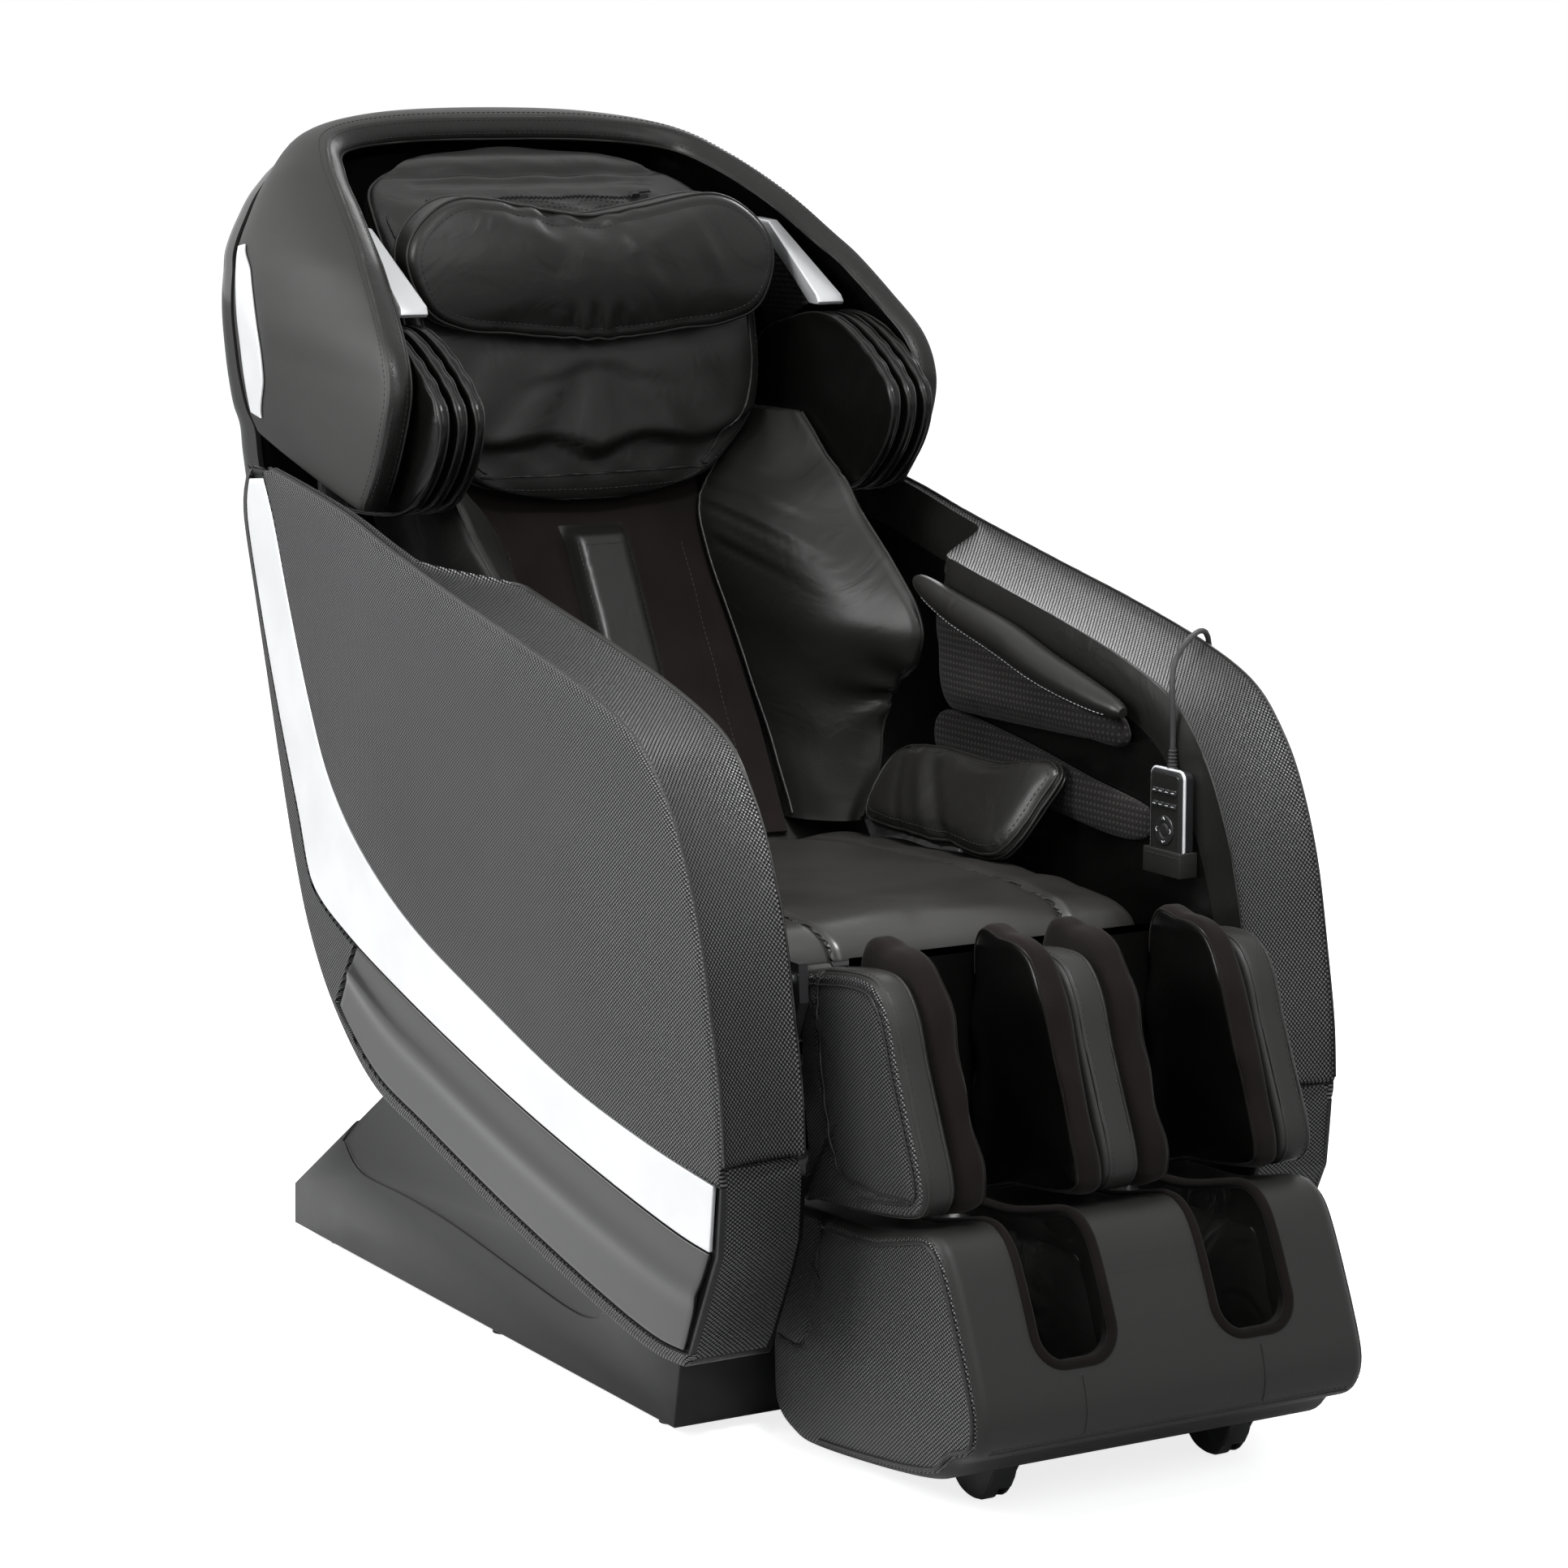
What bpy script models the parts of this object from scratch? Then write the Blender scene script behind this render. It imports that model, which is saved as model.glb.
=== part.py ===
"""Massage chair: construction model of its separate pieces, in metres, +Z up, sitter facing -Y.

The origin is on the floor under the middle of the chair. +X is the sitter's left.
Rails, hinges, rollers and shells are solids at their real size; soft pieces are simple crowned solids.
"""
import math

import bmesh
import bpy
from mathutils import Vector

# ---------------------------------------------------------------- driving dimensions
GAP = 0.0003                # between pieces that touch
FIT = 0.0006                # between a trim plate and its recess, or a pad and its backing
PLAY = 0.0012               # beside hinge plates and wheels
BORE_PLAY = 0.0007          # radial play of a pin or rod in its bore

# pivots, as (y, z)
TILT_PIVOT = (0.120, 0.270)
BACK_PIVOT = (0.270, 0.360)
CALF_PIVOT = (-0.440, 0.478)

TILT_ANGLE = math.radians(18.0)
RECLINE_ANGLE = math.radians(40.0)
CALF_ANGLE = math.radians(85.0)

# half widths
ARM_SEAM_HALF = 0.358       # outer side at its edges
ARM_BULGE = 0.020           # how far the outer side swells in its middle
ARM_INNER_HALF = 0.262      # seat side of the arm
BASE_HALF = 0.300
ARM_SKIRT_HALF = BASE_HALF + 0.006      # inner side beside the base
ARM_REAR_HALF = 0.3475      # inner side beside the backrest
SEAT_HALF = 0.240
CALF_HALF = 0.225
FOOT_HALF = 0.222
SHELL_WALL = 0.028

# arm outlines, as (y, z), each from the rear top to the front
ARM_TOP = [(0.500, 0.8995), (0.400, 0.885), (0.284, 0.865), (0.175, 0.839), (0.011, 0.804),
           (-0.148, 0.772), (-0.276, 0.742), (-0.363, 0.711), (-0.412, 0.670), (-0.447, 0.621),
           (-0.479, 0.546), (-0.501, 0.454), (-0.515, 0.385), (-0.520, 0.322)]
STRIPE_TOP = [(0.512, 0.8995), (0.476, 0.845), (0.431, 0.760), (0.372, 0.659), (0.312, 0.578),
              (0.223, 0.512), (0.100, 0.454), (-0.067, 0.402), (-0.232, 0.354), (-0.384, 0.324),
              (-0.520, 0.305)]
STRIPE_BOTTOM = [(0.538, 0.898), (0.551, 0.868), (0.548, 0.830), (0.509, 0.733), (0.459, 0.630),
                 (0.405, 0.529), (0.376, 0.465), (0.341, 0.439), (0.273, 0.415), (0.187, 0.390),
                 (0.012, 0.344), (-0.145, 0.305), (-0.305, 0.270), (-0.439, 0.245), (-0.513, 0.237)]
ARM_BOTTOM = [(0.553, 0.893), (0.566, 0.862), (0.560, 0.825), (0.529, 0.745), (0.470, 0.592),
              (0.420, 0.471), (0.380, 0.395), (0.319, 0.324), (0.222, 0.257), (0.100, 0.224),
              (-0.087, 0.174), (-0.263, 0.133), (-0.380, 0.113), (-0.452, 0.114)]
ARM_STATIONS = 24
BAND_RISE = 0.010           # the band's inner edge stands this much above the outer seam
TRIM_RECESS = 0.006
TRIM_MARGIN = 0.012

# hood: its front rim as (half width, y, z), from the bottom corner to the top centre
SHELL_RIM = [(0.343, 0.285, 0.870), (0.344, 0.250, 0.912), (0.344, 0.222, 0.965), (0.341, 0.216, 1.005),
             (0.336, 0.236, 1.045), (0.324, 0.282, 1.086), (0.312, 0.334, 1.126), (0.302, 0.371, 1.150),
             (0.284, 0.450, 1.196), (0.259, 0.539, 1.238), (0.220, 0.607, 1.267), (0.130, 0.634, 1.280),
             (0.0, 0.640, 1.283)]
SHELL_REAR = [(0.330, 0.590, 0.936), (0.332, 0.610, 0.960), (0.333, 0.626, 0.995), (0.334, 0.634, 1.030),
              (0.334, 0.640, 1.060), (0.333, 0.642, 1.085), (0.330, 0.644, 1.110), (0.325, 0.647, 1.135),
              (0.308, 0.655, 1.168), (0.280, 0.672, 1.203), (0.230, 0.698, 1.237), (0.130, 0.728, 1.261),
              (0.0, 0.738, 1.268)]
SHELL_CROWN = 0.016         # swell of the hood between its rim and its rear edge
SHELL_LOW_CROWN = (0.20, 0.25, 0.30, 0.40, 0.60, 0.80)   # its share low down, between the arms
SHELL_RIM_DEPTH = 0.027     # width of the rim's front face

# back cover: (z, y of its middle), from the bottom up
COVER_BACK = [(0.420, 0.478), (0.520, 0.580), (0.620, 0.645), (0.720, 0.688), (0.820, 0.718),
              (0.900, 0.737), (0.950, 0.745), (1.000, 0.750), (1.060, 0.754), (1.110, 0.754),
              (1.160, 0.753), (1.200, 0.752), (1.235, 0.749), (1.261, 0.747)]
# its side edge below the hood: (z, half width, y)
COVER_SIDE_LOW = [(0.420, 0.300, 0.425), (0.520, 0.310, 0.455), (0.620, 0.318, 0.490),
                  (0.720, 0.324, 0.525), (0.820, 0.328, 0.558), (0.900, 0.330, 0.582)]
COVER_WALL = 0.006

# backrest surface: a straight run up the roller track
TRACK_FOOT = (0.222, 0.490)              # front of the lining at the seat
TRACK_LEAN = math.radians(29.0)          # from the vertical
LINING_LENGTH = 0.560
LINING_HALF = 0.152
LINING_THICK = 0.006
STRIP_HALF = 0.042
STRIP_THICK = 0.022
ROLLER_RADIUS = 0.026
ROLLER_WIDTH = 0.022
ROLLER_SPACING = 0.110
ARM_X = 0.085                            # massage arms, from the middle
CARRIAGE_HEIGHT = 0.150
CARRIAGE_AT = 0.200                      # along the track, at rest
RAIL_HALF = 0.140                        # inner faces of the two rails
RAIL_WIDTH = 0.022
RAIL_DEPTH = 0.044

PIN_RADIUS = 0.008
PLATE = 0.010                            # hinge plates

SEAT_TOP = 0.500
SEAT_BOTTOM = 0.405
SEAT_FRONT = -0.372
SEAT_REAR = 0.196
RAIL_Z = (0.350, 0.390)
SEAT_RAIL = (0.196, 0.224)               # seat frame rails, |x|

FOOT_TRAVEL = 0.120

PALETTE = {
    "vinyl_weave": ((0.030, 0.030, 0.031), 0.45, 0.0),
    "leather_black": ((0.022, 0.021, 0.021), 0.42, 0.0),
    "suede_brown": ((0.028, 0.020, 0.018), 0.90, 0.0),
    "mesh_black": ((0.020, 0.019, 0.019), 0.80, 0.0),
    "silver_trim": ((0.720, 0.740, 0.750), 0.30, 0.6),
    "gloss_black": ((0.022, 0.020, 0.020), 0.12, 0.0),
    "plastic_black": ((0.030, 0.030, 0.030), 0.50, 0.0),
    "steel_black": ((0.050, 0.050, 0.052), 0.45, 0.6),
    "steel_bright": ((0.560, 0.570, 0.580), 0.25, 1.0),
    "rubber_black": ((0.018, 0.018, 0.018), 0.80, 0.0),
    "motor_grey": ((0.260, 0.270, 0.280), 0.50, 0.2),
    "key_grey": ((0.450, 0.460, 0.470), 0.50, 0.0),
}

SIDES = (("right", -1.0), ("left", 1.0))  # sitter's right is -X


# ---------------------------------------------------------------- scene and materials
def clear_scene():
    for item in list(bpy.data.objects):
        bpy.data.objects.remove(item, do_unlink=True)


def material(slot):
    found = bpy.data.materials.get(slot)
    if found:
        return found
    colour, roughness, metallic = PALETTE[slot]
    made = bpy.data.materials.new(slot)
    made.use_nodes = True
    shader = made.node_tree.nodes["Principled BSDF"]
    shader.inputs["Base Color"].default_value = (*colour, 1.0)
    shader.inputs["Roughness"].default_value = roughness
    shader.inputs["Metallic"].default_value = metallic
    return made


# ---------------------------------------------------------------- curves and outlines
def smooth(points, count, closed=False):
    """Evenly spaced points on a Catmull-Rom curve through the given points."""
    known = [Vector(p) for p in points]
    total = len(known)
    fine = []
    spans = total if closed else total - 1
    for index in range(spans):
        if closed:
            before, start = known[(index - 1) % total], known[index]
            end, after = known[(index + 1) % total], known[(index + 2) % total]
        else:
            start, end = known[index], known[index + 1]
            before = known[index - 1] if index else start * 2 - end
            after = known[index + 2] if index + 2 < total else end * 2 - start
        for step in range(12):
            t = step / 12
            fine.append(0.5 * (2 * start + (end - before) * t
                               + (2 * before - 5 * start + 4 * end - after) * t ** 2
                               + (3 * start - before - 3 * end + after) * t ** 3))
    fine.append(known[0] if closed else known[-1])
    return even(fine, count, closed)


def even(line, count, closed=False):
    """The same polyline, cut into equal lengths."""
    lengths = [0.0]
    for before, after in zip(line, line[1:]):
        lengths.append(lengths[-1] + (after - before).length)
    pieces = count if closed else count - 1
    result = []
    place = 0
    for index in range(count):
        wanted = lengths[-1] * index / pieces
        while place < len(lengths) - 2 and lengths[place + 1] < wanted:
            place += 1
        span = max(lengths[place + 1] - lengths[place], 1e-12)
        result.append(line[place].lerp(line[place + 1], (wanted - lengths[place]) / span))
    return result


def along(line, share):
    """The point at a share of an evenly cut polyline."""
    spot = min(max(share, 0.0), 1.0) * (len(line) - 1)
    index = min(int(spot), len(line) - 2)
    return line[index].lerp(line[index + 1], spot - index)


def lookup(table, key):
    """Straight interpolation in rows whose first value rises."""
    if key <= table[0][0]:
        return table[0][1:]
    for low, high in zip(table, table[1:]):
        if key <= high[0]:
            share = (key - low[0]) / (high[0] - low[0])
            return tuple(a + (b - a) * share for a, b in zip(low[1:], high[1:]))
    return table[-1][1:]


def ease(low, high, value):
    """0 below low, 1 above high, smooth between."""
    share = min(max((value - low) / (high - low), 0.0), 1.0)
    return share * share * (3 - 2 * share)


def area(outline):
    return 0.5 * sum(a[0] * b[1] - b[0] * a[1] for a, b in zip(outline, outline[1:] + outline[:1]))


def anticlockwise(outline):
    return outline if area(outline) > 0 else outline[::-1]


def inset(outline, distance):
    """A closed outline moved inwards along its own normals."""
    moved = []
    total = len(outline)
    for index, point in enumerate(outline):
        before = Vector(outline[index - 1])
        after = Vector(outline[(index + 1) % total])
        first = (Vector(point) - before).normalized()
        second = (after - Vector(point)).normalized()
        normal = Vector((-(first.y + second.y), first.x + second.x))
        if normal.length < 1e-9:
            normal = Vector((-first.y, first.x))
        normal.normalize()
        lean = max(normal.dot(Vector((-first.y, first.x))), 0.5)
        moved.append(Vector(point) + normal * (distance / lean))
    return moved


def rounded_box(low_u, high_u, low_v, high_v, radius, steps=3):
    """Outline of a rectangle with round corners."""
    corners = ((high_u - radius, low_v + radius, -90), (high_u - radius, high_v - radius, 0),
               (low_u + radius, high_v - radius, 90), (low_u + radius, low_v + radius, 180))
    outline = []
    for u, v, start in corners:
        for step in range(steps + 1):
            turn = math.radians(start + 90 * step / steps)
            outline.append(Vector((u + radius * math.cos(turn), v + radius * math.sin(turn))))
    return outline


def circle(centre, radius, sides):
    return [Vector((centre[0] + radius * math.cos(2 * math.pi * i / sides),
                    centre[1] + radius * math.sin(2 * math.pi * i / sides))) for i in range(sides)]


# ---------------------------------------------------------------- solids
def solid(name, points, faces, slot, smooth_angle=None):
    mesh = bpy.data.meshes.new(name)
    mesh.from_pydata([tuple(p) for p in points], [], faces)
    shape = bmesh.new()
    shape.from_mesh(mesh)
    bmesh.ops.recalc_face_normals(shape, faces=shape.faces)
    shape.to_mesh(mesh)
    shape.free()
    if smooth_angle:
        mesh.shade_smooth()
        mesh.set_sharp_from_angle(angle=math.radians(smooth_angle))
    mesh.materials.append(material(slot))
    made = bpy.data.objects.new(name, mesh)
    bpy.context.collection.objects.link(made)
    return made


def loft(name, rings, slot, smooth_angle=40, split=False):
    """A closed solid through closed rings of equal counts, with flat ends; split cuts its faces in two."""
    size = len(rings[0])
    points = [point for ring in rings for point in ring]
    faces = [tuple(range(size))[::-1], tuple(range(size * (len(rings) - 1), size * len(rings)))]
    for level in range(len(rings) - 1):
        low = level * size
        for index in range(size):
            after = (index + 1) % size
            if split:
                faces.append((low + index, low + after, low + size + after))
                faces.append((low + index, low + size + after, low + size + index))
            else:
                faces.append((low + index, low + after, low + size + after, low + size + index))
    return solid(name, points, faces, slot, smooth_angle)


def on_side(u, v, w):
    """Outlines drawn as (y, z), with x across."""
    return Vector((w, u, v))


def on_front(u, v, w):
    """Outlines drawn as (x, z), with y across."""
    return Vector((u, w, v))


def on_floor(u, v, w):
    """Outlines drawn as (x, y), with z across."""
    return Vector((u, v, w))


def prism(name, outline, low, high, slot, place=on_side):
    rings = [[place(p[0], p[1], w) for p in outline] for w in (low, high)]
    return loft(name, rings, slot, 35)


def block(name, low, high, slot="steel_black"):
    outline = [(low[1], low[2]), (high[1], low[2]), (high[1], high[2]), (low[1], high[2])]
    return prism(name, outline, low[0], high[0], slot)


def rod(name, start, end, radius, slot, sides=16):
    start, end = Vector(start), Vector(end)
    axis = (end - start).normalized()
    helper = Vector((0, 0, 1)) if abs(axis.z) < 0.9 else Vector((0, 1, 0))
    across = axis.cross(helper).normalized()
    over = axis.cross(across)
    rings = []
    for centre in (start, end):
        rings.append([centre + across * (radius * math.cos(2 * math.pi * i / sides))
                      + over * (radius * math.sin(2 * math.pi * i / sides)) for i in range(sides)])
    return loft(name, rings, slot, 50)


def pillow(name, outline, low, high, radius, slot, place=on_side, crown=(0.0, 0.0), steps=2):
    """A pad: its outline stays full in the middle, its edges turn in, its two faces may swell."""
    outline = anticlockwise([Vector(p) for p in outline])
    centre = sum(outline, Vector((0, 0))) / len(outline)
    half = []
    for step in range(steps + 1):
        turn = math.radians(90 * step / steps)
        half.append((radius * (1 - math.sin(turn)), radius * (1 - math.cos(turn))))
    rings = []

    def ring(pull, shrink, height):
        drawn = inset(outline, pull) if pull > 1e-6 else outline
        rings.append([place(*(centre + (p - centre) * shrink), height) for p in drawn])

    swell = ((0.35, 1.0), (0.72, 0.62)) if crown[0] else ()
    for shrink, share in swell:
        ring(radius, shrink, low - crown[0] * share)
    for pull, rise in half:
        ring(pull, 1.0, low + rise)
    for pull, rise in half[::-1]:
        ring(pull, 1.0, high - rise)
    swell = ((0.72, 0.62), (0.35, 1.0)) if crown[1] else ()
    for shrink, share in swell:
        ring(radius, shrink, high + crown[1] * share)
    return loft(name, rings, slot, 60)


def combine(target, others, operation):
    """A Boolean of the target with each other solid, which it uses up."""
    for other in others:
        step = target.modifiers.new("combine", "BOOLEAN")
        step.operation = operation
        step.solver = "EXACT"
        step.object = other
        graph = bpy.context.evaluated_depsgraph_get()
        result = bpy.data.meshes.new_from_object(target.evaluated_get(graph))
        target.modifiers.clear()
        result.name = target.name
        target.data = result
        bpy.data.objects.remove(other, do_unlink=True)
    return target


def union(target, others):
    return combine(target, others, "UNION")


def cut(target, others):
    return combine(target, others, "DIFFERENCE")


def turned(point, pivot, angle):
    """A (y, z) point after a turn that takes up to back, as every big joint here does."""
    y, z = point[0] - pivot[0], point[1] - pivot[1]
    return (pivot[0] + y * math.cos(angle) + z * math.sin(angle),
            pivot[1] - y * math.sin(angle) + z * math.cos(angle))


# ---------------------------------------------------------------- arms
def arm_half(y, z):
    """Outer half width of an arm at a place on its side."""
    length_share = max(0.0, 1 - ((y - 0.02) / 0.56) ** 2)
    height_share = max(0.0, 1 - ((z - 0.50) / 0.42) ** 2)
    return ARM_SEAM_HALF + ARM_BULGE * length_share * height_share


def arm_inner(y, z):
    """Inner half width: deep beside the seat, thin beside the base and the backrest."""
    beside_seat = max(1 - ease(-0.405, -0.350, y), ease(0.300, 0.345, z))
    inner = ARM_SKIRT_HALF + (ARM_INNER_HALF - ARM_SKIRT_HALF) * beside_seat
    return inner + (ARM_REAR_HALF - inner) * ease(0.060, 0.140, y)


class ArmSide:
    """The arm's side as a patch: u runs from the rear top to the front, v from the top edge down.

    v is 0 at the top seam, 1 and 2 at the stripe's edges and 3 at the bottom edge.
    """

    def __init__(self):
        outlines = (ARM_TOP, STRIPE_TOP, STRIPE_BOTTOM, ARM_BOTTOM)
        self.lines = [smooth(outline, 97) for outline in outlines]
        length = sum((b - a).length for a, b in zip(self.lines[0], self.lines[0][1:]))
        self.margin = TRIM_MARGIN / length
        inner = [self.margin + (1 - 2 * self.margin) * i / (ARM_STATIONS - 3)
                 for i in range(ARM_STATIONS - 2)]
        self.stations = [0.0] + inner + [1.0]

    def place(self, u, v):
        level = min(int(v), 2)
        return along(self.lines[level], u).lerp(along(self.lines[level + 1], u), v - level)

    def outer(self, u, v, depth=0.0):
        spot = self.place(u, v)
        return Vector((arm_half(spot.x, spot.y) - depth, spot.x, spot.y))

    def inner(self, u, v):
        spot = self.place(u, v)
        return Vector((arm_inner(spot.x, spot.y), spot.x, spot.y))

    def band(self, u, share):
        """The top band: share 0 at the outer seam, 1 at its inner edge."""
        seam = self.outer(u, 0.0)
        ahead = along(self.lines[0], min(u + 0.01, 1.0)) - along(self.lines[0], max(u - 0.01, 0.0))
        outward = Vector((ahead.y, -ahead.x)).normalized()
        inner = arm_inner(seam.y, seam.z)
        width = seam.x - inner
        rise = BAND_RISE * width / (ARM_SEAM_HALF - ARM_INNER_HALF) * math.sin(share * 1.9) * 1.05
        return Vector((seam.x - width * share, seam.y - outward.x * rise, seam.z - outward.y * rise))


LOWER_FROM = 0.44           # where along the arm the gloss lower panel starts
STEP_V = 0.035              # width of a recess's step, as a share of the stripe
BORDER_V = 0.12             # border under the lower panel, as a share of its height


def mirrored(points, side):
    return [Vector((p.x * side, p.y, p.z)) for p in points]


def build_arm(name, side, arm):
    outer_rows = (0.25, 0.5, 0.75, 1.0, 1 + STEP_V, 1.5, 2.0, 2 + 2 * STEP_V, 2.35, 2.65,
                  3 - BORDER_V, 3 - 0.5 * BORDER_V, 3.0)
    inner_rows = (3.0, 2.5, 2.0, 1.3, 0.65, 0.2)
    rings = []
    for index, u in enumerate(arm.stations):
        within = 0 < index < ARM_STATIONS - 1
        ring = [arm.band(u, 1.0), arm.band(u, 0.5), arm.outer(u, 0.0)]
        for v in outer_rows:
            striped = 1.0 < v <= 2.0
            panelled = 2.0 < v <= 3 - BORDER_V and u >= LOWER_FROM
            depth = TRIM_RECESS if within and (striped or panelled) else 0.0
            ring.append(arm.outer(u, v, depth))
        ring += [arm.inner(u, v) for v in inner_rows]
        rings.append(mirrored(ring, side))
    return loft(name, rings, "vinyl_weave", 30)


def build_trim(name, side, arm, first_u, rows, slot):
    """A thin plate that lies in the arm's recess and follows its swell."""
    last_u = 1 - arm.margin
    spots = [u for u in arm.stations if first_u < u < last_u]
    end = arm.margin * 0.15
    spots = [spots[0] + end] + spots[1:] + [last_u - end]
    rings = []
    for u in spots:
        front = [arm.outer(u, v) for v in rows]
        back = [arm.outer(u, v, TRIM_RECESS - 1.5 * FIT) for v in rows[::-1]]
        rings.append(mirrored(front + back, side))
    return loft(name, rings, slot, 30)


def build_arms():
    arm = ArmSide()
    for word, side in SIDES:
        build_arm("side_panel_" + word, side, arm)
        stripe_rows = (1 + 1.6 * STEP_V, 1.5, 2 - 0.9 * STEP_V)
        build_trim("side_stripe_" + word, side, arm, 0.5 * arm.margin, stripe_rows, "silver_trim")
        panel_rows = (2 + 0.5 * STEP_V, 2.35, 2.65, 3 - 1.25 * BORDER_V)
        build_trim("lower_panel_" + word, side, arm, LOWER_FROM, panel_rows, "gloss_black")


ARM_PAD_OUTLINE = [(0.050, 0.768), (-0.090, 0.736), (-0.200, 0.710), (-0.280, 0.684), (-0.300, 0.662),
                   (-0.285, 0.645), (-0.150, 0.640), (-0.010, 0.640), (0.045, 0.650), (0.062, 0.700)]
ARM_PAD_THICK = 0.022
ARM_PAD_CROWN = 0.012
HIP_WING_FOOT = (0.172, 0.5168)           # (x, z) of its lower edge
HIP_WING_LEAN = math.radians(32.0)
HIP_WING_OUTLINE = [(-0.165, 0.004), (-0.060, 0.000), (0.060, 0.000), (0.112, 0.012), (0.122, 0.060),
                    (0.100, 0.098), (0.020, 0.112), (-0.080, 0.110), (-0.165, 0.122), (-0.198, 0.112),
                    (-0.196, 0.080)]
HIP_WING_THICK = 0.024


def build_side_pads():
    for word, side in SIDES:
        def on_arm(u, v, w, side=side):
            return Vector((side * (ARM_INNER_HALF - GAP - w), u, v))

        def on_wing(u, v, w, side=side):
            x = HIP_WING_FOOT[0] + v * math.sin(HIP_WING_LEAN) + w * math.cos(HIP_WING_LEAN)
            z = HIP_WING_FOOT[1] + v * math.cos(HIP_WING_LEAN) - w * math.sin(HIP_WING_LEAN)
            return Vector((side * x, u, z))

        pillow("arm_pad_" + word, smooth(ARM_PAD_OUTLINE, 22, True), 0.0, ARM_PAD_THICK, 0.010,
               "mesh_black", on_arm, (0.0, ARM_PAD_CROWN), 1)
        pillow("hip_wing_" + word, smooth(HIP_WING_OUTLINE, 22, True), 0.0, HIP_WING_THICK, 0.009,
               "leather_black", on_wing, (0.006, 0.0), 1)


# ---------------------------------------------------------------- seat
SEAT_SEAM_X = 0.131
SEAT_SEAM_DEPTH = 0.007
SEAT_PROFILE = [(SEAT_REAR, SEAT_BOTTOM), (SEAT_FRONT + 0.020, SEAT_BOTTOM),
                (SEAT_FRONT + 0.004, SEAT_BOTTOM + 0.018), (SEAT_FRONT, SEAT_TOP - 0.030),
                (SEAT_FRONT + 0.010, SEAT_TOP - 0.010), (SEAT_FRONT + 0.045, SEAT_TOP),
                (-0.240, SEAT_TOP + 0.006), (-0.100, SEAT_TOP + 0.006), (0.050, SEAT_TOP - 0.001),
                (SEAT_REAR, SEAT_TOP - 0.009)]


def build_seat_cushion():
    seam_half = 0.008
    edges = ((SEAT_HALF, 0.020, 0.0), (SEAT_HALF - 0.006, 0.008, 0.0), (SEAT_HALF - 0.022, 0.0, 0.0),
             (SEAT_SEAM_X + seam_half, 0.0, 0.0), (SEAT_SEAM_X, 0.0, SEAT_SEAM_DEPTH),
             (SEAT_SEAM_X - seam_half, 0.0, 0.0), (0.060, 0.0, -0.002), (0.0, 0.0, -0.003))
    rings = []
    for x, drawn, dip in [(-x, d, s) for x, d, s in edges] + list(edges[-2::-1]):
        ring = []
        for index, (y, z) in enumerate(SEAT_PROFILE):
            on_top = index >= 4
            front = index in (1, 2, 3, 4)
            ring.append(Vector((x, y + (drawn if front else 0.0),
                                z - (drawn + dip if on_top else 0.0))))
        rings.append(ring)
    return loft("seat_cushion", rings, "leather_black", 50)


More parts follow.
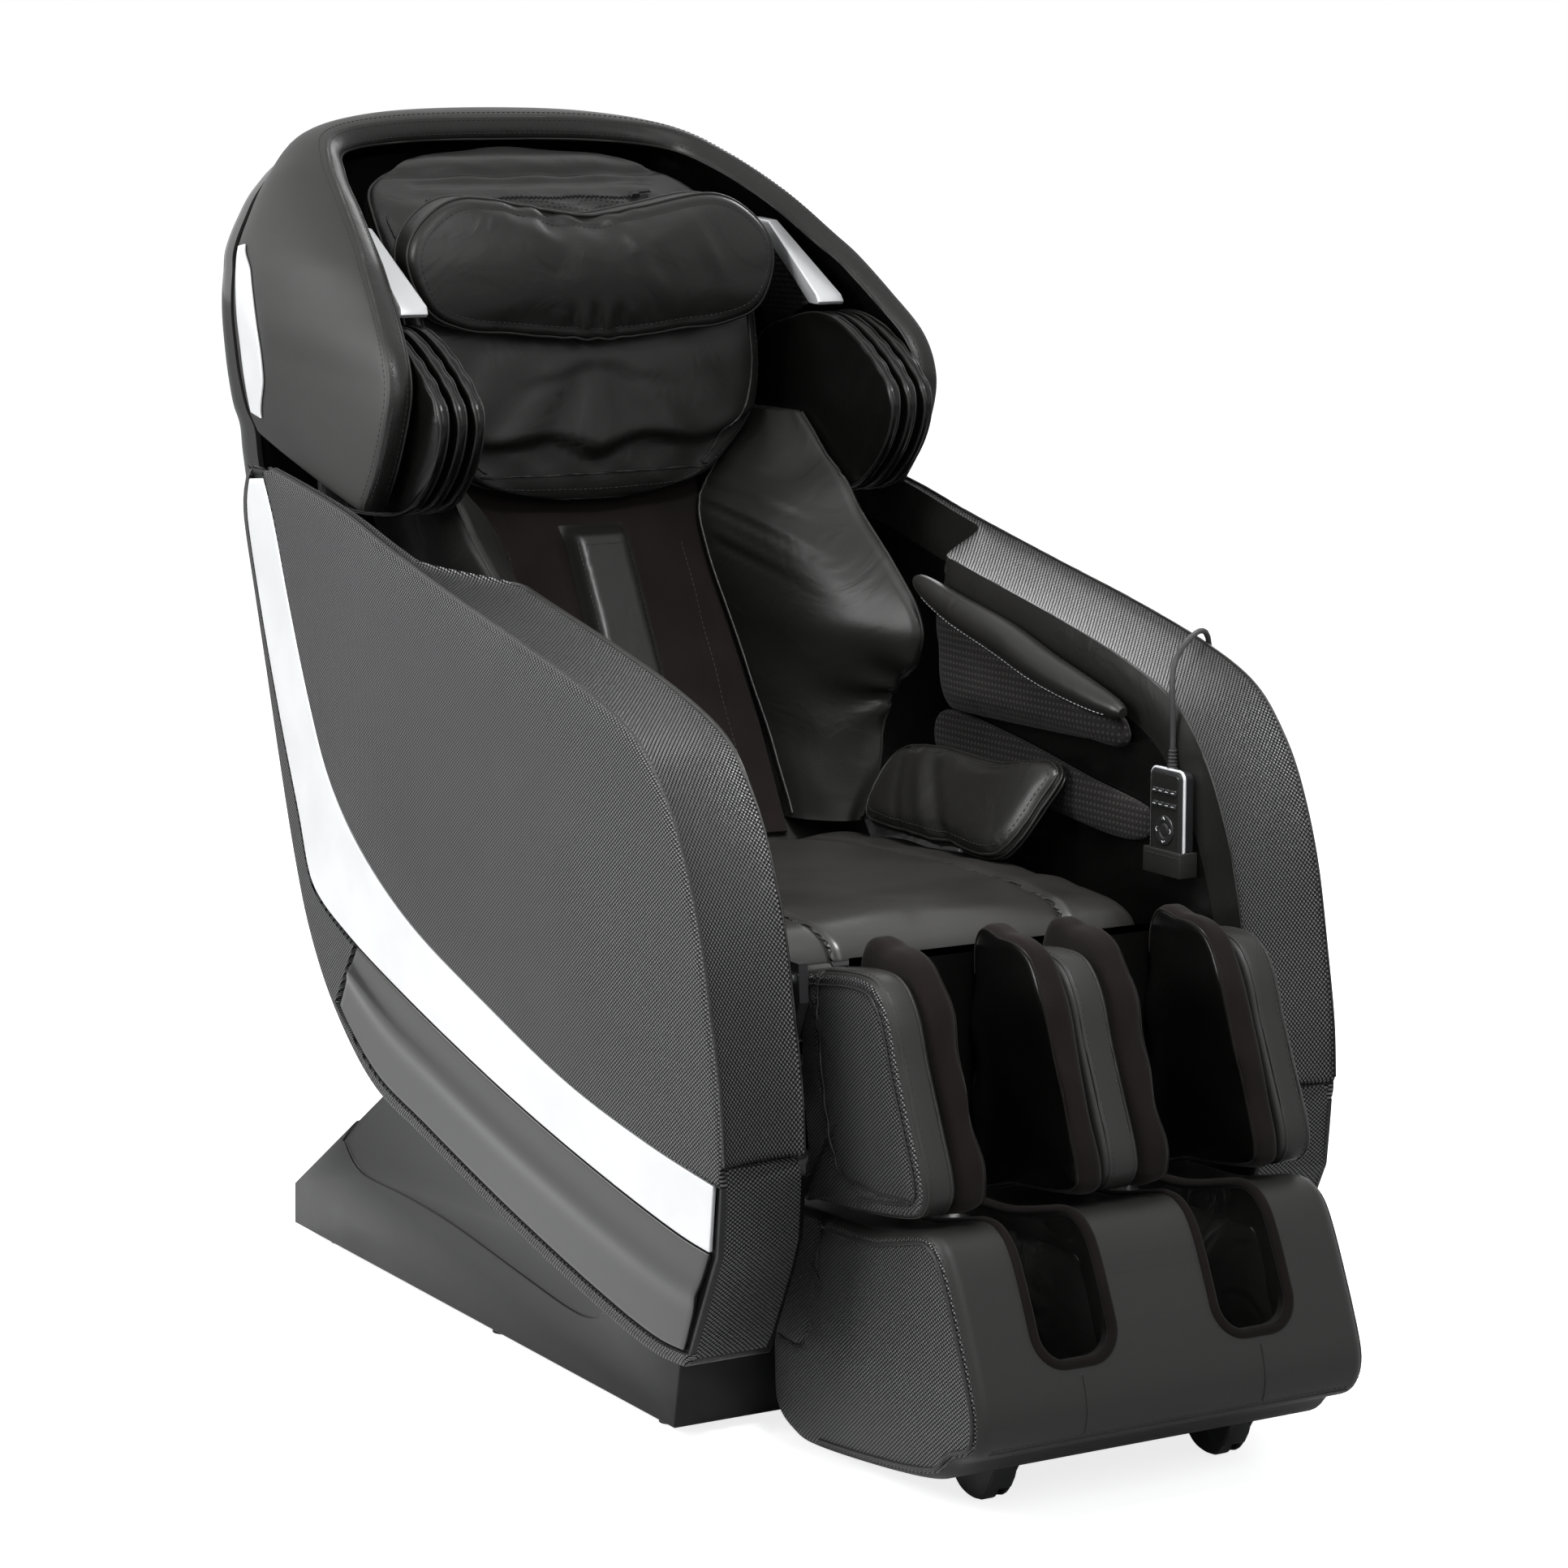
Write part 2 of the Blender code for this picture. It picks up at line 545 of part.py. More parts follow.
def build_seat_frame():
    pan_top = SEAT_BOTTOM - GAP
    frame = block("seat_frame", (-0.235, -0.330, RAIL_Z[1] - 0.0008), (0.235, 0.190, pan_top))
    parts = []
    lug_inner = RAIL_HALF + RAIL_WIDTH + PLAY
    post = TILT_POST[0] - PLAY
    for side in (-1.0, 1.0):
        def across(low, high, side=side):
            return sorted((low * side, high * side))

        low, high = across(*SEAT_RAIL)
        parts.append(block("rail", (low, -0.335, RAIL_Z[0]), (high, 0.240, RAIL_Z[1])))
        low, high = across(SEAT_RAIL[0] + 0.004, post)
        hanger = [(TILT_PIVOT[0] - 0.060, RAIL_Z[0] + 0.010), (TILT_PIVOT[0] - 0.020, TILT_PIVOT[1] - 0.012),
                  (TILT_PIVOT[0], TILT_PIVOT[1] - 0.022), (TILT_PIVOT[0] + 0.020, TILT_PIVOT[1] - 0.012),
                  (TILT_PIVOT[0] + 0.060, RAIL_Z[0] + 0.010)]
        parts.append(prism("hanger", hanger, high - PLATE if side > 0 else low,
                           high if side > 0 else low + PLATE, "steel_black"))
        pin_start = side * (post - 0.5 * PLATE)
        pin_end = side * (TILT_POST[1] + 0.004)
        parts.append(rod("pin", (pin_start, *TILT_PIVOT), (pin_end, *TILT_PIVOT), PIN_RADIUS, "steel_black"))
        low, high = across(lug_inner, lug_inner + PLATE)
        lug = [(0.205, RAIL_Z[0]), (BACK_PIVOT[0] + 0.004, BACK_PIVOT[1] - 0.020),
               (BACK_PIVOT[0] + 0.020, BACK_PIVOT[1] - 0.006), (BACK_PIVOT[0] + 0.018, BACK_PIVOT[1] + 0.012),
               (BACK_PIVOT[0] + 0.002, BACK_PIVOT[1] + 0.020), (0.205, RAIL_Z[1])]
        parts.append(prism("lug", lug, low, high, "steel_black"))
        pin_start = side * (lug_inner + 0.5 * PLATE)
        pin_end = side * (RAIL_HALF + 0.004)
        parts.append(rod("pin", (pin_start, *BACK_PIVOT), (pin_end, *BACK_PIVOT), PIN_RADIUS, "steel_black"))
        low, high = across(CALF_HALF + PLAY, CALF_HALF + PLAY + PLATE)
        y, z = CALF_PIVOT
        horn = [(-0.290, RAIL_Z[0] + 0.004), (-0.290, RAIL_Z[1] + 0.004), (-0.385, 0.396),
                (y + 0.040, z - 0.010), (y + 0.018, z + 0.018), (y - 0.016, z + 0.018),
                (y - 0.018, z - 0.020), (y + 0.030, RAIL_Z[0] + 0.004)]
        hole = rod("hole", (low - 0.01, y, z), (high + 0.01, y, z), PIN_RADIUS + BORE_PLAY, "steel_black")
        parts.append(cut(prism("horn", horn, low, high, "steel_black"), [hole]))
        low, high = across(SEAT_RAIL[0] + 0.010, CALF_HALF + PLAY + 0.5 * PLATE)
        parts.append(block("horn_root", (low, -0.325, RAIL_Z[0] + 0.006), (high, -0.295, RAIL_Z[1] - 0.004)))
        for start in (-0.270, -0.110, 0.000):
            low, high = across(0.225, ARM_INNER_HALF - GAP)
            parts.append(block("foot", (low, start, RAIL_Z[1] + 0.001),
                               (high, start + 0.040, pan_top - 0.002)))
            low, high = across(ARM_INNER_HALF - GAP - 0.008, ARM_INNER_HALF - GAP)
            parts.append(block("upright", (low, start + 0.002, RAIL_Z[1] + 0.002),
                               (high, start + 0.038, 0.460)))
    parts.append(block("rear_cross", (-0.210, 0.205, RAIL_Z[0] + 0.002), (0.210, 0.236, RAIL_Z[1] - 0.002)))
    parts.append(block("recline_ear", (RECLINE_X - 0.030, -0.135, 0.305),
                       (RECLINE_X - 0.022, -0.105, RAIL_Z[1])))
    parts.append(block("leg_ear", (LEG_X - 0.030, -0.045, 0.285), (LEG_X - 0.022, -0.015, RAIL_Z[1])))
    parts.append(block("tilt_ear", (TILT_X - 0.017, -0.214, 0.322), (TILT_X - 0.009, -0.186, RAIL_Z[1])))
    return union(frame, parts)


# ---------------------------------------------------------------- base
TILT_POST = (0.228, 0.240)
BASE_PROFILE = [(-0.322, 0.010), (-0.335, 0.080), (-0.305, 0.165), (-0.220, 0.212), (0.060, 0.240),
                (0.250, 0.238), (0.345, 0.214), (0.512, 0.107), (0.586, 0.060), (0.588, 0.012)]
BASE_WALL = 0.008
WHEEL_AT = (0.520, 0.026)
WHEEL_RADIUS = 0.026
BASE_RAIL = (BASE_HALF - 0.050, BASE_HALF - 0.020)
WHEEL_X = (BASE_RAIL[0] + 0.012, BASE_RAIL[1] + 0.004)
FOOT_PADS = ((-0.270, 0.012), (0.100, 0.012))
SWITCH_SIZE = (0.026, 0.018)
SWITCH_AT = (-0.180, 0.036)              # (x, z) on the rear face
SWITCH_TRAVEL = 0.002


def build_base():
    frame = block("base_frame", (-BASE_RAIL[1], -0.300, 0.016), (-BASE_RAIL[0], 0.555, 0.046))
    parts = [block("rail", (BASE_RAIL[0], -0.300, 0.016), (BASE_RAIL[1], 0.555, 0.046))]
    cross_end = BASE_RAIL[0] + 0.012
    for low, high in ((-0.290, -0.250), (0.080, 0.140), (0.440, 0.470)):
        parts.append(block("cross", (-cross_end, low, 0.020), (cross_end, high, 0.042)))
    for side in (-1.0, 1.0):
        low, high = sorted((TILT_POST[0] * side, TILT_POST[1] * side))
        y, z = TILT_PIVOT
        post = [(y - 0.040, 0.024), (y + 0.040, 0.024), (y + 0.018, z - 0.006), (y + 0.010, z + 0.016),
                (y - 0.010, z + 0.016), (y - 0.018, z - 0.006)]
        hole = rod("hole", (low - 0.01, y, z), (high + 0.01, y, z), PIN_RADIUS + BORE_PLAY, "steel_black")
        parts.append(cut(prism("post", post, low, high, "steel_black"), [hole]))
        low, high = sorted(((TILT_POST[1] - 0.004) * side, (BASE_RAIL[0] + 0.006) * side))
        parts.append(block("post_root", (low, 0.085, 0.024), (high, 0.135, 0.060)))
        for y, radius in FOOT_PADS:
            pad_x = side * (BASE_RAIL[1] - 0.005)
            parts.append(rod("pad", (pad_x, y, 0.0), (pad_x, y, 0.020), radius, "steel_black"))
        axle = (side * (BASE_RAIL[0] + 0.005), *WHEEL_AT)
        parts.append(rod("axle", axle, (side * (WHEEL_X[1] + 0.004), *WHEEL_AT), 0.006, "steel_black"))
    wheel_arch = rod("arch", (-BASE_HALF, *WHEEL_AT), (-WHEEL_X[0] + PLAY, *WHEEL_AT), WHEEL_RADIUS + 0.004,
                     "steel_black", 24)
    other_arch = rod("arch", (BASE_HALF, *WHEEL_AT), (WHEEL_X[0] - PLAY, *WHEEL_AT), WHEEL_RADIUS + 0.004,
                     "steel_black", 24)
    axles = parts[-1:] + [part for part in parts if part.name.startswith("axle") and part is not parts[-1]]
    solids = [part for part in parts if part not in axles]
    union(frame, solids)
    cut(frame, [wheel_arch, other_arch])
    union(frame, axles)
    union(frame, [block("ear", (TILT_X - 0.030, -0.256, 0.030), (TILT_X - 0.022, -0.224, 0.068))])

    for word, side in SIDES:
        low, high = sorted((WHEEL_X[0] * side, WHEEL_X[1] * side))
        tyre = circle(WHEEL_AT, WHEEL_RADIUS, 20)
        wheel = pillow("rear_wheel_" + word, tyre, low, high, 0.003, "rubber_black")
        cut(wheel, [rod("bore", (low - 0.01, *WHEEL_AT), (high + 0.01, *WHEEL_AT), 0.006 + BORE_PLAY,
                        "rubber_black")])

    cover = prism("base_cover", BASE_PROFILE, -BASE_HALF, BASE_HALF, "gloss_black")
    hollow = inset([Vector(p) for p in BASE_PROFILE[::-1]], BASE_WALL)[::-1]
    hollow = [Vector((p.x, p.y - 0.010 if p.y < 0.03 else p.y)) for p in hollow]
    cut(cover, [prism("hollow", hollow, -BASE_HALF + BASE_WALL, BASE_HALF - BASE_WALL, "gloss_black"),
                block("top", (-TILT_POST[1] - 0.010, -0.270, 0.100), (TILT_POST[1] + 0.010, 0.310, 0.300)),
                block("slot",
                      (SWITCH_AT[0] - 0.5 * SWITCH_SIZE[0], 0.570, SWITCH_AT[1] - 0.5 * SWITCH_SIZE[1]),
                      (SWITCH_AT[0] + 0.5 * SWITCH_SIZE[0], 0.600, SWITCH_AT[1] + 0.5 * SWITCH_SIZE[1]))])
    half_w = 0.5 * SWITCH_SIZE[0] - GAP
    half_h = 0.5 * SWITCH_SIZE[1] - GAP
    switch = rounded_box(SWITCH_AT[0] - half_w, SWITCH_AT[0] + half_w,
                         SWITCH_AT[1] - half_h, SWITCH_AT[1] + half_h, 0.002)
    pillow("power_switch", switch, 0.576, 0.591, 0.001, "plastic_black", on_front)


# ---------------------------------------------------------------- backrest
def track(along_track, out, x=0.0):
    """A place by its distance up the roller track and out of the lining's front."""
    lean = TRACK_LEAN
    y = TRACK_FOOT[0] + along_track * math.sin(lean) - out * math.cos(lean)
    z = TRACK_FOOT[1] + along_track * math.cos(lean) + out * math.sin(lean)
    return Vector((x, y, z))


def track_box(name, x_range, along_range, out_range, slot="steel_black"):
    corners = [(along_range[0], out_range[0]), (along_range[1], out_range[0]),
               (along_range[1], out_range[1]), (along_range[0], out_range[1])]
    rings = [[track(a, o, x) for a, o in corners] for x in x_range]
    return loft(name, rings, slot, 30)


def track_spot(point):
    """The inverse of track, for a (y, z) point."""
    y, z = point[0] - TRACK_FOOT[0], point[1] - TRACK_FOOT[1]
    return (y * math.sin(TRACK_LEAN) + z * math.cos(TRACK_LEAN),
            -y * math.cos(TRACK_LEAN) + z * math.sin(TRACK_LEAN))


RAIL_TOP = 0.740
WING_DEPTH = 0.036                       # from the lining's front back to the wings' rear faces
LEVER_LENGTH = 0.070
RECLINE_X = 0.044
LEG_X = -0.120
TILT_X = -0.050


def build_back_frame():
    pivot_along, pivot_out = track_spot(BACK_PIVOT)
    front = pivot_out + 0.5 * RAIL_DEPTH
    back = pivot_out - 0.5 * RAIL_DEPTH
    frame = None
    parts = []
    for side in (-1.0, 1.0):
        low, high = sorted((RAIL_HALF * side, (RAIL_HALF + RAIL_WIDTH) * side))
        rail = track_box("back_frame", (low, high), (pivot_along - 0.018, RAIL_TOP), (back, front))
        hole = rod("hole", (low - 0.01, *BACK_PIVOT), (high + 0.01, *BACK_PIVOT), PIN_RADIUS + BORE_PLAY,
                   "steel_black")
        cut(rail, [hole])
        if frame is None:
            frame = rail
        else:
            parts.append(rail)
        for low_s, high_s in ((0.020, 0.050), (0.250, 0.280), (0.500, 0.530)):
            low, high = sorted(((RAIL_HALF + 0.001) * side, (RAIL_HALF + 0.009) * side))
            parts.append(track_box("flange", (low, high), (low_s, high_s),
                                   (front - 0.004, -LINING_THICK - GAP)))
    outer = RAIL_HALF + RAIL_WIDTH - 0.002
    for low_s, high_s in ((0.000, 0.040), (0.440, 0.480), (0.690, 0.730)):
        parts.append(track_box("cross", (-outer, outer), (low_s, high_s), (back - 0.008, back + 0.003)))
    lever_x = (RECLINE_X - 0.018, RECLINE_X - 0.010)
    y, z = BACK_PIVOT
    lever = [(y - 0.012, z - LEVER_LENGTH), (y + 0.012, z - LEVER_LENGTH), (y + 0.030, z + 0.020),
             (y + 0.064, z + 0.030), (y + 0.052, z + 0.052), (y + 0.006, z + 0.022)]
    parts.append(prism("lever", lever, *lever_x, "steel_black"))
    parts.append(track_box("lever_root", (RECLINE_X - 0.030, RECLINE_X + 0.002),
                           (pivot_along + 0.045, 0.030), (back - 0.006, back + 0.004)))
    for side in (-1.0, 1.0):
        for low_s, high_s in ((0.090, 0.120), (0.300, 0.330)):
            low, high = sorted((0.1455 * side, 0.1600 * side))
            parts.append(track_box("stand_off", (low, high), (low_s + 0.005, high_s - 0.005),
                                   (front - 0.003, -WING_DEPTH - 0.003)))
            low, high = sorted((0.1460 * side, 0.2300 * side))
            parts.append(track_box("wing_plate", (low, high), (low_s, high_s),
                                   (-WING_DEPTH - GAP - 0.006, -WING_DEPTH - GAP)))
    union(frame, parts)
    struts = []
    for x in (-0.090, 0.090):
        start = track(0.710, back - 0.0025)
        struts.append(rod("strut", (x, start.y, start.z), (x, 0.7475, start.z), 0.008, "steel_black", 8))
    union(frame, struts)
    return cut(frame, [cover_body("clearance", COVER_WALL + GAP)])


def hood_spot(table, index):
    """A point of a mirrored hood edge: both sides and the top, in one run."""
    last = len(table) - 1
    if index <= last:
        return Vector(table[index])
    x, y, z = table[2 * last - index]
    return Vector((-x, y, z))


def hood_normal(index):
    before, after = max(index - 1, 0), min(index + 1, 2 * len(SHELL_RIM) - 2)
    up = (hood_spot(SHELL_RIM, after) + hood_spot(SHELL_REAR, after)
          - hood_spot(SHELL_RIM, before) - hood_spot(SHELL_REAR, before))
    depth = hood_spot(SHELL_REAR, index) - hood_spot(SHELL_RIM, index)
    out = up.cross(depth).normalized()
    away = hood_spot(SHELL_RIM, index) + hood_spot(SHELL_REAR, index) - Vector((0, 0.9, 1.9))
    return out if out.dot(Vector((away.x, 0, away.z))) > 0 else -out


def hood_surface(index, share, inwards=0.0):
    """A place on the hood: share 0 at the front rim, 1 at the rear edge."""
    spot = hood_spot(SHELL_RIM, index).lerp(hood_spot(SHELL_REAR, index), share)
    level = min(index, 2 * len(SHELL_RIM) - 2 - index)
    part = SHELL_LOW_CROWN[level] if level < len(SHELL_LOW_CROWN) else 1.0
    swell = SHELL_CROWN * part * 4 * share * (1 - share)
    return spot + hood_normal(index) * (swell - inwards)


def hood_body(name, wall):
    rings = []
    for index in range(2 * len(SHELL_RIM) - 1):
        back = (hood_spot(SHELL_REAR, index) - hood_spot(SHELL_RIM, index)).normalized()
        ring = [hood_surface(index, share) for share in (0.0, 0.25, 0.5, 0.78, 0.94, 1.0)]
        ring += [hood_surface(index, share, wall) for share in (1.0, 0.66, 0.33, 0.06)]
        rim_in = hood_surface(index, 0.0, SHELL_RIM_DEPTH + wall - SHELL_WALL)
        ring += [rim_in, hood_surface(index, 0.0, 0.5 * SHELL_RIM_DEPTH) - back * 0.005]
        rings.append(ring)
    return loft(name, rings, "leather_black", 40, True)


def build_shell():
    """The hood: a bent wall whose section runs from the front rim to the rear edge."""
    hood_body("head_shell", SHELL_WALL)
    last = 2 * len(SHELL_RIM) - 2
    for word, start, step in (("left", 1, 1), ("right", last - 1, -1)):
        rings = []
        for offset in range(7):
            index = start + step * offset
            rings.append([hood_surface(index, share, -0.0009 - lift) for share, lift in
                          ((0.78, 0.0), (0.78, 0.003), (0.94, 0.003), (0.94, 0.0))])
        loft("shell_stripe_" + word, rings, "silver_trim", 30)


def cover_body(name, wall):
    rows = [(z, half, y) for z, half, y in COVER_SIDE_LOW]
    rows += [(z, half, y + (2 if z < 1.12 else 8) * FIT) for half, y, z in SHELL_REAR[:-1]]
    rings = []
    segments = 12
    for z, half, side_y in rows:
        back_y = lookup(COVER_BACK, z)[0]
        ring = []
        for depth_in in (0.0, wall):
            arc = []
            for step in range(segments + 1):
                turn = math.pi * step / segments
                depth = max(math.sin(turn), 0.0) ** 0.62
                x = (half - depth_in) * math.cos(turn)
                arc.append(Vector((x, side_y + max(back_y - depth_in - side_y, 0.002) * depth, z)))
            ring += arc if depth_in == 0.0 else arc[::-1]
        rings.append(ring)
    return loft(name, rings, "gloss_black", 40, True)


def row_pad(name, rows, slot, crown=0.0):
    """A pad that hangs along a line: rows are (y, z) of its front, half width and thickness."""
    rings = []
    for index, (y, z, half, thick) in enumerate(rows):
        before = rows[max(index - 1, 0)]
        after = rows[min(index + 1, len(rows) - 1)]
        along_line = Vector((after[0] - before[0], after[1] - before[1])).normalized()
        back = Vector((along_line.y, -along_line.x))
        turn_in = min(0.012, 0.4 * half)
        section = [(-half, 0.5), (-half + turn_in, 0.10), (-0.55 * half, 0.0), (0.0, -crown / thick),
                   (0.55 * half, 0.0), (half - turn_in, 0.10), (half, 0.5), (half - turn_in, 0.9),
                   (0.0, 1.0), (-half + turn_in, 0.9)]
        rings.append([Vector((x, y + back.x * share * thick, z + back.y * share * thick))
                      for x, share in section])
    return loft(name, rings, slot, 60, True)


NECK_ROWS = [(0.406, 0.859, 0.060, 0.016), (0.402, 0.867, 0.110, 0.026), (0.399, 0.880, 0.148, 0.0365),
             (0.398, 0.905, 0.178, 0.0515), (0.397, 0.945, 0.211, 0.075), (0.398, 0.985, 0.222, 0.094),
             (0.402, 1.030, 0.224, 0.105), (0.428, 1.100, 0.228, 0.095), (0.478, 1.160, 0.226, 0.075),
             (0.545, 1.200, 0.210, 0.045), (0.600, 1.222, 0.160, 0.018)]
NECK_REST = 0.0008                       # the neck pad's clearance over the lining, square to it
PILLOW_HALF_OUTLINE = [(0.000, 1.176), (0.063, 1.184), (0.157, 1.197), (0.210, 1.172), (0.232, 1.130),
                       (0.214, 1.078), (0.175, 1.055), (0.100, 1.046), (0.000, 1.038)]
PILLOW_FRONT = (0.372, 0.13)             # y of its front at its lower edge, and its lean
PILLOW_CROWN = 0.016
WING_ROWS = [  # z, inner x and y, tip x and y
    (0.504, 0.156, 0.222, 0.214, 0.168), (0.560, 0.156, 0.252, 0.230, 0.158),
    (0.640, 0.150, 0.296, 0.240, 0.150), (0.695, 0.145, 0.326, 0.243, 0.096),
    (0.735, 0.141, 0.348, 0.243, 0.090), (0.790, 0.136, 0.379, 0.243, 0.148),
    (0.845, 0.140, 0.408, 0.243, 0.220), (0.885, 0.168, 0.424, 0.243, 0.265),
    (0.925, 0.208, 0.436, 0.243, 0.318), (0.950, 0.228, 0.442, 0.243, 0.352)]
WING_OUTER = 0.2485
AIRBAG_SIDE = [(0.470, 1.020), (0.380, 1.058), (0.300, 1.062), (0.225, 1.030), (0.170, 0.985),
               (0.172, 0.940), (0.215, 0.890), (0.290, 0.862), (0.450, 0.862), (0.480, 0.900)]
AIRBAG_LEAVES = ((0.2915, 0.3075), (0.2705, 0.2865), (0.2495, 0.2655))
AIRBAG_SPINE = 0.390
SPEAKER_OUTLINE = [(0.488, 1.168), (0.440, 1.164), (0.318, 1.082), (0.322, 1.074), (0.392, 1.070),
                   (0.462, 1.106)]


def build_back_soft():
    section = [(-LINING_HALF, -LINING_THICK), (LINING_HALF, -LINING_THICK), (LINING_HALF, 0.0),
               (STRIP_HALF + 0.006, 0.0), (STRIP_HALF, 0.6 * STRIP_THICK), (0.7 * STRIP_HALF, STRIP_THICK),
               (-0.7 * STRIP_HALF, STRIP_THICK), (-STRIP_HALF, 0.6 * STRIP_THICK),
               (-STRIP_HALF - 0.006, 0.0), (-LINING_HALF, 0.0)]
    rings = []
    for distance, share in ((0.0, 0.3), (0.012, 1.0), (0.200, 1.0), (0.370, 1.0), (0.385, 0.02),
                            (LINING_LENGTH, 0.02)):
        rings.append([track(distance, out * share if out > 0 else out, x) for x, out in section])
    loft("back_centre_pad", rings, "suede_brown", 40)

    neck = row_pad("neck_pad", NECK_ROWS, "leather_black")
    cut(neck, [track_box("lining_room", (-0.30, 0.30), (0.30, LINING_LENGTH + 0.001), (-0.20, NECK_REST))])

    outline = PILLOW_HALF_OUTLINE + [(-x, z) for x, z in PILLOW_HALF_OUTLINE[-2:0:-1]]
    thick = 0.034

    def on_neck(u, v, w):
        height = v - PILLOW_HALF_OUTLINE[-1][1]
        back = 0.4050 + 0.34 * height
        front = PILLOW_FRONT[0] + PILLOW_FRONT[1] * height
        return Vector((u, back + (front - back) * w / thick, v))

    pillow("head_pillow", smooth(outline, 30, True), 0.0, thick, 0.012, "leather_black", on_neck,
           (0.0, PILLOW_CROWN))

    for word, side in SIDES:
        rings = []
        for z, inner_x, inner_y, tip_x, tip_y in WING_ROWS:
            middle = Vector((0.5 * (inner_x + tip_x), 0.5 * (inner_y + tip_y)))
            outward = Vector((inner_y - tip_y, tip_x - inner_x)).normalized()
            swell = middle - outward * 0.012
            rear_x = max(inner_x, LINING_HALF + 0.003)
            lip = inner_y + 0.003 if inner_x < rear_x else inner_y + 0.012
            rear_y = TRACK_FOOT[0] + (z - TRACK_FOOT[1]) * math.tan(TRACK_LEAN)
            rear_y += WING_DEPTH / math.cos(TRACK_LEAN)
            ring = [(inner_x, inner_y - 0.004), (swell.x, swell.y), (tip_x - 0.006, tip_y + 0.004),
                    (tip_x, tip_y), (WING_OUTER, tip_y + 0.022), (WING_OUTER, rear_y), (rear_x, rear_y),
                    (rear_x, lip)]
            rings.append([Vector((x * side, y, z)) for x, y in ring])
        loft("back_cushion_" + word, rings, "leather_black", 60)

        comb = [(0.330, 0.450), (0.330, 0.405), (AIRBAG_LEAVES[0][1], 0.400)]
        for low, high in AIRBAG_LEAVES:
            comb += [(high, 0.175), (0.5 * (low + high), 0.160), (low, 0.175), (low, AIRBAG_SPINE)]
            comb.append((low - 0.004, AIRBAG_SPINE))
        comb = comb[:-2] + [(AIRBAG_LEAVES[-1][0], 0.450)]
        fan = prism("shoulder_airbag_" + word, [(x * side, y) for x, y in comb], 0.800, 1.100,
                    "leather_black", on_floor)
        envelope = prism("envelope", smooth(AIRBAG_SIDE, 26, True), *sorted((0.2 * side, 0.34 * side)),
                         "leather_black")
        combine(fan, [envelope], "INTERSECT")
        cut(fan, [hood_body("room", SHELL_WALL + GAP)])

        def inside_shell(u, v, w, side=side):
            x = 0.275 - 0.16 * (v - 1.075) - w
            return Vector((side * x, u, v))

        plate = pillow("speaker_" + word, SPEAKER_OUTLINE, -0.040, 0.008, 0.002, "silver_trim", inside_shell)
        cut(plate, [hood_body("room", SHELL_WALL + GAP)])


# ---------------------------------------------------------------- massage mechanism
def build_mechanism():
    _, pivot_out = track_spot(BACK_PIVOT)
    middle = CARRIAGE_AT
    half = 0.5 * CARRIAGE_HEIGHT
    out_back = pivot_out - 0.5 * RAIL_DEPTH + 0.006
    out_front = pivot_out + 0.5 * RAIL_DEPTH - 0.004
    carriage = track_box("roller_carriage", (-RAIL_HALF + GAP, RAIL_HALF - GAP),
                         (middle - half, middle + half), (out_back, out_front), "motor_grey")
    arm_out = -LINING_THICK - 0.014 - ROLLER_RADIUS - 0.012
    posts = []
    for side in (-1.0, 1.0):
        low, high = sorted((side * (ARM_X - 0.024), side * (ARM_X - 0.016)))
        posts.append(track_box("ear", (low, high), (middle - 0.016, middle + 0.016),
                               (out_front - 0.004, arm_out + 0.012), "motor_grey"))
        pin_a = track(middle, arm_out, side * (ARM_X - 0.020))
        pin_b = track(middle, arm_out, side * (ARM_X - 0.002))
        posts.append(rod("pin", pin_a, pin_b, 0.005, "motor_grey"))
    union(carriage, posts)
    for word, side in SIDES:
        x_low, x_high = sorted((side * (ARM_X - 0.015), side * (ARM_X - 0.007)))
        reach = 0.5 * ROLLER_SPACING
        plate = [(-reach - 0.010, 0.002), (-reach - 0.010, 0.022), (-reach + 0.010, 0.024), (0.0, 0.010),
                 (reach - 0.010, 0.024), (reach + 0.010, 0.022), (reach + 0.010, 0.002), (0.0, -0.012)]
        rings = [[track(middle + a, arm_out + o, x) for a, o in plate] for x in (x_low, x_high)]
        arm = loft("massage_arm_" + word, rings, "steel_bright", 30)
        cut(arm, [rod("bore", track(middle, arm_out, x_low - 0.01), track(middle, arm_out, x_high + 0.01),
                      0.005 + BORE_PLAY, "steel_bright")])
        axles = []
        for level, shift in (("lower", -reach), ("upper", reach)):
            spot_a = track(middle + shift, arm_out + 0.012, side * (ARM_X - 0.010))
            spot_b = track(middle + shift, arm_out + 0.012, side * (ARM_X + ROLLER_WIDTH + 0.001))
            axles.append(rod("axle", spot_a, spot_b, 0.005, "steel_bright"))
            centre = (middle + shift, arm_out + 0.012)
            ring_count = 20
            x_from = ARM_X - 0.006
            rings = []
            for share, pull in ((0.0, 0.006), (0.15, 0.001), (0.5, 0.0), (0.85, 0.001), (1.0, 0.006)):
                turns = [2 * math.pi * i / ring_count for i in range(ring_count)]
                rings.append([track(centre[0] + (ROLLER_RADIUS - pull) * math.cos(turn),
                                    centre[1] + (ROLLER_RADIUS - pull) * math.sin(turn),
                                    side * (x_from + ROLLER_WIDTH * share)) for turn in turns])
            roller = loft("roller_%s_%s" % (level, word), rings, "rubber_black", 40)
            cut(roller, [rod("bore", track(*centre, side * (x_from - 0.01)),
                             track(*centre, side * (x_from + ROLLER_WIDTH + 0.01)), 0.005 + BORE_PLAY,
                             "rubber_black")])
        union(arm, axles)


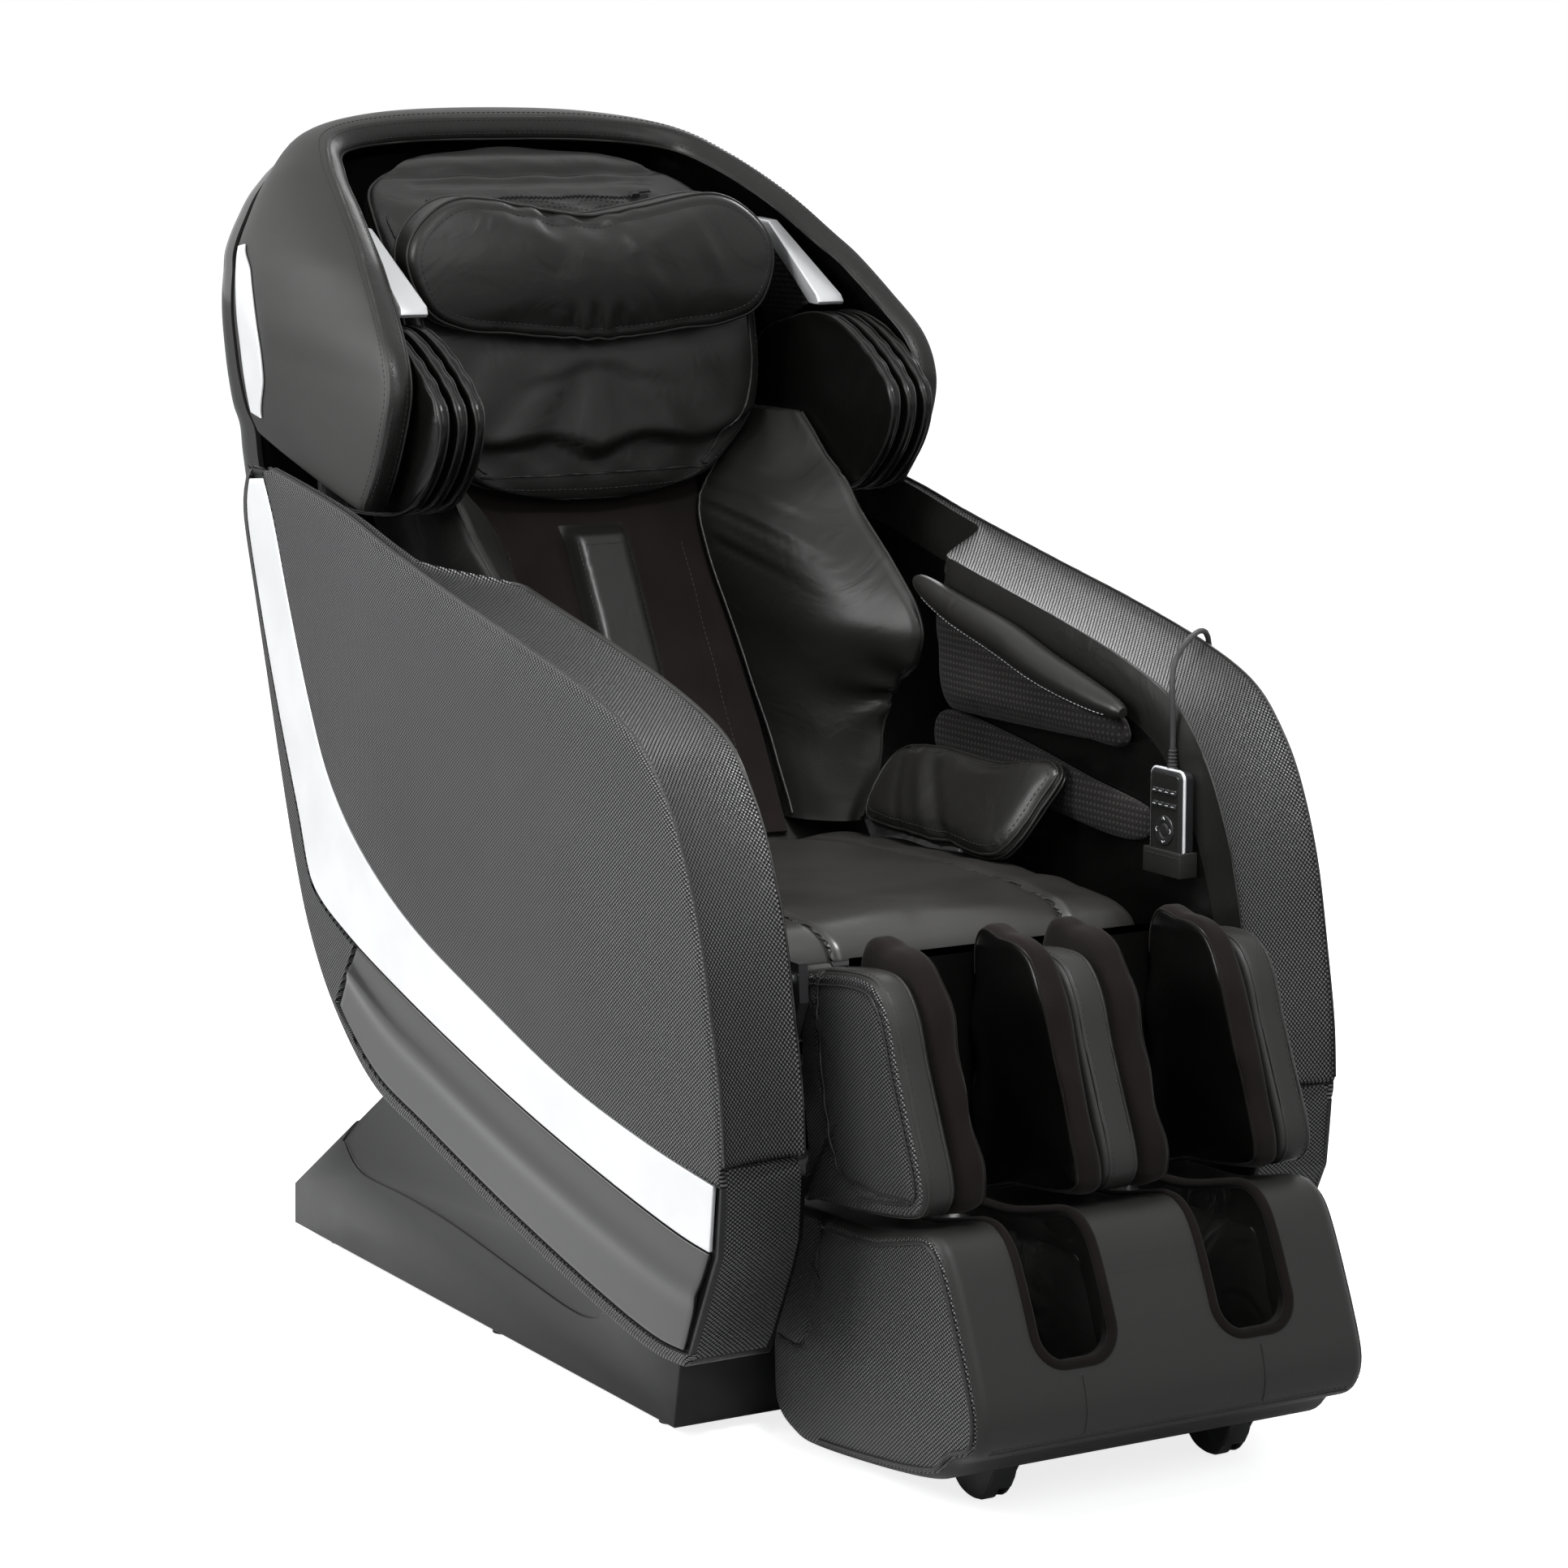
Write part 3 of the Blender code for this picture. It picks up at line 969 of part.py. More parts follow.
# ---------------------------------------------------------------- leg rest
CALF_PROFILE = [(-0.450, 0.2635), (-0.438, 0.276), (-0.437, 0.470), (-0.450, 0.487), (-0.480, 0.493),
                (-0.538, 0.500), (-0.575, 0.495), (-0.600, 0.468), (-0.618, 0.422), (-0.640, 0.372),
                (-0.660, 0.325), (-0.659, 0.300), (-0.634, 0.284), (-0.547, 0.271), (-0.490, 0.266)]
CALF_FLOOR = -0.474                      # y of the channel that the calf lies in
BLOCK_OUTER = 0.185                      # inner face of the outer blocks
BLOCK_CENTRE = 0.022                     # half width of the middle block
CALF_PAD_PROFILE = [(-0.480, 0.280), (-0.480, 0.500), (-0.530, 0.518), (-0.575, 0.508), (-0.603, 0.470),
                    (-0.622, 0.420), (-0.645, 0.365), (-0.664, 0.315), (-0.650, 0.288), (-0.560, 0.276)]
CALF_PAD_THICK = 0.032
FOOT_PROFILE = [(-0.386, 0.034), (-0.376, 0.070), (-0.376, 0.225), (-0.390, 0.246), (-0.547, 0.254),
                (-0.600, 0.264), (-0.650, 0.276), (-0.676, 0.272), (-0.697, 0.252), (-0.722, 0.203),
                (-0.751, 0.133),
                (-0.754, 0.101), (-0.742, 0.080), (-0.709, 0.066), (-0.680, 0.044), (-0.592, 0.028),
                (-0.457, 0.014), (-0.415, 0.018)]
WELL_X = 0.102
WELL_HALF = 0.046
WELL_REAR = -0.476
WELL_FRONT = -0.724
WELL_FLOOR = 0.086
NOTCH_FLOOR = 0.156
RAIL_ROD = (0.100, -0.455)               # (x, y) of the foot slide's rods
RAIL_ROD_RADIUS = 0.0075
SOLE_ROLLER = (-0.600, 0.064)            # (y, z) of the roller shaft under the soles
SOLE_SHAFT = 0.008
SOLE_ROLLER_RADIUS = 0.020
CASTER_AT = (-0.633, 0.016)
CASTER_RADIUS = 0.016
CASTER_X = 0.136
CASTER_WIDTH = 0.016


def build_calf():
    outline = smooth(CALF_PROFILE, 30, True)
    housing = pillow("calf_housing", outline, -CALF_HALF, CALF_HALF, 0.010, "leather_black")
    cutters = []
    for side in (-1.0, 1.0):
        low, high = sorted((BLOCK_CENTRE * side, BLOCK_OUTER * side))
        cutters.append(block("channel", (low, -0.720, 0.200), (high, CALF_FLOOR, 0.560)))
        start = (side * RAIL_ROD[0], RAIL_ROD[1], 0.200)
        cutters.append(rod("bore", start, (start[0], start[1], 0.470), RAIL_ROD_RADIUS + BORE_PLAY,
                           "steel_black"))
    cut(housing, cutters)
    parts = []
    for side in (-1.0, 1.0):
        parts.append(rod("pin", (side * (CALF_HALF - 0.012), *CALF_PIVOT),
                         (side * (CALF_HALF + PLAY + PLATE + 0.002), *CALF_PIVOT), PIN_RADIUS, "steel_black"))
    lever = [(CALF_PIVOT[0] - 0.004, 0.455), (CALF_PIVOT[0] - 0.004, 0.400),
             (LEG_LEVER[0] - 0.012, LEG_LEVER[1] - 0.008), (LEG_LEVER[0] + 0.010, LEG_LEVER[1] - 0.008),
             (LEG_LEVER[0] + 0.010, LEG_LEVER[1] + 0.010)]
    parts.append(prism("lever", lever, LEG_X + 0.012, LEG_X + 0.020, "steel_black"))
    union(housing, parts)
    pad_outline = smooth(CALF_PAD_PROFILE, 22, True)
    pad_outline = [Vector((min(p.x, CALF_FLOOR - GAP), p.y)) for p in pad_outline]
    places = (("right_outer", -BLOCK_OUTER + GAP, 1.0), ("right_inner", -BLOCK_CENTRE - GAP, -1.0),
              ("left_inner", BLOCK_CENTRE + GAP, 1.0), ("left_outer", BLOCK_OUTER - GAP, -1.0))
    for word, start, way in places:
        def beside(u, v, w, start=start, way=way):
            return Vector((start + way * w, u, v))

        pillow("calf_pad_" + word, pad_outline, 0.0, CALF_PAD_THICK, 0.009, "leather_black", beside,
               (0.0, 0.005), 1)


def build_foot():
    outline = smooth(FOOT_PROFILE, 30, True)
    housing = pillow("foot_housing", outline, -FOOT_HALF, FOOT_HALF, 0.014, "leather_black")
    cutters = []
    for side in (-1.0, 1.0):
        centre = side * WELL_X
        well = rounded_box(centre - WELL_HALF, centre + WELL_HALF, WELL_FRONT, WELL_REAR, 0.020)
        cutters.append(prism("well", well, WELL_FLOOR, 0.400, "leather_black", on_floor))
        notch = rounded_box(centre - WELL_HALF + 0.002, centre + WELL_HALF - 0.002, NOTCH_FLOOR, 0.420,
                            0.030, 4)
        cutters.append(prism("notch", notch, -0.800, WELL_FRONT + 0.040, "leather_black", on_front))
    y, z = SOLE_ROLLER
    reach = SOLE_ROLLER_RADIUS + 0.004
    cutters.append(block("roller_slot", (-0.172, y - reach, z - SOLE_ROLLER_RADIUS - 0.003),
                         (0.172, y + reach, WELL_FLOOR + 0.0005)))
    cutters.append(rod("bore", (-0.186, y, z), (0.186, y, z), SOLE_SHAFT + BORE_PLAY, "leather_black"))
    cut(housing, cutters)
    parts = []
    for side in (-1.0, 1.0):
        x = side * RAIL_ROD[0]
        parts.append(rod("rail", (x, RAIL_ROD[1], 0.220), (x, RAIL_ROD[1], 0.460), RAIL_ROD_RADIUS,
                         "steel_bright"))
    union(housing, parts)
    cheeks = []
    for side in (-1.0, 1.0):
        for edge in (-1.0, 1.0):
            near = CASTER_X + edge * (0.5 * CASTER_WIDTH + PLAY)
            far = near + edge * 0.005
            low, high = sorted((near * side, far * side))
            cheek = [(-0.672, 0.052), (-0.590, 0.040), (-0.612, 0.008), (-0.640, 0.004), (-0.655, 0.012)]
            cheeks.append(prism("cheek", cheek, low, high, "leather_black"))
        low, high = sorted((side * (CASTER_X - 0.5 * CASTER_WIDTH - 0.005),
                            side * (CASTER_X + 0.5 * CASTER_WIDTH + 0.005)))
        cheeks.append(rod("axle", (low, *CASTER_AT), (high, *CASTER_AT), 0.0035, "leather_black", 12))
    gaps = []
    for side in (-1.0, 1.0):
        low, high = sorted((side * (CASTER_X - 0.5 * CASTER_WIDTH - PLAY),
                            side * (CASTER_X + 0.5 * CASTER_WIDTH + PLAY)))
        gaps.append(rod("arch", (low, *CASTER_AT), (high, *CASTER_AT), CASTER_RADIUS + 0.003,
                        "leather_black", 24))
    cut(housing, gaps)
    union(housing, cheeks)

    shaft = rod("foot_roller_shaft", (-0.184, *SOLE_ROLLER), (0.184, *SOLE_ROLLER), SOLE_SHAFT,
                "rubber_black", 16)
    rollers = []
    for side in (-1.0, 1.0):
        centre = side * 0.102
        rollers.append(pillow("roller", circle(SOLE_ROLLER, SOLE_ROLLER_RADIUS, 16), centre - 0.036,
                              centre + 0.036, 0.005, "rubber_black", steps=1))
    union(shaft, rollers)
    for word, side in SIDES:
        low, high = sorted((side * (CASTER_X - 0.5 * CASTER_WIDTH), side * (CASTER_X + 0.5 * CASTER_WIDTH)))
        caster = pillow("foot_caster_" + word, circle(CASTER_AT, CASTER_RADIUS, 20), low, high, 0.002,
                        "rubber_black", steps=1)
        cut(caster, [rod("bore", (low - 0.01, *CASTER_AT), (high + 0.01, *CASTER_AT), 0.0035 + BORE_PLAY,
                         "rubber_black", 12)])


# ---------------------------------------------------------------- actuators
RECLINE_FOOT = (-0.120, 0.325)
LEG_FOOT = (-0.030, 0.300)
LEG_LEVER = (-0.405, 0.375)
TILT_FOOT = (-0.240, 0.052)
TILT_HEAD = (-0.200, 0.338)


def build_actuator(name, x, foot, head, body_length, room=0.0):
    """A tube and its stem; room is how far the stem still has to draw in."""
    foot, head = Vector((x, *foot)), Vector((x, *head))
    axis = (head - foot).normalized()
    tube = rod(name + "_body", foot, foot + axis * body_length, 0.016, "motor_grey", 14)
    cut(tube, [rod("bore", foot + axis * 0.030, foot + axis * (body_length + 0.01), 0.009 + BORE_PLAY,
                   "motor_grey")])
    eye = (x - 0.0215, x - 0.004)
    union(tube, [rod("eye", (eye[0], foot.y, foot.z), (eye[1], foot.y, foot.z), 0.010, "motor_grey")])
    stem = rod(name + "_rod", foot + axis * (0.035 + room), head, 0.009, "steel_bright")
    union(stem, [rod("eye", (x - 0.0085, head.y, head.z), (x + 0.0085, head.y, head.z), 0.0105,
                     "steel_bright")])


def build_actuators():
    build_actuator("recline_actuator", RECLINE_X, RECLINE_FOOT,
                   (BACK_PIVOT[0], BACK_PIVOT[1] - LEVER_LENGTH + 0.008), 0.230, 0.042)
    build_actuator("leg_actuator", LEG_X, LEG_FOOT, LEG_LEVER, 0.220)
    build_actuator("tilt_actuator", TILT_X, TILT_FOOT, TILT_HEAD, 0.190)


# ---------------------------------------------------------------- handset, pocket and cord
HANDSET_PLAY = 0.0015                    # between the handset and the arm's wall
HANDSET_DEPTH = 0.017
HANDSET_X = (ARM_INNER_HALF - HANDSET_PLAY - HANDSET_DEPTH, ARM_INNER_HALF - HANDSET_PLAY)
HANDSET_Y = (-0.406, -0.350)
HANDSET_Z = (0.530, 0.634)
KEY_TRAVEL = 0.0010
POCKET_WALL = 0.004
RELIEF_LENGTH = 0.022
CORD_RADIUS = 0.003
GLAND_AT = (-0.040, 0.282)
CORD_ROUTE = [(0.2520, -0.378, 0.6563), (0.2520, -0.378, 0.680), (0.2515, -0.377, 0.705),
              (0.2545, -0.372, 0.728), (0.266, -0.362, 0.744), (0.286, -0.346, 0.754),
              (0.312, -0.324, 0.760), (0.338, -0.302, 0.762), (0.359, -0.284, 0.757),
              (0.3735, -0.270, 0.742), (0.3785, -0.262, 0.718), (0.3782, -0.252, 0.680),
              (0.3795, -0.232, 0.620), (0.3810, -0.196, 0.550), (0.3823, -0.150, 0.480),
              (0.3828, -0.100, 0.415), (0.3820, -0.062, 0.365), (0.3800, -0.043, 0.330),
              (0.3795, -0.040, 0.3003)]


def build_handset():
    x0, x1 = HANDSET_X
    y0, y1 = HANDSET_Y
    z0, z1 = HANDSET_Z
    middle = 0.5 * (y0 + y1)
    body = pillow("handset_body", rounded_box(y0, y1, z0, z1, 0.007), x0, x1, 0.003, "plastic_black")
    rows = (("upper", z1 - 0.022), ("lower", z1 - 0.036))
    key_half = (0.021, 0.0042)
    cutters = []
    for _, z in rows:
        cutters.append(block("slot", (x0 - 0.01, middle - key_half[0], z - key_half[1]),
                             (x0 + 0.0055, middle + key_half[0], z + key_half[1])))
    pad_centre = (middle, z1 - 0.062)
    cutters.append(rod("slot", (x0 - 0.01, *pad_centre), (x0 + 0.0055, *pad_centre), 0.0165,
                       "plastic_black", 28))
    cut(body, cutters)
    relief = Vector((0.5 * (x0 + x1), middle))
    rings = []
    for height, radius in ((-0.003, 0.0055), (0.004, 0.0055), (0.006, 0.0045), (0.009, 0.0052),
                           (0.011, 0.0043), (0.014, 0.0048), (0.016, 0.0040), (0.019, 0.0044),
                           (RELIEF_LENGTH, 0.0038)):
        rings.append([Vector((relief.x + radius * math.cos(2 * math.pi * i / 12),
                              relief.y + radius * math.sin(2 * math.pi * i / 12), z1 + height))
                      for i in range(12)])
    union(body, [loft("relief", rings, "plastic_black", 60)])
    for word, z in rows:
        keys = rounded_box(middle - key_half[0] + GAP, middle + key_half[0] - GAP,
                           z - key_half[1] + GAP, z + key_half[1] - GAP, 0.001, 2)
        pillow("key_row_" + word, keys, x0 - 0.0012, x0 + 0.0042, 0.0006, "key_grey", steps=1)
    pillow("direction_pad", circle(pad_centre, 0.0165 - GAP - 0.0002, 28), x0 - 0.0014, x0 + 0.0042, 0.0008,
           "key_grey", steps=1)

    wall = POCKET_WALL
    pocket = block("remote_pocket", (x0 - GAP - wall, y0 - GAP - wall, z0 - GAP - wall),
                   (ARM_INNER_HALF - GAP, y1 + GAP + wall, z0 + 0.022), "leather_black")
    cut(pocket, [block("room", (x0 - GAP, y0 - GAP, z0 - GAP), (ARM_INNER_HALF + 0.01, y1 + GAP, z0 + 0.05))])

    curve = bpy.data.curves.new("handset_cord", "CURVE")
    curve.dimensions = "3D"
    curve.bevel_depth = CORD_RADIUS
    curve.bevel_resolution = 2
    curve.use_fill_caps = True
    route = smooth(CORD_ROUTE, 56)
    line = curve.splines.new("POLY")
    line.points.add(len(route) - 1)
    for point, place in zip(line.points, route):
        point.co = (*place, 1.0)
    curve.materials.append(material("rubber_black"))
    cord = bpy.data.objects.new("handset_cord", curve)
    bpy.context.collection.objects.link(cord)
    end = CORD_ROUTE[-1]
    gland = rounded_box(GLAND_AT[0] - 0.014, GLAND_AT[0] + 0.014, GLAND_AT[1] - 0.020, end[2] - GAP, 0.004, 2)
    wall_x = max(arm_half(GLAND_AT[0] + dy, GLAND_AT[1] + dz)
                 for dy in (-0.014, 0.014) for dz in (-0.02, 0.018))
    pillow("cord_gland", gland, wall_x + 0.0002, wall_x + 0.0130, 0.003, "plastic_black")


def main():
    clear_scene()
    build_base()
    build_seat_frame()
    build_arms()
    build_side_pads()
    build_seat_cushion()
    build_back_frame()
    build_shell()
    cover_body("back_cover", COVER_WALL)
    build_back_soft()
    build_mechanism()
    build_calf()
    build_foot()
    build_actuators()
    build_handset()


main()
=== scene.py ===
"""Massage chair: the looks of its pieces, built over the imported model, with studio light and a camera.

Everything is in metres, +Z up, with the sitter facing -Y and the sitter's left at +X.
"""

import math

import bmesh
import bpy
import numpy as np
from bpy.props import FloatProperty, FloatVectorProperty, PointerProperty
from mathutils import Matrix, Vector
from mathutils.bvhtree import BVHTree
from mathutils.kdtree import KDTree


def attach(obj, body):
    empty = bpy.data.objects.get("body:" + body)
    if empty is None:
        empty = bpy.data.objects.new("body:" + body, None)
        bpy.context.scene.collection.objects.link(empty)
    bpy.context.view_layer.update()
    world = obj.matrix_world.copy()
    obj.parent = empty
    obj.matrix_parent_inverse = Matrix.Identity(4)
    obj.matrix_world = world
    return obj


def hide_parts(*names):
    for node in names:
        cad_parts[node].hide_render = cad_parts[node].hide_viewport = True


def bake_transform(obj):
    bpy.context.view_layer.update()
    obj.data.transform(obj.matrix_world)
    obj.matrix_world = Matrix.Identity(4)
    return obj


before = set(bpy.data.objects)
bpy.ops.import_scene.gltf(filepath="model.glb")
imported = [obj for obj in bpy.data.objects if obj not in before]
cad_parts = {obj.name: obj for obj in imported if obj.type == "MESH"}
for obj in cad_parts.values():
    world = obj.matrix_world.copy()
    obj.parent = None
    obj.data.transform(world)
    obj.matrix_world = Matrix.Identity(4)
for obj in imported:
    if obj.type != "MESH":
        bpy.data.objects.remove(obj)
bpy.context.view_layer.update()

bl_info = {
    "name": "Massage chair",
    "version": (1, 0, 0),
    "blender": (4, 5, 0),
    "location": "View3D > Sidebar > Chair",
    "description": "Builds the upholstery, trim and finishes of a massage chair over its frame",
    "category": "Object",
}

SIDES = (("right", -1.0), ("left", 1.0))  # the sitter's right is -X

# ---------------------------------------------------------------- sizes shared with the frame
TRIM_RECESS = 0.006
TRIM_MARGIN = 0.012
ARM_SEAM_HALF = 0.358
ARM_BULGE = 0.020
ARM_INNER_HALF = 0.262
ARM_SKIRT_HALF = 0.306
ARM_REAR_HALF = 0.3475
BAND_RISE = 0.010
LOWER_FROM = 0.44
STEP_V = 0.035
BORDER_V = 0.12
ARM_TOP = [(0.500, 0.8995), (0.400, 0.885), (0.284, 0.865), (0.175, 0.839), (0.011, 0.804),
           (-0.148, 0.772), (-0.276, 0.742), (-0.363, 0.711), (-0.412, 0.670), (-0.447, 0.621),
           (-0.479, 0.546), (-0.501, 0.454), (-0.515, 0.385), (-0.520, 0.322)]
STRIPE_TOP = [(0.512, 0.8995), (0.476, 0.845), (0.431, 0.760), (0.372, 0.659), (0.312, 0.578),
              (0.223, 0.512), (0.100, 0.454), (-0.067, 0.402), (-0.232, 0.354), (-0.384, 0.324),
              (-0.520, 0.305)]
STRIPE_BOTTOM = [(0.538, 0.898), (0.551, 0.868), (0.548, 0.830), (0.509, 0.733), (0.459, 0.630),
                 (0.405, 0.529), (0.376, 0.465), (0.341, 0.439), (0.273, 0.415), (0.187, 0.390),
                 (0.012, 0.344), (-0.145, 0.305), (-0.305, 0.270), (-0.439, 0.245), (-0.513, 0.237)]
ARM_BOTTOM = [(0.553, 0.893), (0.566, 0.862), (0.560, 0.825), (0.529, 0.745), (0.470, 0.592),
              (0.420, 0.471), (0.380, 0.395), (0.319, 0.324), (0.222, 0.257), (0.100, 0.224),
              (-0.087, 0.174), (-0.263, 0.133), (-0.380, 0.113), (-0.452, 0.114)]
ARM_PAD_OUTLINE = [(0.050, 0.768), (-0.090, 0.736), (-0.200, 0.710), (-0.280, 0.684), (-0.300, 0.662),
                   (-0.285, 0.645), (-0.150, 0.640), (-0.010, 0.640), (0.045, 0.650), (0.062, 0.700)]
HIP_WING_FOOT = (0.172, 0.5168)
HIP_WING_LEAN = math.radians(32.0)
HIP_WING_OUTLINE = [(-0.165, 0.004), (-0.060, 0.000), (0.060, 0.000), (0.112, 0.012), (0.122, 0.060),
                    (0.100, 0.098), (0.020, 0.112), (-0.080, 0.110), (-0.165, 0.122), (-0.198, 0.112),
                    (-0.196, 0.080)]

SHELL_RIM = [(0.343, 0.285, 0.870), (0.344, 0.250, 0.912), (0.344, 0.222, 0.965), (0.341, 0.216, 1.005),
             (0.336, 0.236, 1.045), (0.324, 0.282, 1.086), (0.312, 0.334, 1.126), (0.302, 0.371, 1.150),
             (0.284, 0.450, 1.196), (0.259, 0.539, 1.238), (0.220, 0.607, 1.267), (0.130, 0.634, 1.280),
             (0.0, 0.640, 1.283)]
SHELL_REAR = [(0.330, 0.590, 0.936), (0.332, 0.610, 0.960), (0.333, 0.626, 0.995), (0.334, 0.634, 1.030),
              (0.334, 0.640, 1.060), (0.333, 0.642, 1.085), (0.330, 0.644, 1.110), (0.325, 0.647, 1.135),
              (0.308, 0.655, 1.168), (0.280, 0.672, 1.203), (0.230, 0.698, 1.237), (0.130, 0.728, 1.261),
              (0.0, 0.738, 1.268)]
SHELL_CROWN = 0.016
SHELL_LOW_CROWN = (0.20, 0.25, 0.30, 0.40, 0.60, 0.80)
SHELL_WALL = 0.028
SHELL_RIM_DEPTH = 0.027
COVER_BACK = [(0.420, 0.478), (0.520, 0.580), (0.620, 0.645), (0.720, 0.688), (0.820, 0.718),
              (0.900, 0.737), (0.950, 0.745), (1.000, 0.750), (1.060, 0.754), (1.110, 0.754),
              (1.160, 0.753), (1.200, 0.752), (1.235, 0.749), (1.261, 0.747)]
COVER_SIDE_LOW = [(0.420, 0.300, 0.425), (0.520, 0.310, 0.455), (0.620, 0.318, 0.490),
                  (0.720, 0.324, 0.525), (0.820, 0.328, 0.558), (0.900, 0.330, 0.582)]
COVER_WALL = 0.006

TRACK_FOOT = (0.222, 0.490)
TRACK_LEAN = math.radians(29.0)
LINING_LENGTH = 0.560
LINING_HALF = 0.152
LINING_THICK = 0.006
STRIP_HALF = 0.042
STRIP_THICK = 0.022
NECK_ROWS = [(0.406, 0.859, 0.060, 0.016), (0.402, 0.867, 0.110, 0.026), (0.399, 0.880, 0.148, 0.0365),
             (0.398, 0.905, 0.178, 0.0515), (0.397, 0.945, 0.211, 0.075), (0.398, 0.985, 0.222, 0.094),
             (0.402, 1.030, 0.224, 0.105), (0.428, 1.100, 0.228, 0.095), (0.478, 1.160, 0.226, 0.075),
             (0.528, 1.196, 0.214, 0.048), (0.560, 1.214, 0.194, 0.036), (0.590, 1.228, 0.152, 0.022),
             (0.612, 1.237, 0.100, 0.012), (0.624, 1.242, 0.050, 0.008)]  # y, z, half width, thickness
PILLOW_HALF_OUTLINE = [(0.000, 1.176), (0.063, 1.184), (0.157, 1.197), (0.210, 1.172), (0.232, 1.130),
                       (0.214, 1.078), (0.175, 1.055), (0.100, 1.046), (0.000, 1.038)]
PILLOW_FRONT = (0.372, 0.13)
PILLOW_CROWN = 0.016
WING_ROWS = [  # z, inner x and y, tip x and y
    (0.504, 0.156, 0.222, 0.214, 0.168), (0.560, 0.156, 0.252, 0.230, 0.158),
    (0.640, 0.150, 0.296, 0.240, 0.150), (0.695, 0.145, 0.326, 0.243, 0.096),
    (0.735, 0.141, 0.348, 0.243, 0.090), (0.790, 0.136, 0.379, 0.243, 0.148),
    (0.845, 0.140, 0.408, 0.243, 0.220), (0.885, 0.168, 0.424, 0.243, 0.265),
    (0.925, 0.208, 0.436, 0.243, 0.318), (0.950, 0.228, 0.442, 0.243, 0.352)]
WING_OUTER = 0.2485
WING_DEPTH = 0.036
AIRBAG_SIDE = [(0.470, 1.020), (0.380, 1.058), (0.300, 1.062), (0.225, 1.030), (0.170, 0.985),
               (0.172, 0.940), (0.215, 0.890), (0.290, 0.862), (0.450, 0.862), (0.480, 0.900)]
AIRBAG_LEAVES = ((0.2915, 0.3075), (0.2705, 0.2865), (0.2495, 0.2655))
SPEAKER_FRONT = [(0.482, 1.1672), (0.440, 1.1640), (0.318, 1.0840), (0.3135, 1.0760), (0.318, 1.0725),
                 (0.371, 1.0715), (0.404, 1.1040), (0.458, 1.1520)]
SPEAKER_REAR = [(0.480, 1.162), (0.457, 1.149), (0.376, 1.0715), (0.394, 1.0660), (0.436, 1.0480),
                (0.486, 1.0400), (0.500, 1.0800)]

SEAT_TOP = 0.500
SEAT_BOTTOM = 0.405
SEAT_FRONT = -0.372
SEAT_REAR = 0.196
SEAT_HALF = 0.240
SEAT_SEAM_X = 0.131
CALF_HALF = 0.225
CALF_PIVOT = (-0.440, 0.478)
CALF_PROFILE = [(-0.450, 0.2635), (-0.438, 0.276), (-0.437, 0.470), (-0.450, 0.487), (-0.480, 0.493),
                (-0.538, 0.500), (-0.575, 0.495), (-0.600, 0.468), (-0.618, 0.422), (-0.640, 0.372),
                (-0.660, 0.325), (-0.659, 0.300), (-0.634, 0.284), (-0.547, 0.271), (-0.490, 0.266)]
CALF_FLOOR = -0.474
BLOCK_OUTER = 0.185
BLOCK_CENTRE = 0.022
CALF_PAD_PROFILE = [(-0.480, 0.280), (-0.480, 0.500), (-0.530, 0.518), (-0.575, 0.508), (-0.603, 0.470),
                    (-0.622, 0.420), (-0.645, 0.365), (-0.664, 0.315), (-0.650, 0.288), (-0.560, 0.276)]
CALF_PAD_THICK = 0.032
FOOT_HALF = 0.222
FOOT_PROFILE = [(-0.386, 0.034), (-0.376, 0.070), (-0.376, 0.225), (-0.390, 0.246), (-0.547, 0.254),
                (-0.600, 0.264), (-0.650, 0.276), (-0.676, 0.272), (-0.697, 0.252), (-0.722, 0.203),
                (-0.751, 0.133), (-0.754, 0.101), (-0.742, 0.080), (-0.709, 0.066), (-0.680, 0.044),
                (-0.592, 0.028), (-0.457, 0.014), (-0.415, 0.018)]
WELL_X = 0.102
WELL_HALF = 0.046
WELL_REAR = -0.476
WELL_FRONT = -0.724
WELL_FLOOR = 0.086
NOTCH_FLOOR = 0.156
SOLE_ROLLER = (-0.600, 0.064)
CASTER_AT = (-0.633, 0.016)
CASTER_X = 0.136
BASE_HALF = 0.300

HANDSET_X = (0.2435, 0.2605)
HANDSET_Y = (-0.406, -0.350)
HANDSET_Z = (0.530, 0.634)
CORD_RADIUS = 0.003
CORD_ROUTE = [(0.2520, -0.378, 0.6563), (0.2520, -0.378, 0.680), (0.2515, -0.377, 0.705),
              (0.2545, -0.372, 0.728), (0.266, -0.362, 0.744), (0.286, -0.346, 0.754),
              (0.312, -0.324, 0.760), (0.338, -0.302, 0.762), (0.359, -0.284, 0.757),
              (0.3735, -0.270, 0.742), (0.3785, -0.262, 0.718), (0.3782, -0.252, 0.680),
              (0.3795, -0.232, 0.620), (0.3810, -0.196, 0.550), (0.3823, -0.150, 0.480),
              (0.3828, -0.100, 0.415), (0.3820, -0.062, 0.365), (0.3800, -0.043, 0.330),
              (0.3795, -0.040, 0.3003)]


# ---------------------------------------------------------------- choices a user may change
def colour_choice(name, description, default):
    return FloatVectorProperty(name=name, description=description, subtype="COLOR", default=default, min=0.0,
                               max=1.0)


def length_choice(name, description, default, low, high):
    return FloatProperty(name=name, description=description, unit="LENGTH", default=default, min=low,
                         max=high)


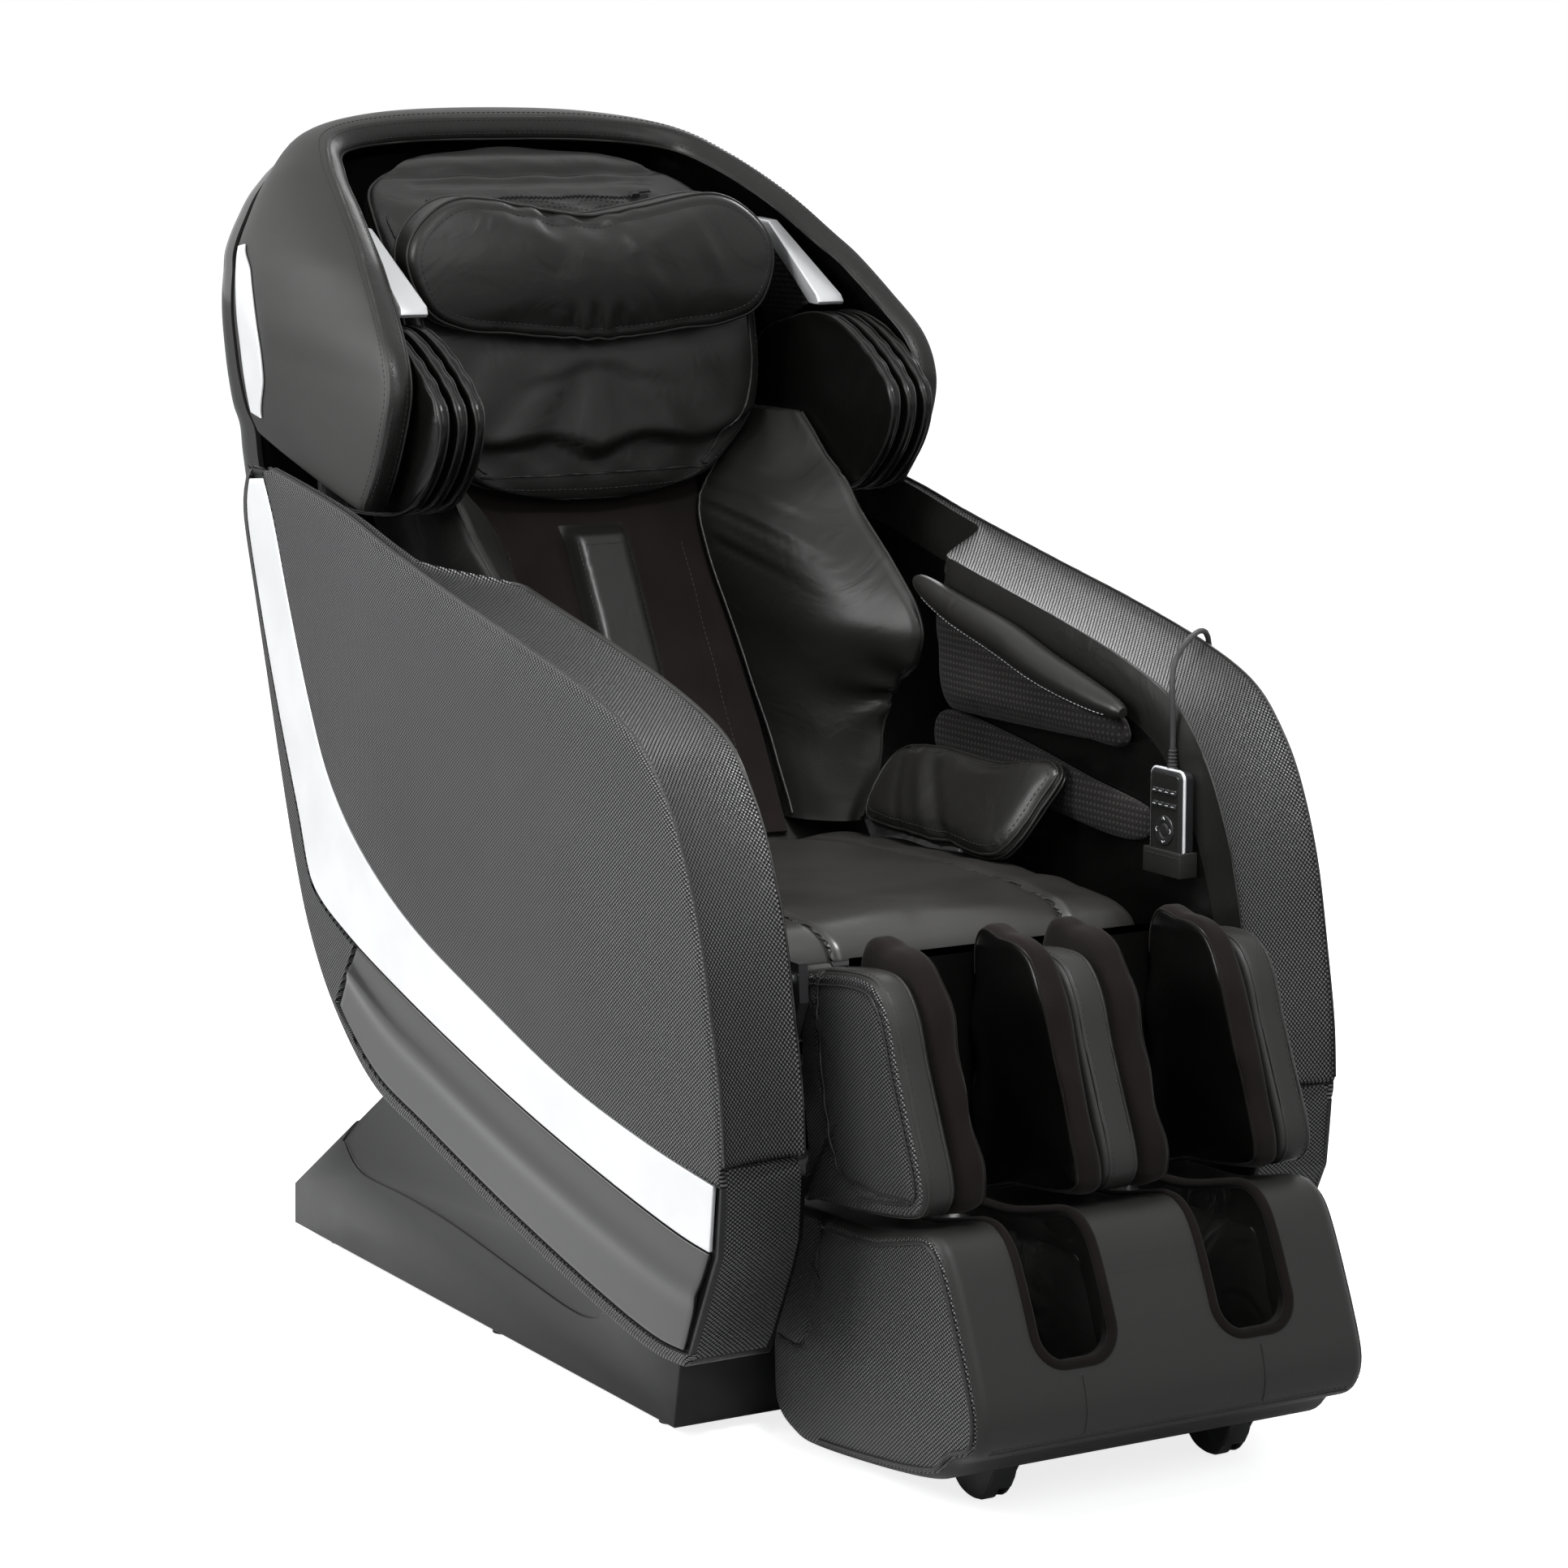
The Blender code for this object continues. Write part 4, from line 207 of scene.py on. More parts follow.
class ChairLook(bpy.types.PropertyGroup):
    """Colours and small sizes of the upholstery and trim."""

    vinyl: colour_choice("Woven vinyl", "Colour of the arms' outer sides and bands", (0.076, 0.076, 0.077))
    leather: colour_choice("Leather", "Colour of the cushions and the hood", (0.0120, 0.0116, 0.0110))
    suede: colour_choice("Suede", "Colour of the soft brown lining and pad edges", (0.0088, 0.0066, 0.0060))
    mesh: colour_choice("Mesh cloth", "Colour of the open mesh inside the arms", (0.0120, 0.0110, 0.0108))
    thread: colour_choice("Thread", "Colour of the stitching", (0.0090, 0.0086, 0.0084))
    silver: colour_choice("Silver", "Colour of the painted silver trim", (0.740, 0.752, 0.760))
    gloss: colour_choice("Gloss black", "Colour of the lower panels and the back shell",
                         (0.015, 0.0146, 0.0142))
    weave_pitch: length_choice("Weave pitch", "Distance between the woven diamonds", 0.0052, 0.002, 0.02)
    stitch_pitch: length_choice("Stitch pitch", "Distance from one stitch to the next", 0.0065, 0.003, 0.02)
    stitch_width: length_choice("Thread width", "Width of one stitch", 0.0011, 0.0003, 0.003)


# ---------------------------------------------------------------- curves
def spline(before, start, end, after, t):
    """A place between start (t = 0) and end (t = 1) on a Catmull-Rom curve."""
    return 0.5 * (2 * start + (end - before) * t + (2 * before - 5 * start + 4 * end - after) * t ** 2
                  + (3 * start - before - 3 * end + after) * t ** 3)


def smooth(points, count, closed=False):
    """Evenly spaced points on a Catmull-Rom curve through the given points."""
    known = [Vector(p) for p in points]
    total = len(known)
    fine = []
    spans = total if closed else total - 1
    for index in range(spans):
        if closed:
            before, start = known[(index - 1) % total], known[index]
            end, after = known[(index + 1) % total], known[(index + 2) % total]
        else:
            start, end = known[index], known[index + 1]
            before = known[index - 1] if index else start * 2 - end
            after = known[index + 2] if index + 2 < total else end * 2 - start
        fine += [spline(before, start, end, after, step / 12) for step in range(12)]
    fine.append(known[0] if closed else known[-1])
    return even(fine, count, closed)


def even(line, count, closed=False):
    """The same polyline, cut into equal lengths."""
    lengths = [0.0]
    for before, after in zip(line, line[1:]):
        lengths.append(lengths[-1] + (after - before).length)
    pieces = count if closed else count - 1
    result = []
    place = 0
    for index in range(count):
        wanted = lengths[-1] * index / pieces
        while place < len(lengths) - 2 and lengths[place + 1] < wanted:
            place += 1
        span = max(lengths[place + 1] - lengths[place], 1e-12)
        result.append(line[place].lerp(line[place + 1], (wanted - lengths[place]) / span))
    return result


def along(line, share):
    """The point at a share of an evenly cut polyline."""
    spot = min(max(share, 0.0), 1.0) * (len(line) - 1)
    index = min(int(spot), len(line) - 2)
    return line[index].lerp(line[index + 1], spot - index)


def through(rows, spot):
    """A row of numbers at a fractional place in a table, on a smooth curve through its rows."""
    last = len(rows) - 1
    index = min(int(spot), last - 1)
    t = spot - index
    start, end = np.array(rows[index], float), np.array(rows[index + 1], float)
    before = np.array(rows[index - 1], float) if index else 2 * start - end
    after = np.array(rows[index + 2], float) if index + 2 <= last else 2 * end - start
    return spline(before, start, end, after, t)


def lookup(table, key):
    """Straight interpolation in rows whose first value rises."""
    if key <= table[0][0]:
        return table[0][1:]
    for low, high in zip(table, table[1:]):
        if key <= high[0]:
            share = (key - low[0]) / (high[0] - low[0])
            return tuple(a + (b - a) * share for a, b in zip(low[1:], high[1:]))
    return table[-1][1:]


def ease(low, high, value):
    """0 below low, 1 above high, smooth between."""
    share = min(max((value - low) / (high - low), 0.0), 1.0)
    return share * share * (3 - 2 * share)


def bell(offset, width):
    """1 where the offset is 0, falling away on both sides."""
    return np.exp(-(offset / width) ** 2)


def inset(outline, distance):
    """A closed outline moved inwards along its own normals."""
    moved = []
    total = len(outline)
    for index, point in enumerate(outline):
        before = Vector(outline[index - 1])
        after = Vector(outline[(index + 1) % total])
        first = (Vector(point) - before).normalized()
        second = (after - Vector(point)).normalized()
        normal = Vector((-(first.y + second.y), first.x + second.x))
        if normal.length < 1e-9:
            normal = Vector((-first.y, first.x))
        normal.normalize()
        lean = max(normal.dot(Vector((-first.y, first.x))), 0.5)
        moved.append(Vector(point) + normal * (distance / lean))
    return moved


def mirror(line):
    """The same line on the other side of the chair, from its end back to its start."""
    return [Vector((-p.x, p.y, p.z)) for p in line[::-1]]


def anticlockwise(outline):
    size = 0.5 * sum(a[0] * b[1] - b[0] * a[1] for a, b in zip(outline, outline[1:] + outline[:1]))
    return outline if size > 0 else outline[::-1]


def rounded_box(low_u, high_u, low_v, high_v, radius, steps=4):
    """Outline of a rectangle with round corners."""
    corners = ((high_u - radius, low_v + radius, -90), (high_u - radius, high_v - radius, 0),
               (low_u + radius, high_v - radius, 90), (low_u + radius, low_v + radius, 180))
    outline = []
    for u, v, start in corners:
        for step in range(steps + 1):
            turn = math.radians(start + 90 * step / steps)
            outline.append(Vector((u + radius * math.cos(turn), v + radius * math.sin(turn))))
    return outline


def track(distance, out, x=0.0):
    """A place by its distance up the roller track and out of the lining's front."""
    y = TRACK_FOOT[0] + distance * math.sin(TRACK_LEAN) - out * math.cos(TRACK_LEAN)
    z = TRACK_FOOT[1] + distance * math.cos(TRACK_LEAN) + out * math.sin(TRACK_LEAN)
    return Vector((x, y, z))


# ---------------------------------------------------------------- material building
class Wiring:
    """A short way to place and join shader nodes in one tree."""

    def __init__(self, tree):
        self.tree = tree

    def add(self, kind, **settings):
        node = self.tree.nodes.new(kind)
        for name, value in settings.items():
            setattr(node, name, value)
        return node

    def feed(self, socket, value):
        if isinstance(value, bpy.types.NodeSocket):
            self.tree.links.new(value, socket)
        elif value is not None:
            socket.default_value = value

    def place(self):
        return self.add("ShaderNodeTexCoord").outputs["Object"]

    def cloth(self):
        return self.add("ShaderNodeUVMap", uv_map="cloth").outputs[0]

    def maths(self, operation, first, second=None):
        node = self.add("ShaderNodeMath", operation=operation)
        for socket, value in zip(node.inputs, (first, second)):
            self.feed(socket, value)
        return node.outputs[0]

    def ramp(self, value, low, high, start=0.0, end=1.0):
        node = self.add("ShaderNodeMapRange")
        node.interpolation_type = "SMOOTHSTEP"
        for name, given in (("Value", value), ("From Min", low), ("From Max", high),
                            ("To Min", start), ("To Max", end)):
            self.feed(node.inputs[name], given)
        return node.outputs["Result"]

    def blend(self, share, first, second):
        node = self.add("ShaderNodeMix", data_type="RGBA")
        self.feed(node.inputs[0], share)
        self.feed(node.inputs[6], first)
        self.feed(node.inputs[7], second)
        return node.outputs[2]

    def noise(self, vector, scale, detail=2.0):
        node = self.add("ShaderNodeTexNoise")
        self.feed(node.inputs["Vector"], vector)
        self.feed(node.inputs["Scale"], scale)
        node.inputs["Detail"].default_value = detail
        return node.outputs["Fac"]


def new_group(name, inputs, outputs):
    group = bpy.data.node_groups.new(name, "ShaderNodeTree")
    for label, kind, default in inputs:
        socket = group.interface.new_socket(name=label, in_out="INPUT", socket_type=kind)
        if default is not None:
            socket.default_value = default
    for label, kind in outputs:
        group.interface.new_socket(name=label, in_out="OUTPUT", socket_type=kind)
    wiring = Wiring(group)
    return wiring, wiring.add("NodeGroupInput").outputs, wiring.add("NodeGroupOutput").inputs


FLOAT = "NodeSocketFloat"
VECTOR = "NodeSocketVector"


def make_groups():
    """The effects that several finishes share."""
    wiring, given, wanted = new_group("leather grain", [("Vector", VECTOR, None), ("Scale", FLOAT, 520.0)],
                                      [("Height", FLOAT), ("Pores", FLOAT)])
    cells = wiring.add("ShaderNodeTexVoronoi", feature="SMOOTH_F1")
    wiring.feed(cells.inputs["Vector"], given["Vector"])
    wiring.feed(cells.inputs["Scale"], given["Scale"])
    fine = wiring.noise(given["Vector"], wiring.maths("MULTIPLY", given["Scale"], 0.45), 4.0)
    wiring.feed(wanted["Height"], wiring.maths("ADD", cells.outputs["Distance"],
                                               wiring.maths("MULTIPLY", fine, 0.8)))
    wiring.feed(wanted["Pores"], wiring.ramp(cells.outputs["Distance"], 0.10, 0.55))

    wiring, given, wanted = new_group("diamond weave", [("Vector", VECTOR, None), ("Pitch", FLOAT, 0.005)],
                                      [("Height", FLOAT), ("Valley", FLOAT)])
    parts = wiring.add("ShaderNodeSeparateXYZ")
    wiring.feed(parts.inputs[0], given["Vector"])
    turn = wiring.maths("DIVIDE", math.pi, given["Pitch"])
    across = wiring.maths("MULTIPLY", parts.outputs[0], turn)
    over = wiring.maths("MULTIPLY", parts.outputs[1], wiring.maths("MULTIPLY", turn, 1.25))
    first = wiring.maths("ABSOLUTE", wiring.maths("SINE", wiring.maths("ADD", across, over)))
    second = wiring.maths("ABSOLUTE", wiring.maths("SINE", wiring.maths("SUBTRACT", across, over)))
    height = wiring.maths("POWER", wiring.maths("MULTIPLY", first, second), 0.6)
    wiring.feed(wanted["Height"], height)
    wiring.feed(wanted["Valley"], wiring.ramp(height, 0.30, 0.92, 1.0, 0.0))

    wiring, given, wanted = new_group("open mesh", [("Vector", VECTOR, None), ("Pitch", FLOAT, 0.006)],
                                      [("Height", FLOAT), ("Hole", FLOAT)])
    parts = wiring.add("ShaderNodeSeparateXYZ")
    wiring.feed(parts.inputs[0], given["Vector"])
    turn = wiring.maths("DIVIDE", 2 * math.pi, given["Pitch"])
    across = wiring.maths("COSINE", wiring.maths("MULTIPLY", parts.outputs[0], turn))
    over = wiring.maths("COSINE", wiring.maths("MULTIPLY", parts.outputs[1], turn))
    spots = wiring.maths("MULTIPLY", wiring.maths("ADD", across, over), 0.5)
    wiring.feed(wanted["Height"], wiring.ramp(spots, 0.1, 0.75, 1.0, 0.0))
    wiring.feed(wanted["Hole"], wiring.ramp(spots, 0.35, 0.7))

    wiring, given, wanted = new_group("mottling", [("Vector", VECTOR, None), ("Scale", FLOAT, 9.0)],
                                      [("Shade", FLOAT), ("Speck", FLOAT)])
    broad = wiring.noise(given["Vector"], given["Scale"], 3.0)
    wiring.feed(wanted["Shade"], wiring.ramp(broad, 0.30, 0.70))
    specks = wiring.noise(given["Vector"], wiring.maths("MULTIPLY", given["Scale"], 60.0), 2.0)
    wiring.feed(wanted["Speck"], wiring.ramp(specks, 0.55, 0.75))

    wiring, given, wanted = new_group("soft creases", [("Vector", VECTOR, None), ("Scale", FLOAT, 14.0)],
                                      [("Height", FLOAT)])
    bend = wiring.add("ShaderNodeTexNoise")
    wiring.feed(bend.inputs["Vector"], given["Vector"])
    wiring.feed(bend.inputs["Scale"], given["Scale"])
    bend.inputs["Detail"].default_value = 3.0
    bend.inputs["Distortion"].default_value = 1.2
    fold = wiring.maths("ABSOLUTE", wiring.maths("SUBTRACT", bend.outputs["Fac"], 0.5))
    wiring.feed(wanted["Height"], wiring.ramp(fold, 0.0, 0.16))

    wiring, given, wanted = new_group("edge wear", [("Amount", FLOAT, 0.5)], [("Wear", FLOAT)])
    shape = wiring.add("ShaderNodeNewGeometry")
    wiring.feed(wanted["Wear"], wiring.maths("MULTIPLY", wiring.ramp(shape.outputs["Pointiness"], 0.52, 0.60),
                                             given["Amount"]))


def placed(wiring, name, **values):
    node = wiring.add("ShaderNodeGroup")
    node.node_tree = bpy.data.node_groups[name]
    for label, value in values.items():
        wiring.feed(node.inputs[label.capitalize()], value)
    return node.outputs


def start_finish(name, roughness, metallic=0.0, coat=0.0, sheen=0.0, shine=0.5):
    made = bpy.data.materials.new(name)
    made.use_nodes = True
    wiring = Wiring(made.node_tree)
    shader = made.node_tree.nodes["Principled BSDF"]
    for label, value in (("Roughness", roughness), ("Metallic", metallic), ("Coat Weight", coat),
                         ("Coat Roughness", 0.10), ("Sheen Weight", sheen), ("Sheen Roughness", 0.45),
                         ("Specular IOR Level", shine)):
        shader.inputs[label].default_value = value
    return made, wiring, shader


def scaled(colour, factor):
    return (*(min(1.0, part * factor) for part in colour), 1.0)


def bump(wiring, shader, height, strength, distance, normal=None):
    node = wiring.add("ShaderNodeBump")
    node.inputs["Strength"].default_value = strength
    node.inputs["Distance"].default_value = distance
    wiring.feed(node.inputs["Height"], height)
    wiring.feed(node.inputs["Normal"], normal)
    wiring.feed(shader.inputs["Normal"], node.outputs["Normal"])
    return node.outputs["Normal"]


def leather_finish(name, colour, roughness, creases, shine):
    """Smooth upholstery leather: fine grain, faint creases, paler where it is rubbed."""
    made, wiring, shader = start_finish(name, roughness, shine=shine)
    place = wiring.place()
    grain = placed(wiring, "leather grain", vector=place, scale=620.0)
    shades = placed(wiring, "mottling", vector=place, scale=7.0)
    worn = placed(wiring, "edge wear", amount=0.6)
    mixed = wiring.blend(shades["Shade"], scaled(colour, 0.92), scaled(colour, 1.08))
    mixed = wiring.blend(worn["Wear"], mixed, scaled(colour, 1.5))
    mixed = wiring.blend(wiring.maths("MULTIPLY", grain["Pores"], 0.25), mixed, scaled(colour, 0.6))
    wiring.feed(shader.inputs["Base Color"], mixed)
    wiring.feed(shader.inputs["Roughness"],
                wiring.maths("ADD", roughness - 0.04, wiring.maths("MULTIPLY", shades["Shade"], 0.08)))
    normal = None
    if creases:
        folds = placed(wiring, "soft creases", vector=place, scale=11.0)
        normal = bump(wiring, shader, folds["Height"], creases, 0.0022)
    bump(wiring, shader, grain["Height"], 0.22, 0.00025, normal)
    return made


def vinyl_finish(colour, pitch):
    """Embossed vinyl with a small diamond weave, drawn in the piece's own flat pattern."""
    made, wiring, shader = start_finish("woven vinyl", 0.30)
    cloth = wiring.cloth()
    place = wiring.place()
    weave = placed(wiring, "diamond weave", vector=cloth, pitch=pitch)
    shades = placed(wiring, "mottling", vector=place, scale=6.0)
    worn = placed(wiring, "edge wear", amount=0.4)
    mixed = wiring.blend(shades["Shade"], scaled(colour, 0.92), scaled(colour, 1.08))
    # The weave's valleys are painted near-black: painted shade in the grooves.
    mixed = wiring.blend(weave["Valley"], mixed, scaled(colour, 0.08))
    mixed = wiring.blend(worn["Wear"], mixed, scaled(colour, 1.3))
    wiring.feed(shader.inputs["Base Color"], mixed)
    wiring.feed(shader.inputs["Specular IOR Level"],
                wiring.maths("SUBTRACT", 0.75, wiring.maths("MULTIPLY", weave["Valley"], 0.72)))
    wiring.feed(shader.inputs["Roughness"],
                wiring.maths("ADD", 0.26, wiring.maths("MULTIPLY", weave["Valley"], 0.30)))
    bump(wiring, shader, weave["Height"], 0.60, 0.0011)
    return made


def suede_finish(colour):
    """Brown suede with a short uneven nap."""
    made, wiring, shader = start_finish("brown suede", 0.92, sheen=0.06, shine=0.10)
    place = wiring.place()
    shades = placed(wiring, "mottling", vector=place, scale=18.0)
    nap = wiring.noise(place, 900.0, 3.0)
    mixed = wiring.blend(shades["Shade"], scaled(colour, 0.80), scaled(colour, 1.20))
    mixed = wiring.blend(wiring.maths("MULTIPLY", nap, 0.35), mixed, scaled(colour, 1.5))
    wiring.feed(shader.inputs["Base Color"], mixed)
    bump(wiring, shader, nap, 0.35, 0.0005)
    return made


def mesh_finish(colour):
    """Open knitted mesh over black foam."""
    made, wiring, shader = start_finish("mesh cloth", 0.75, sheen=0.05, shine=0.15)
    cloth = wiring.cloth()
    knit = placed(wiring, "open mesh", vector=cloth, pitch=0.0068)
    place = wiring.place()
    shades = placed(wiring, "mottling", vector=place, scale=14.0)
    mixed = wiring.blend(shades["Shade"], scaled(colour, 0.9), scaled(colour, 1.2))
    mixed = wiring.blend(knit["Hole"], mixed, scaled(colour, 3.2))
    wiring.feed(shader.inputs["Base Color"], mixed)
    bump(wiring, shader, knit["Height"], 0.6, 0.0012)
    return made


def hard_finish(name, colour, roughness, metallic, coat, grain, grain_scale, wear, streaks, shine):
    """Moulded plastic, paint, rubber or metal: uneven sheen, a fine surface and rubbed edges."""
    made, wiring, shader = start_finish(name, roughness, metallic, coat, shine=shine)
    place = wiring.place()
    shades = placed(wiring, "mottling", vector=place, scale=12.0)
    worn = placed(wiring, "edge wear", amount=0.7)
    mixed = wiring.blend(shades["Shade"], scaled(colour, 0.97), scaled(colour, 1.03))
    mixed = wiring.blend(worn["Wear"], mixed, scaled(colour, wear))
    wiring.feed(shader.inputs["Base Color"], mixed)
    height = wiring.noise(place, grain_scale, 3.0)
    if streaks:
        stretched = wiring.add("ShaderNodeMapping")
        stretched.inputs["Scale"].default_value = (1.0, 0.06, 1.0)
        wiring.feed(stretched.inputs["Vector"], place)
        height = wiring.noise(stretched.outputs[0], grain_scale, 2.0)
    spread = 0.01 + 0.10 * roughness
    wiring.feed(shader.inputs["Roughness"], wiring.maths("ADD", roughness - 0.5 * spread,
                                                         wiring.maths("MULTIPLY", shades["Shade"], spread)))
    bump(wiring, shader, height, grain, 0.0003)
    return made


def grille_finish(colour):
    """Black moulded grille with rows of small round holes."""
    made, wiring, shader = start_finish("speaker grille", 0.45)
    cloth = wiring.cloth()
    holes = placed(wiring, "open mesh", vector=cloth, pitch=0.0062)
    # The holes are painted near-black: painted shade inside the holes.
    mixed = wiring.blend(holes["Hole"], scaled(colour, 1.0), (0.001, 0.001, 0.001, 1.0))
    wiring.feed(shader.inputs["Base Color"], mixed)
    bump(wiring, shader, holes["Height"], 0.7, 0.0015)
    return made


FINISHES = {}


def make_finishes(look):
    make_groups()
    FINISHES["vinyl"] = vinyl_finish(look.vinyl, look.weave_pitch)
    FINISHES["suede"] = suede_finish(look.suede)
    FINISHES["mesh"] = mesh_finish(look.mesh)
    FINISHES["grille"] = grille_finish((0.020, 0.020, 0.021))
    for key, name, factor, roughness, creases, shine in (
            ("leather", "cushion leather", 1.0, 0.37, 0.13, 0.30),
            ("hood leather", "hood leather", 1.2, 0.46, 0.0, 0.34),
            # A lighter copy of the leather for the foot wells: painted light in the wells' shade.
            ("well leather with painted light", "well leather with painted light", 2.0, 0.20, 0.45, 1.0),
            # A lighter copy of the leather for the seat: painted light where the lamps reach little.
            ("seat leather with painted light", "seat leather with painted light", 1.7, 0.34, 0.06, 0.5),
            # A darker copy of the leather: painted shade for the arms' and hood's inner walls, the calf
            # channels and pads, and the airbag leaves.
            ("leather with painted shade", "leather with painted shade", 0.30, 0.24, 0.10, 0.22)):
        colour = scaled(look.leather, factor)[:3]
        FINISHES[key] = leather_finish(name, colour, roughness, creases, shine)
    # key, name, colour, roughness, metallic, coat, grain, grain scale, wear, streaks, shine
    for key, *settings in (
            ("silver", "silver paint", look.silver, 0.34, 0.30, 0.1, 0.02, 1500.0, 1.0, 0.0, 0.4),
            ("gloss", "gloss black", look.gloss, 0.14, 0.0, 0.0, 0.010, 60.0, 1.4, 0.0, 0.6),
            ("shroud", "shroud plastic", (0.012, 0.012, 0.012), 0.30, 0.0, 0.0, 0.04, 900.0, 1.3, 0.0, 0.22),
            ("plastic", "moulded plastic", (0.014, 0.014, 0.015), 0.46, 0.0, 0.0, 0.20, 1600.0, 1.6, 0.0,
             0.22),
            ("steel", "painted steel", (0.020, 0.020, 0.021), 0.46, 0.30, 0.0, 0.15, 700.0, 2.0, 0.0, 0.25),
            ("bright steel", "bright steel", (0.56, 0.57, 0.58), 0.26, 1.0, 0.0, 0.10, 900.0, 1.2, 1.0, 0.4),
            ("rubber", "rubber", (0.020, 0.020, 0.020), 0.70, 0.0, 0.0, 0.35, 1100.0, 1.5, 0.0, 0.4),
            ("motor", "cast housing", (0.26, 0.27, 0.28), 0.48, 0.2, 0.0, 0.30, 500.0, 1.3, 0.0, 0.4),
            ("keys", "key plastic", (0.016, 0.016, 0.017), 0.38, 0.0, 0.0, 0.10, 1600.0, 1.8, 0.0, 0.4),
            ("marks", "key marks", (0.50, 0.51, 0.52), 0.50, 0.0, 0.0, 0.05, 1600.0, 1.1, 0.0, 0.4),
            ("thread", "thread", look.thread, 0.62, 0.0, 0.0, 0.40, 2600.0, 1.4, 0.0, 0.4)):
        FINISHES[key] = hard_finish(*settings)


# ---------------------------------------------------------------- piece building
def grid_faces(rings, size, caps=True):
    """Faces between rings of equal counts."""
    faces = []
    for level in range(rings - 1):
        low = level * size
        for index in range(size):
            after = (index + 1) % size
            faces.append((low + index, low + after, low + size + after, low + size + index))
    if caps:
        faces.append(tuple(range(size))[::-1])
        faces.append(tuple(range(size * (rings - 1), size * rings)))
    return faces


def raw_piece(name, points, faces, finishes, kinds=None):
    mesh = bpy.data.meshes.new(name)
    mesh.from_pydata([tuple(p) for p in points], [], faces)
    for finish in finishes:
        mesh.materials.append(FINISHES[finish])
    if kinds is not None:
        mesh.polygons.foreach_set("material_index", kinds)
    made = bpy.data.objects.new(name, mesh)
    bpy.context.collection.objects.link(made)
    outward(made)
    return made


def ring_piece(name, rings, finishes, caps=True):
    """A piece through rings of equal counts."""
    return raw_piece(name, [p for ring in rings for p in ring], grid_faces(len(rings), len(rings[0]), caps),
                     finishes)


def outward(made):
    """Makes the faces point outwards."""
    shape = bmesh.new()
    shape.from_mesh(made.data)
    bmesh.ops.recalc_face_normals(shape, faces=shape.faces)
    shape.to_mesh(made.data)
    shape.free()


def soften(made, angle=40):
    made.data.shade_smooth()
    made.data.set_sharp_from_angle(angle=math.radians(angle))


def choose(made):
    """Makes this the only selected object."""
    if bpy.context.object and bpy.context.object.mode != "OBJECT":
        bpy.ops.object.mode_set(mode="OBJECT")
    bpy.ops.object.select_all(action="DESELECT")
    made.select_set(True)
    bpy.context.view_layer.objects.active = made


def modify(made, kind, **settings):
    """Adds a modifier and applies it."""
    choose(made)
    bpy.ops.object.modifier_add(type=kind)
    step = made.modifiers[-1]
    for name, value in settings.items():
        setattr(step, name, value)
    bpy.ops.object.modifier_apply(modifier=step.name)


def round_edges(made, width, segments, angle):
    """Rounds the edges that bend by more than an angle in degrees."""
    modify(made, "BEVEL", width=width, segments=segments, limit_method="ANGLE",
           angle_limit=math.radians(angle))


def lay_pattern(made, chooser=None):
    """A flat pattern in metres for woven cloth: from each face's own direction, or as the chooser says."""
    mesh = made.data
    layer = mesh.uv_layers.new(name="cloth") if "cloth" not in mesh.uv_layers else mesh.uv_layers["cloth"]
    corners = np.zeros(len(mesh.loops) * 2)
    spots = np.zeros(len(mesh.vertices) * 3)
    mesh.vertices.foreach_get("co", spots)
    spots = spots.reshape(-1, 3)
    owners = np.zeros(len(mesh.loops), int)
    mesh.loops.foreach_get("vertex_index", owners)
    corners = corners.reshape(-1, 2)
    for face in mesh.polygons:
        span = range(face.loop_start, face.loop_start + face.loop_total)
        if chooser:
            for loop in span:
                corners[loop] = chooser(face, owners[loop])
            continue
        lean = [abs(part) for part in face.normal]
        if lean[0] >= max(lean[1], lean[2]) * 0.9:
            pair = (1, 2)
        elif lean[1] >= lean[2]:
            pair = (0, 2)
        else:
            pair = (0, 1)
        for loop in span:
            corners[loop] = spots[owners[loop]][list(pair)]
    layer.data.foreach_set("uv", corners.ravel())


def settle(made, body, stands_for=()):
    """Gives the piece its body, and hides the frame nodes that it stands for."""
    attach(made, body)
    if stands_for:
        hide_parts(*stands_for)
    return made


def positions(made):
    spots = np.zeros(len(made.data.vertices) * 3)
    made.data.vertices.foreach_get("co", spots)
    return spots.reshape(-1, 3)


def directions(made):
    normals = np.zeros(len(made.data.vertices) * 3)
    made.data.vertex_normals.foreach_get("vector", normals)
    return normals.reshape(-1, 3)


def move_to(made, spots):
    made.data.vertices.foreach_set("co", np.ascontiguousarray(spots).ravel())
    made.data.update()


def raise_by(made, amount):
    """Moves each vertex along its normal by an amount each."""
    move_to(made, positions(made) + directions(made) * np.asarray(amount)[:, None])


def distances(spots, line):
    """Distance from each spot to a dense polyline."""
    tree = KDTree(len(line))
    for index, point in enumerate(line):
        tree.insert(point, index)
    tree.balance()
    return np.array([tree.find(spot)[2] for spot in spots])


def press_seam(made, line, depth, width):
    """Sinks a sewn seam into a padded surface."""
    dense = even([Vector(p) for p in line], max(int(polyline_length(line) / 0.002), 8))
    gap = distances(positions(made), dense)
    raise_by(made, -depth * bell(gap, width))


def polyline_length(line):
    return sum((Vector(b) - Vector(a)).length for a, b in zip(line, line[1:]))


def surface_of(*made):
    """One search tree over the shapes of these pieces."""
    points, faces = [], []
    for item in made:
        start = len(points)
        points += [v.co.copy() for v in item.data.vertices]
        faces += [[start + index for index in face.vertices] for face in item.data.polygons]
    return BVHTree.FromPolygons(points, faces)


THREAD_LIFT = 0.0002
WELT_GROOVE = (0.0030, 0.0035)  # depth and width of the groove that a welt lies in


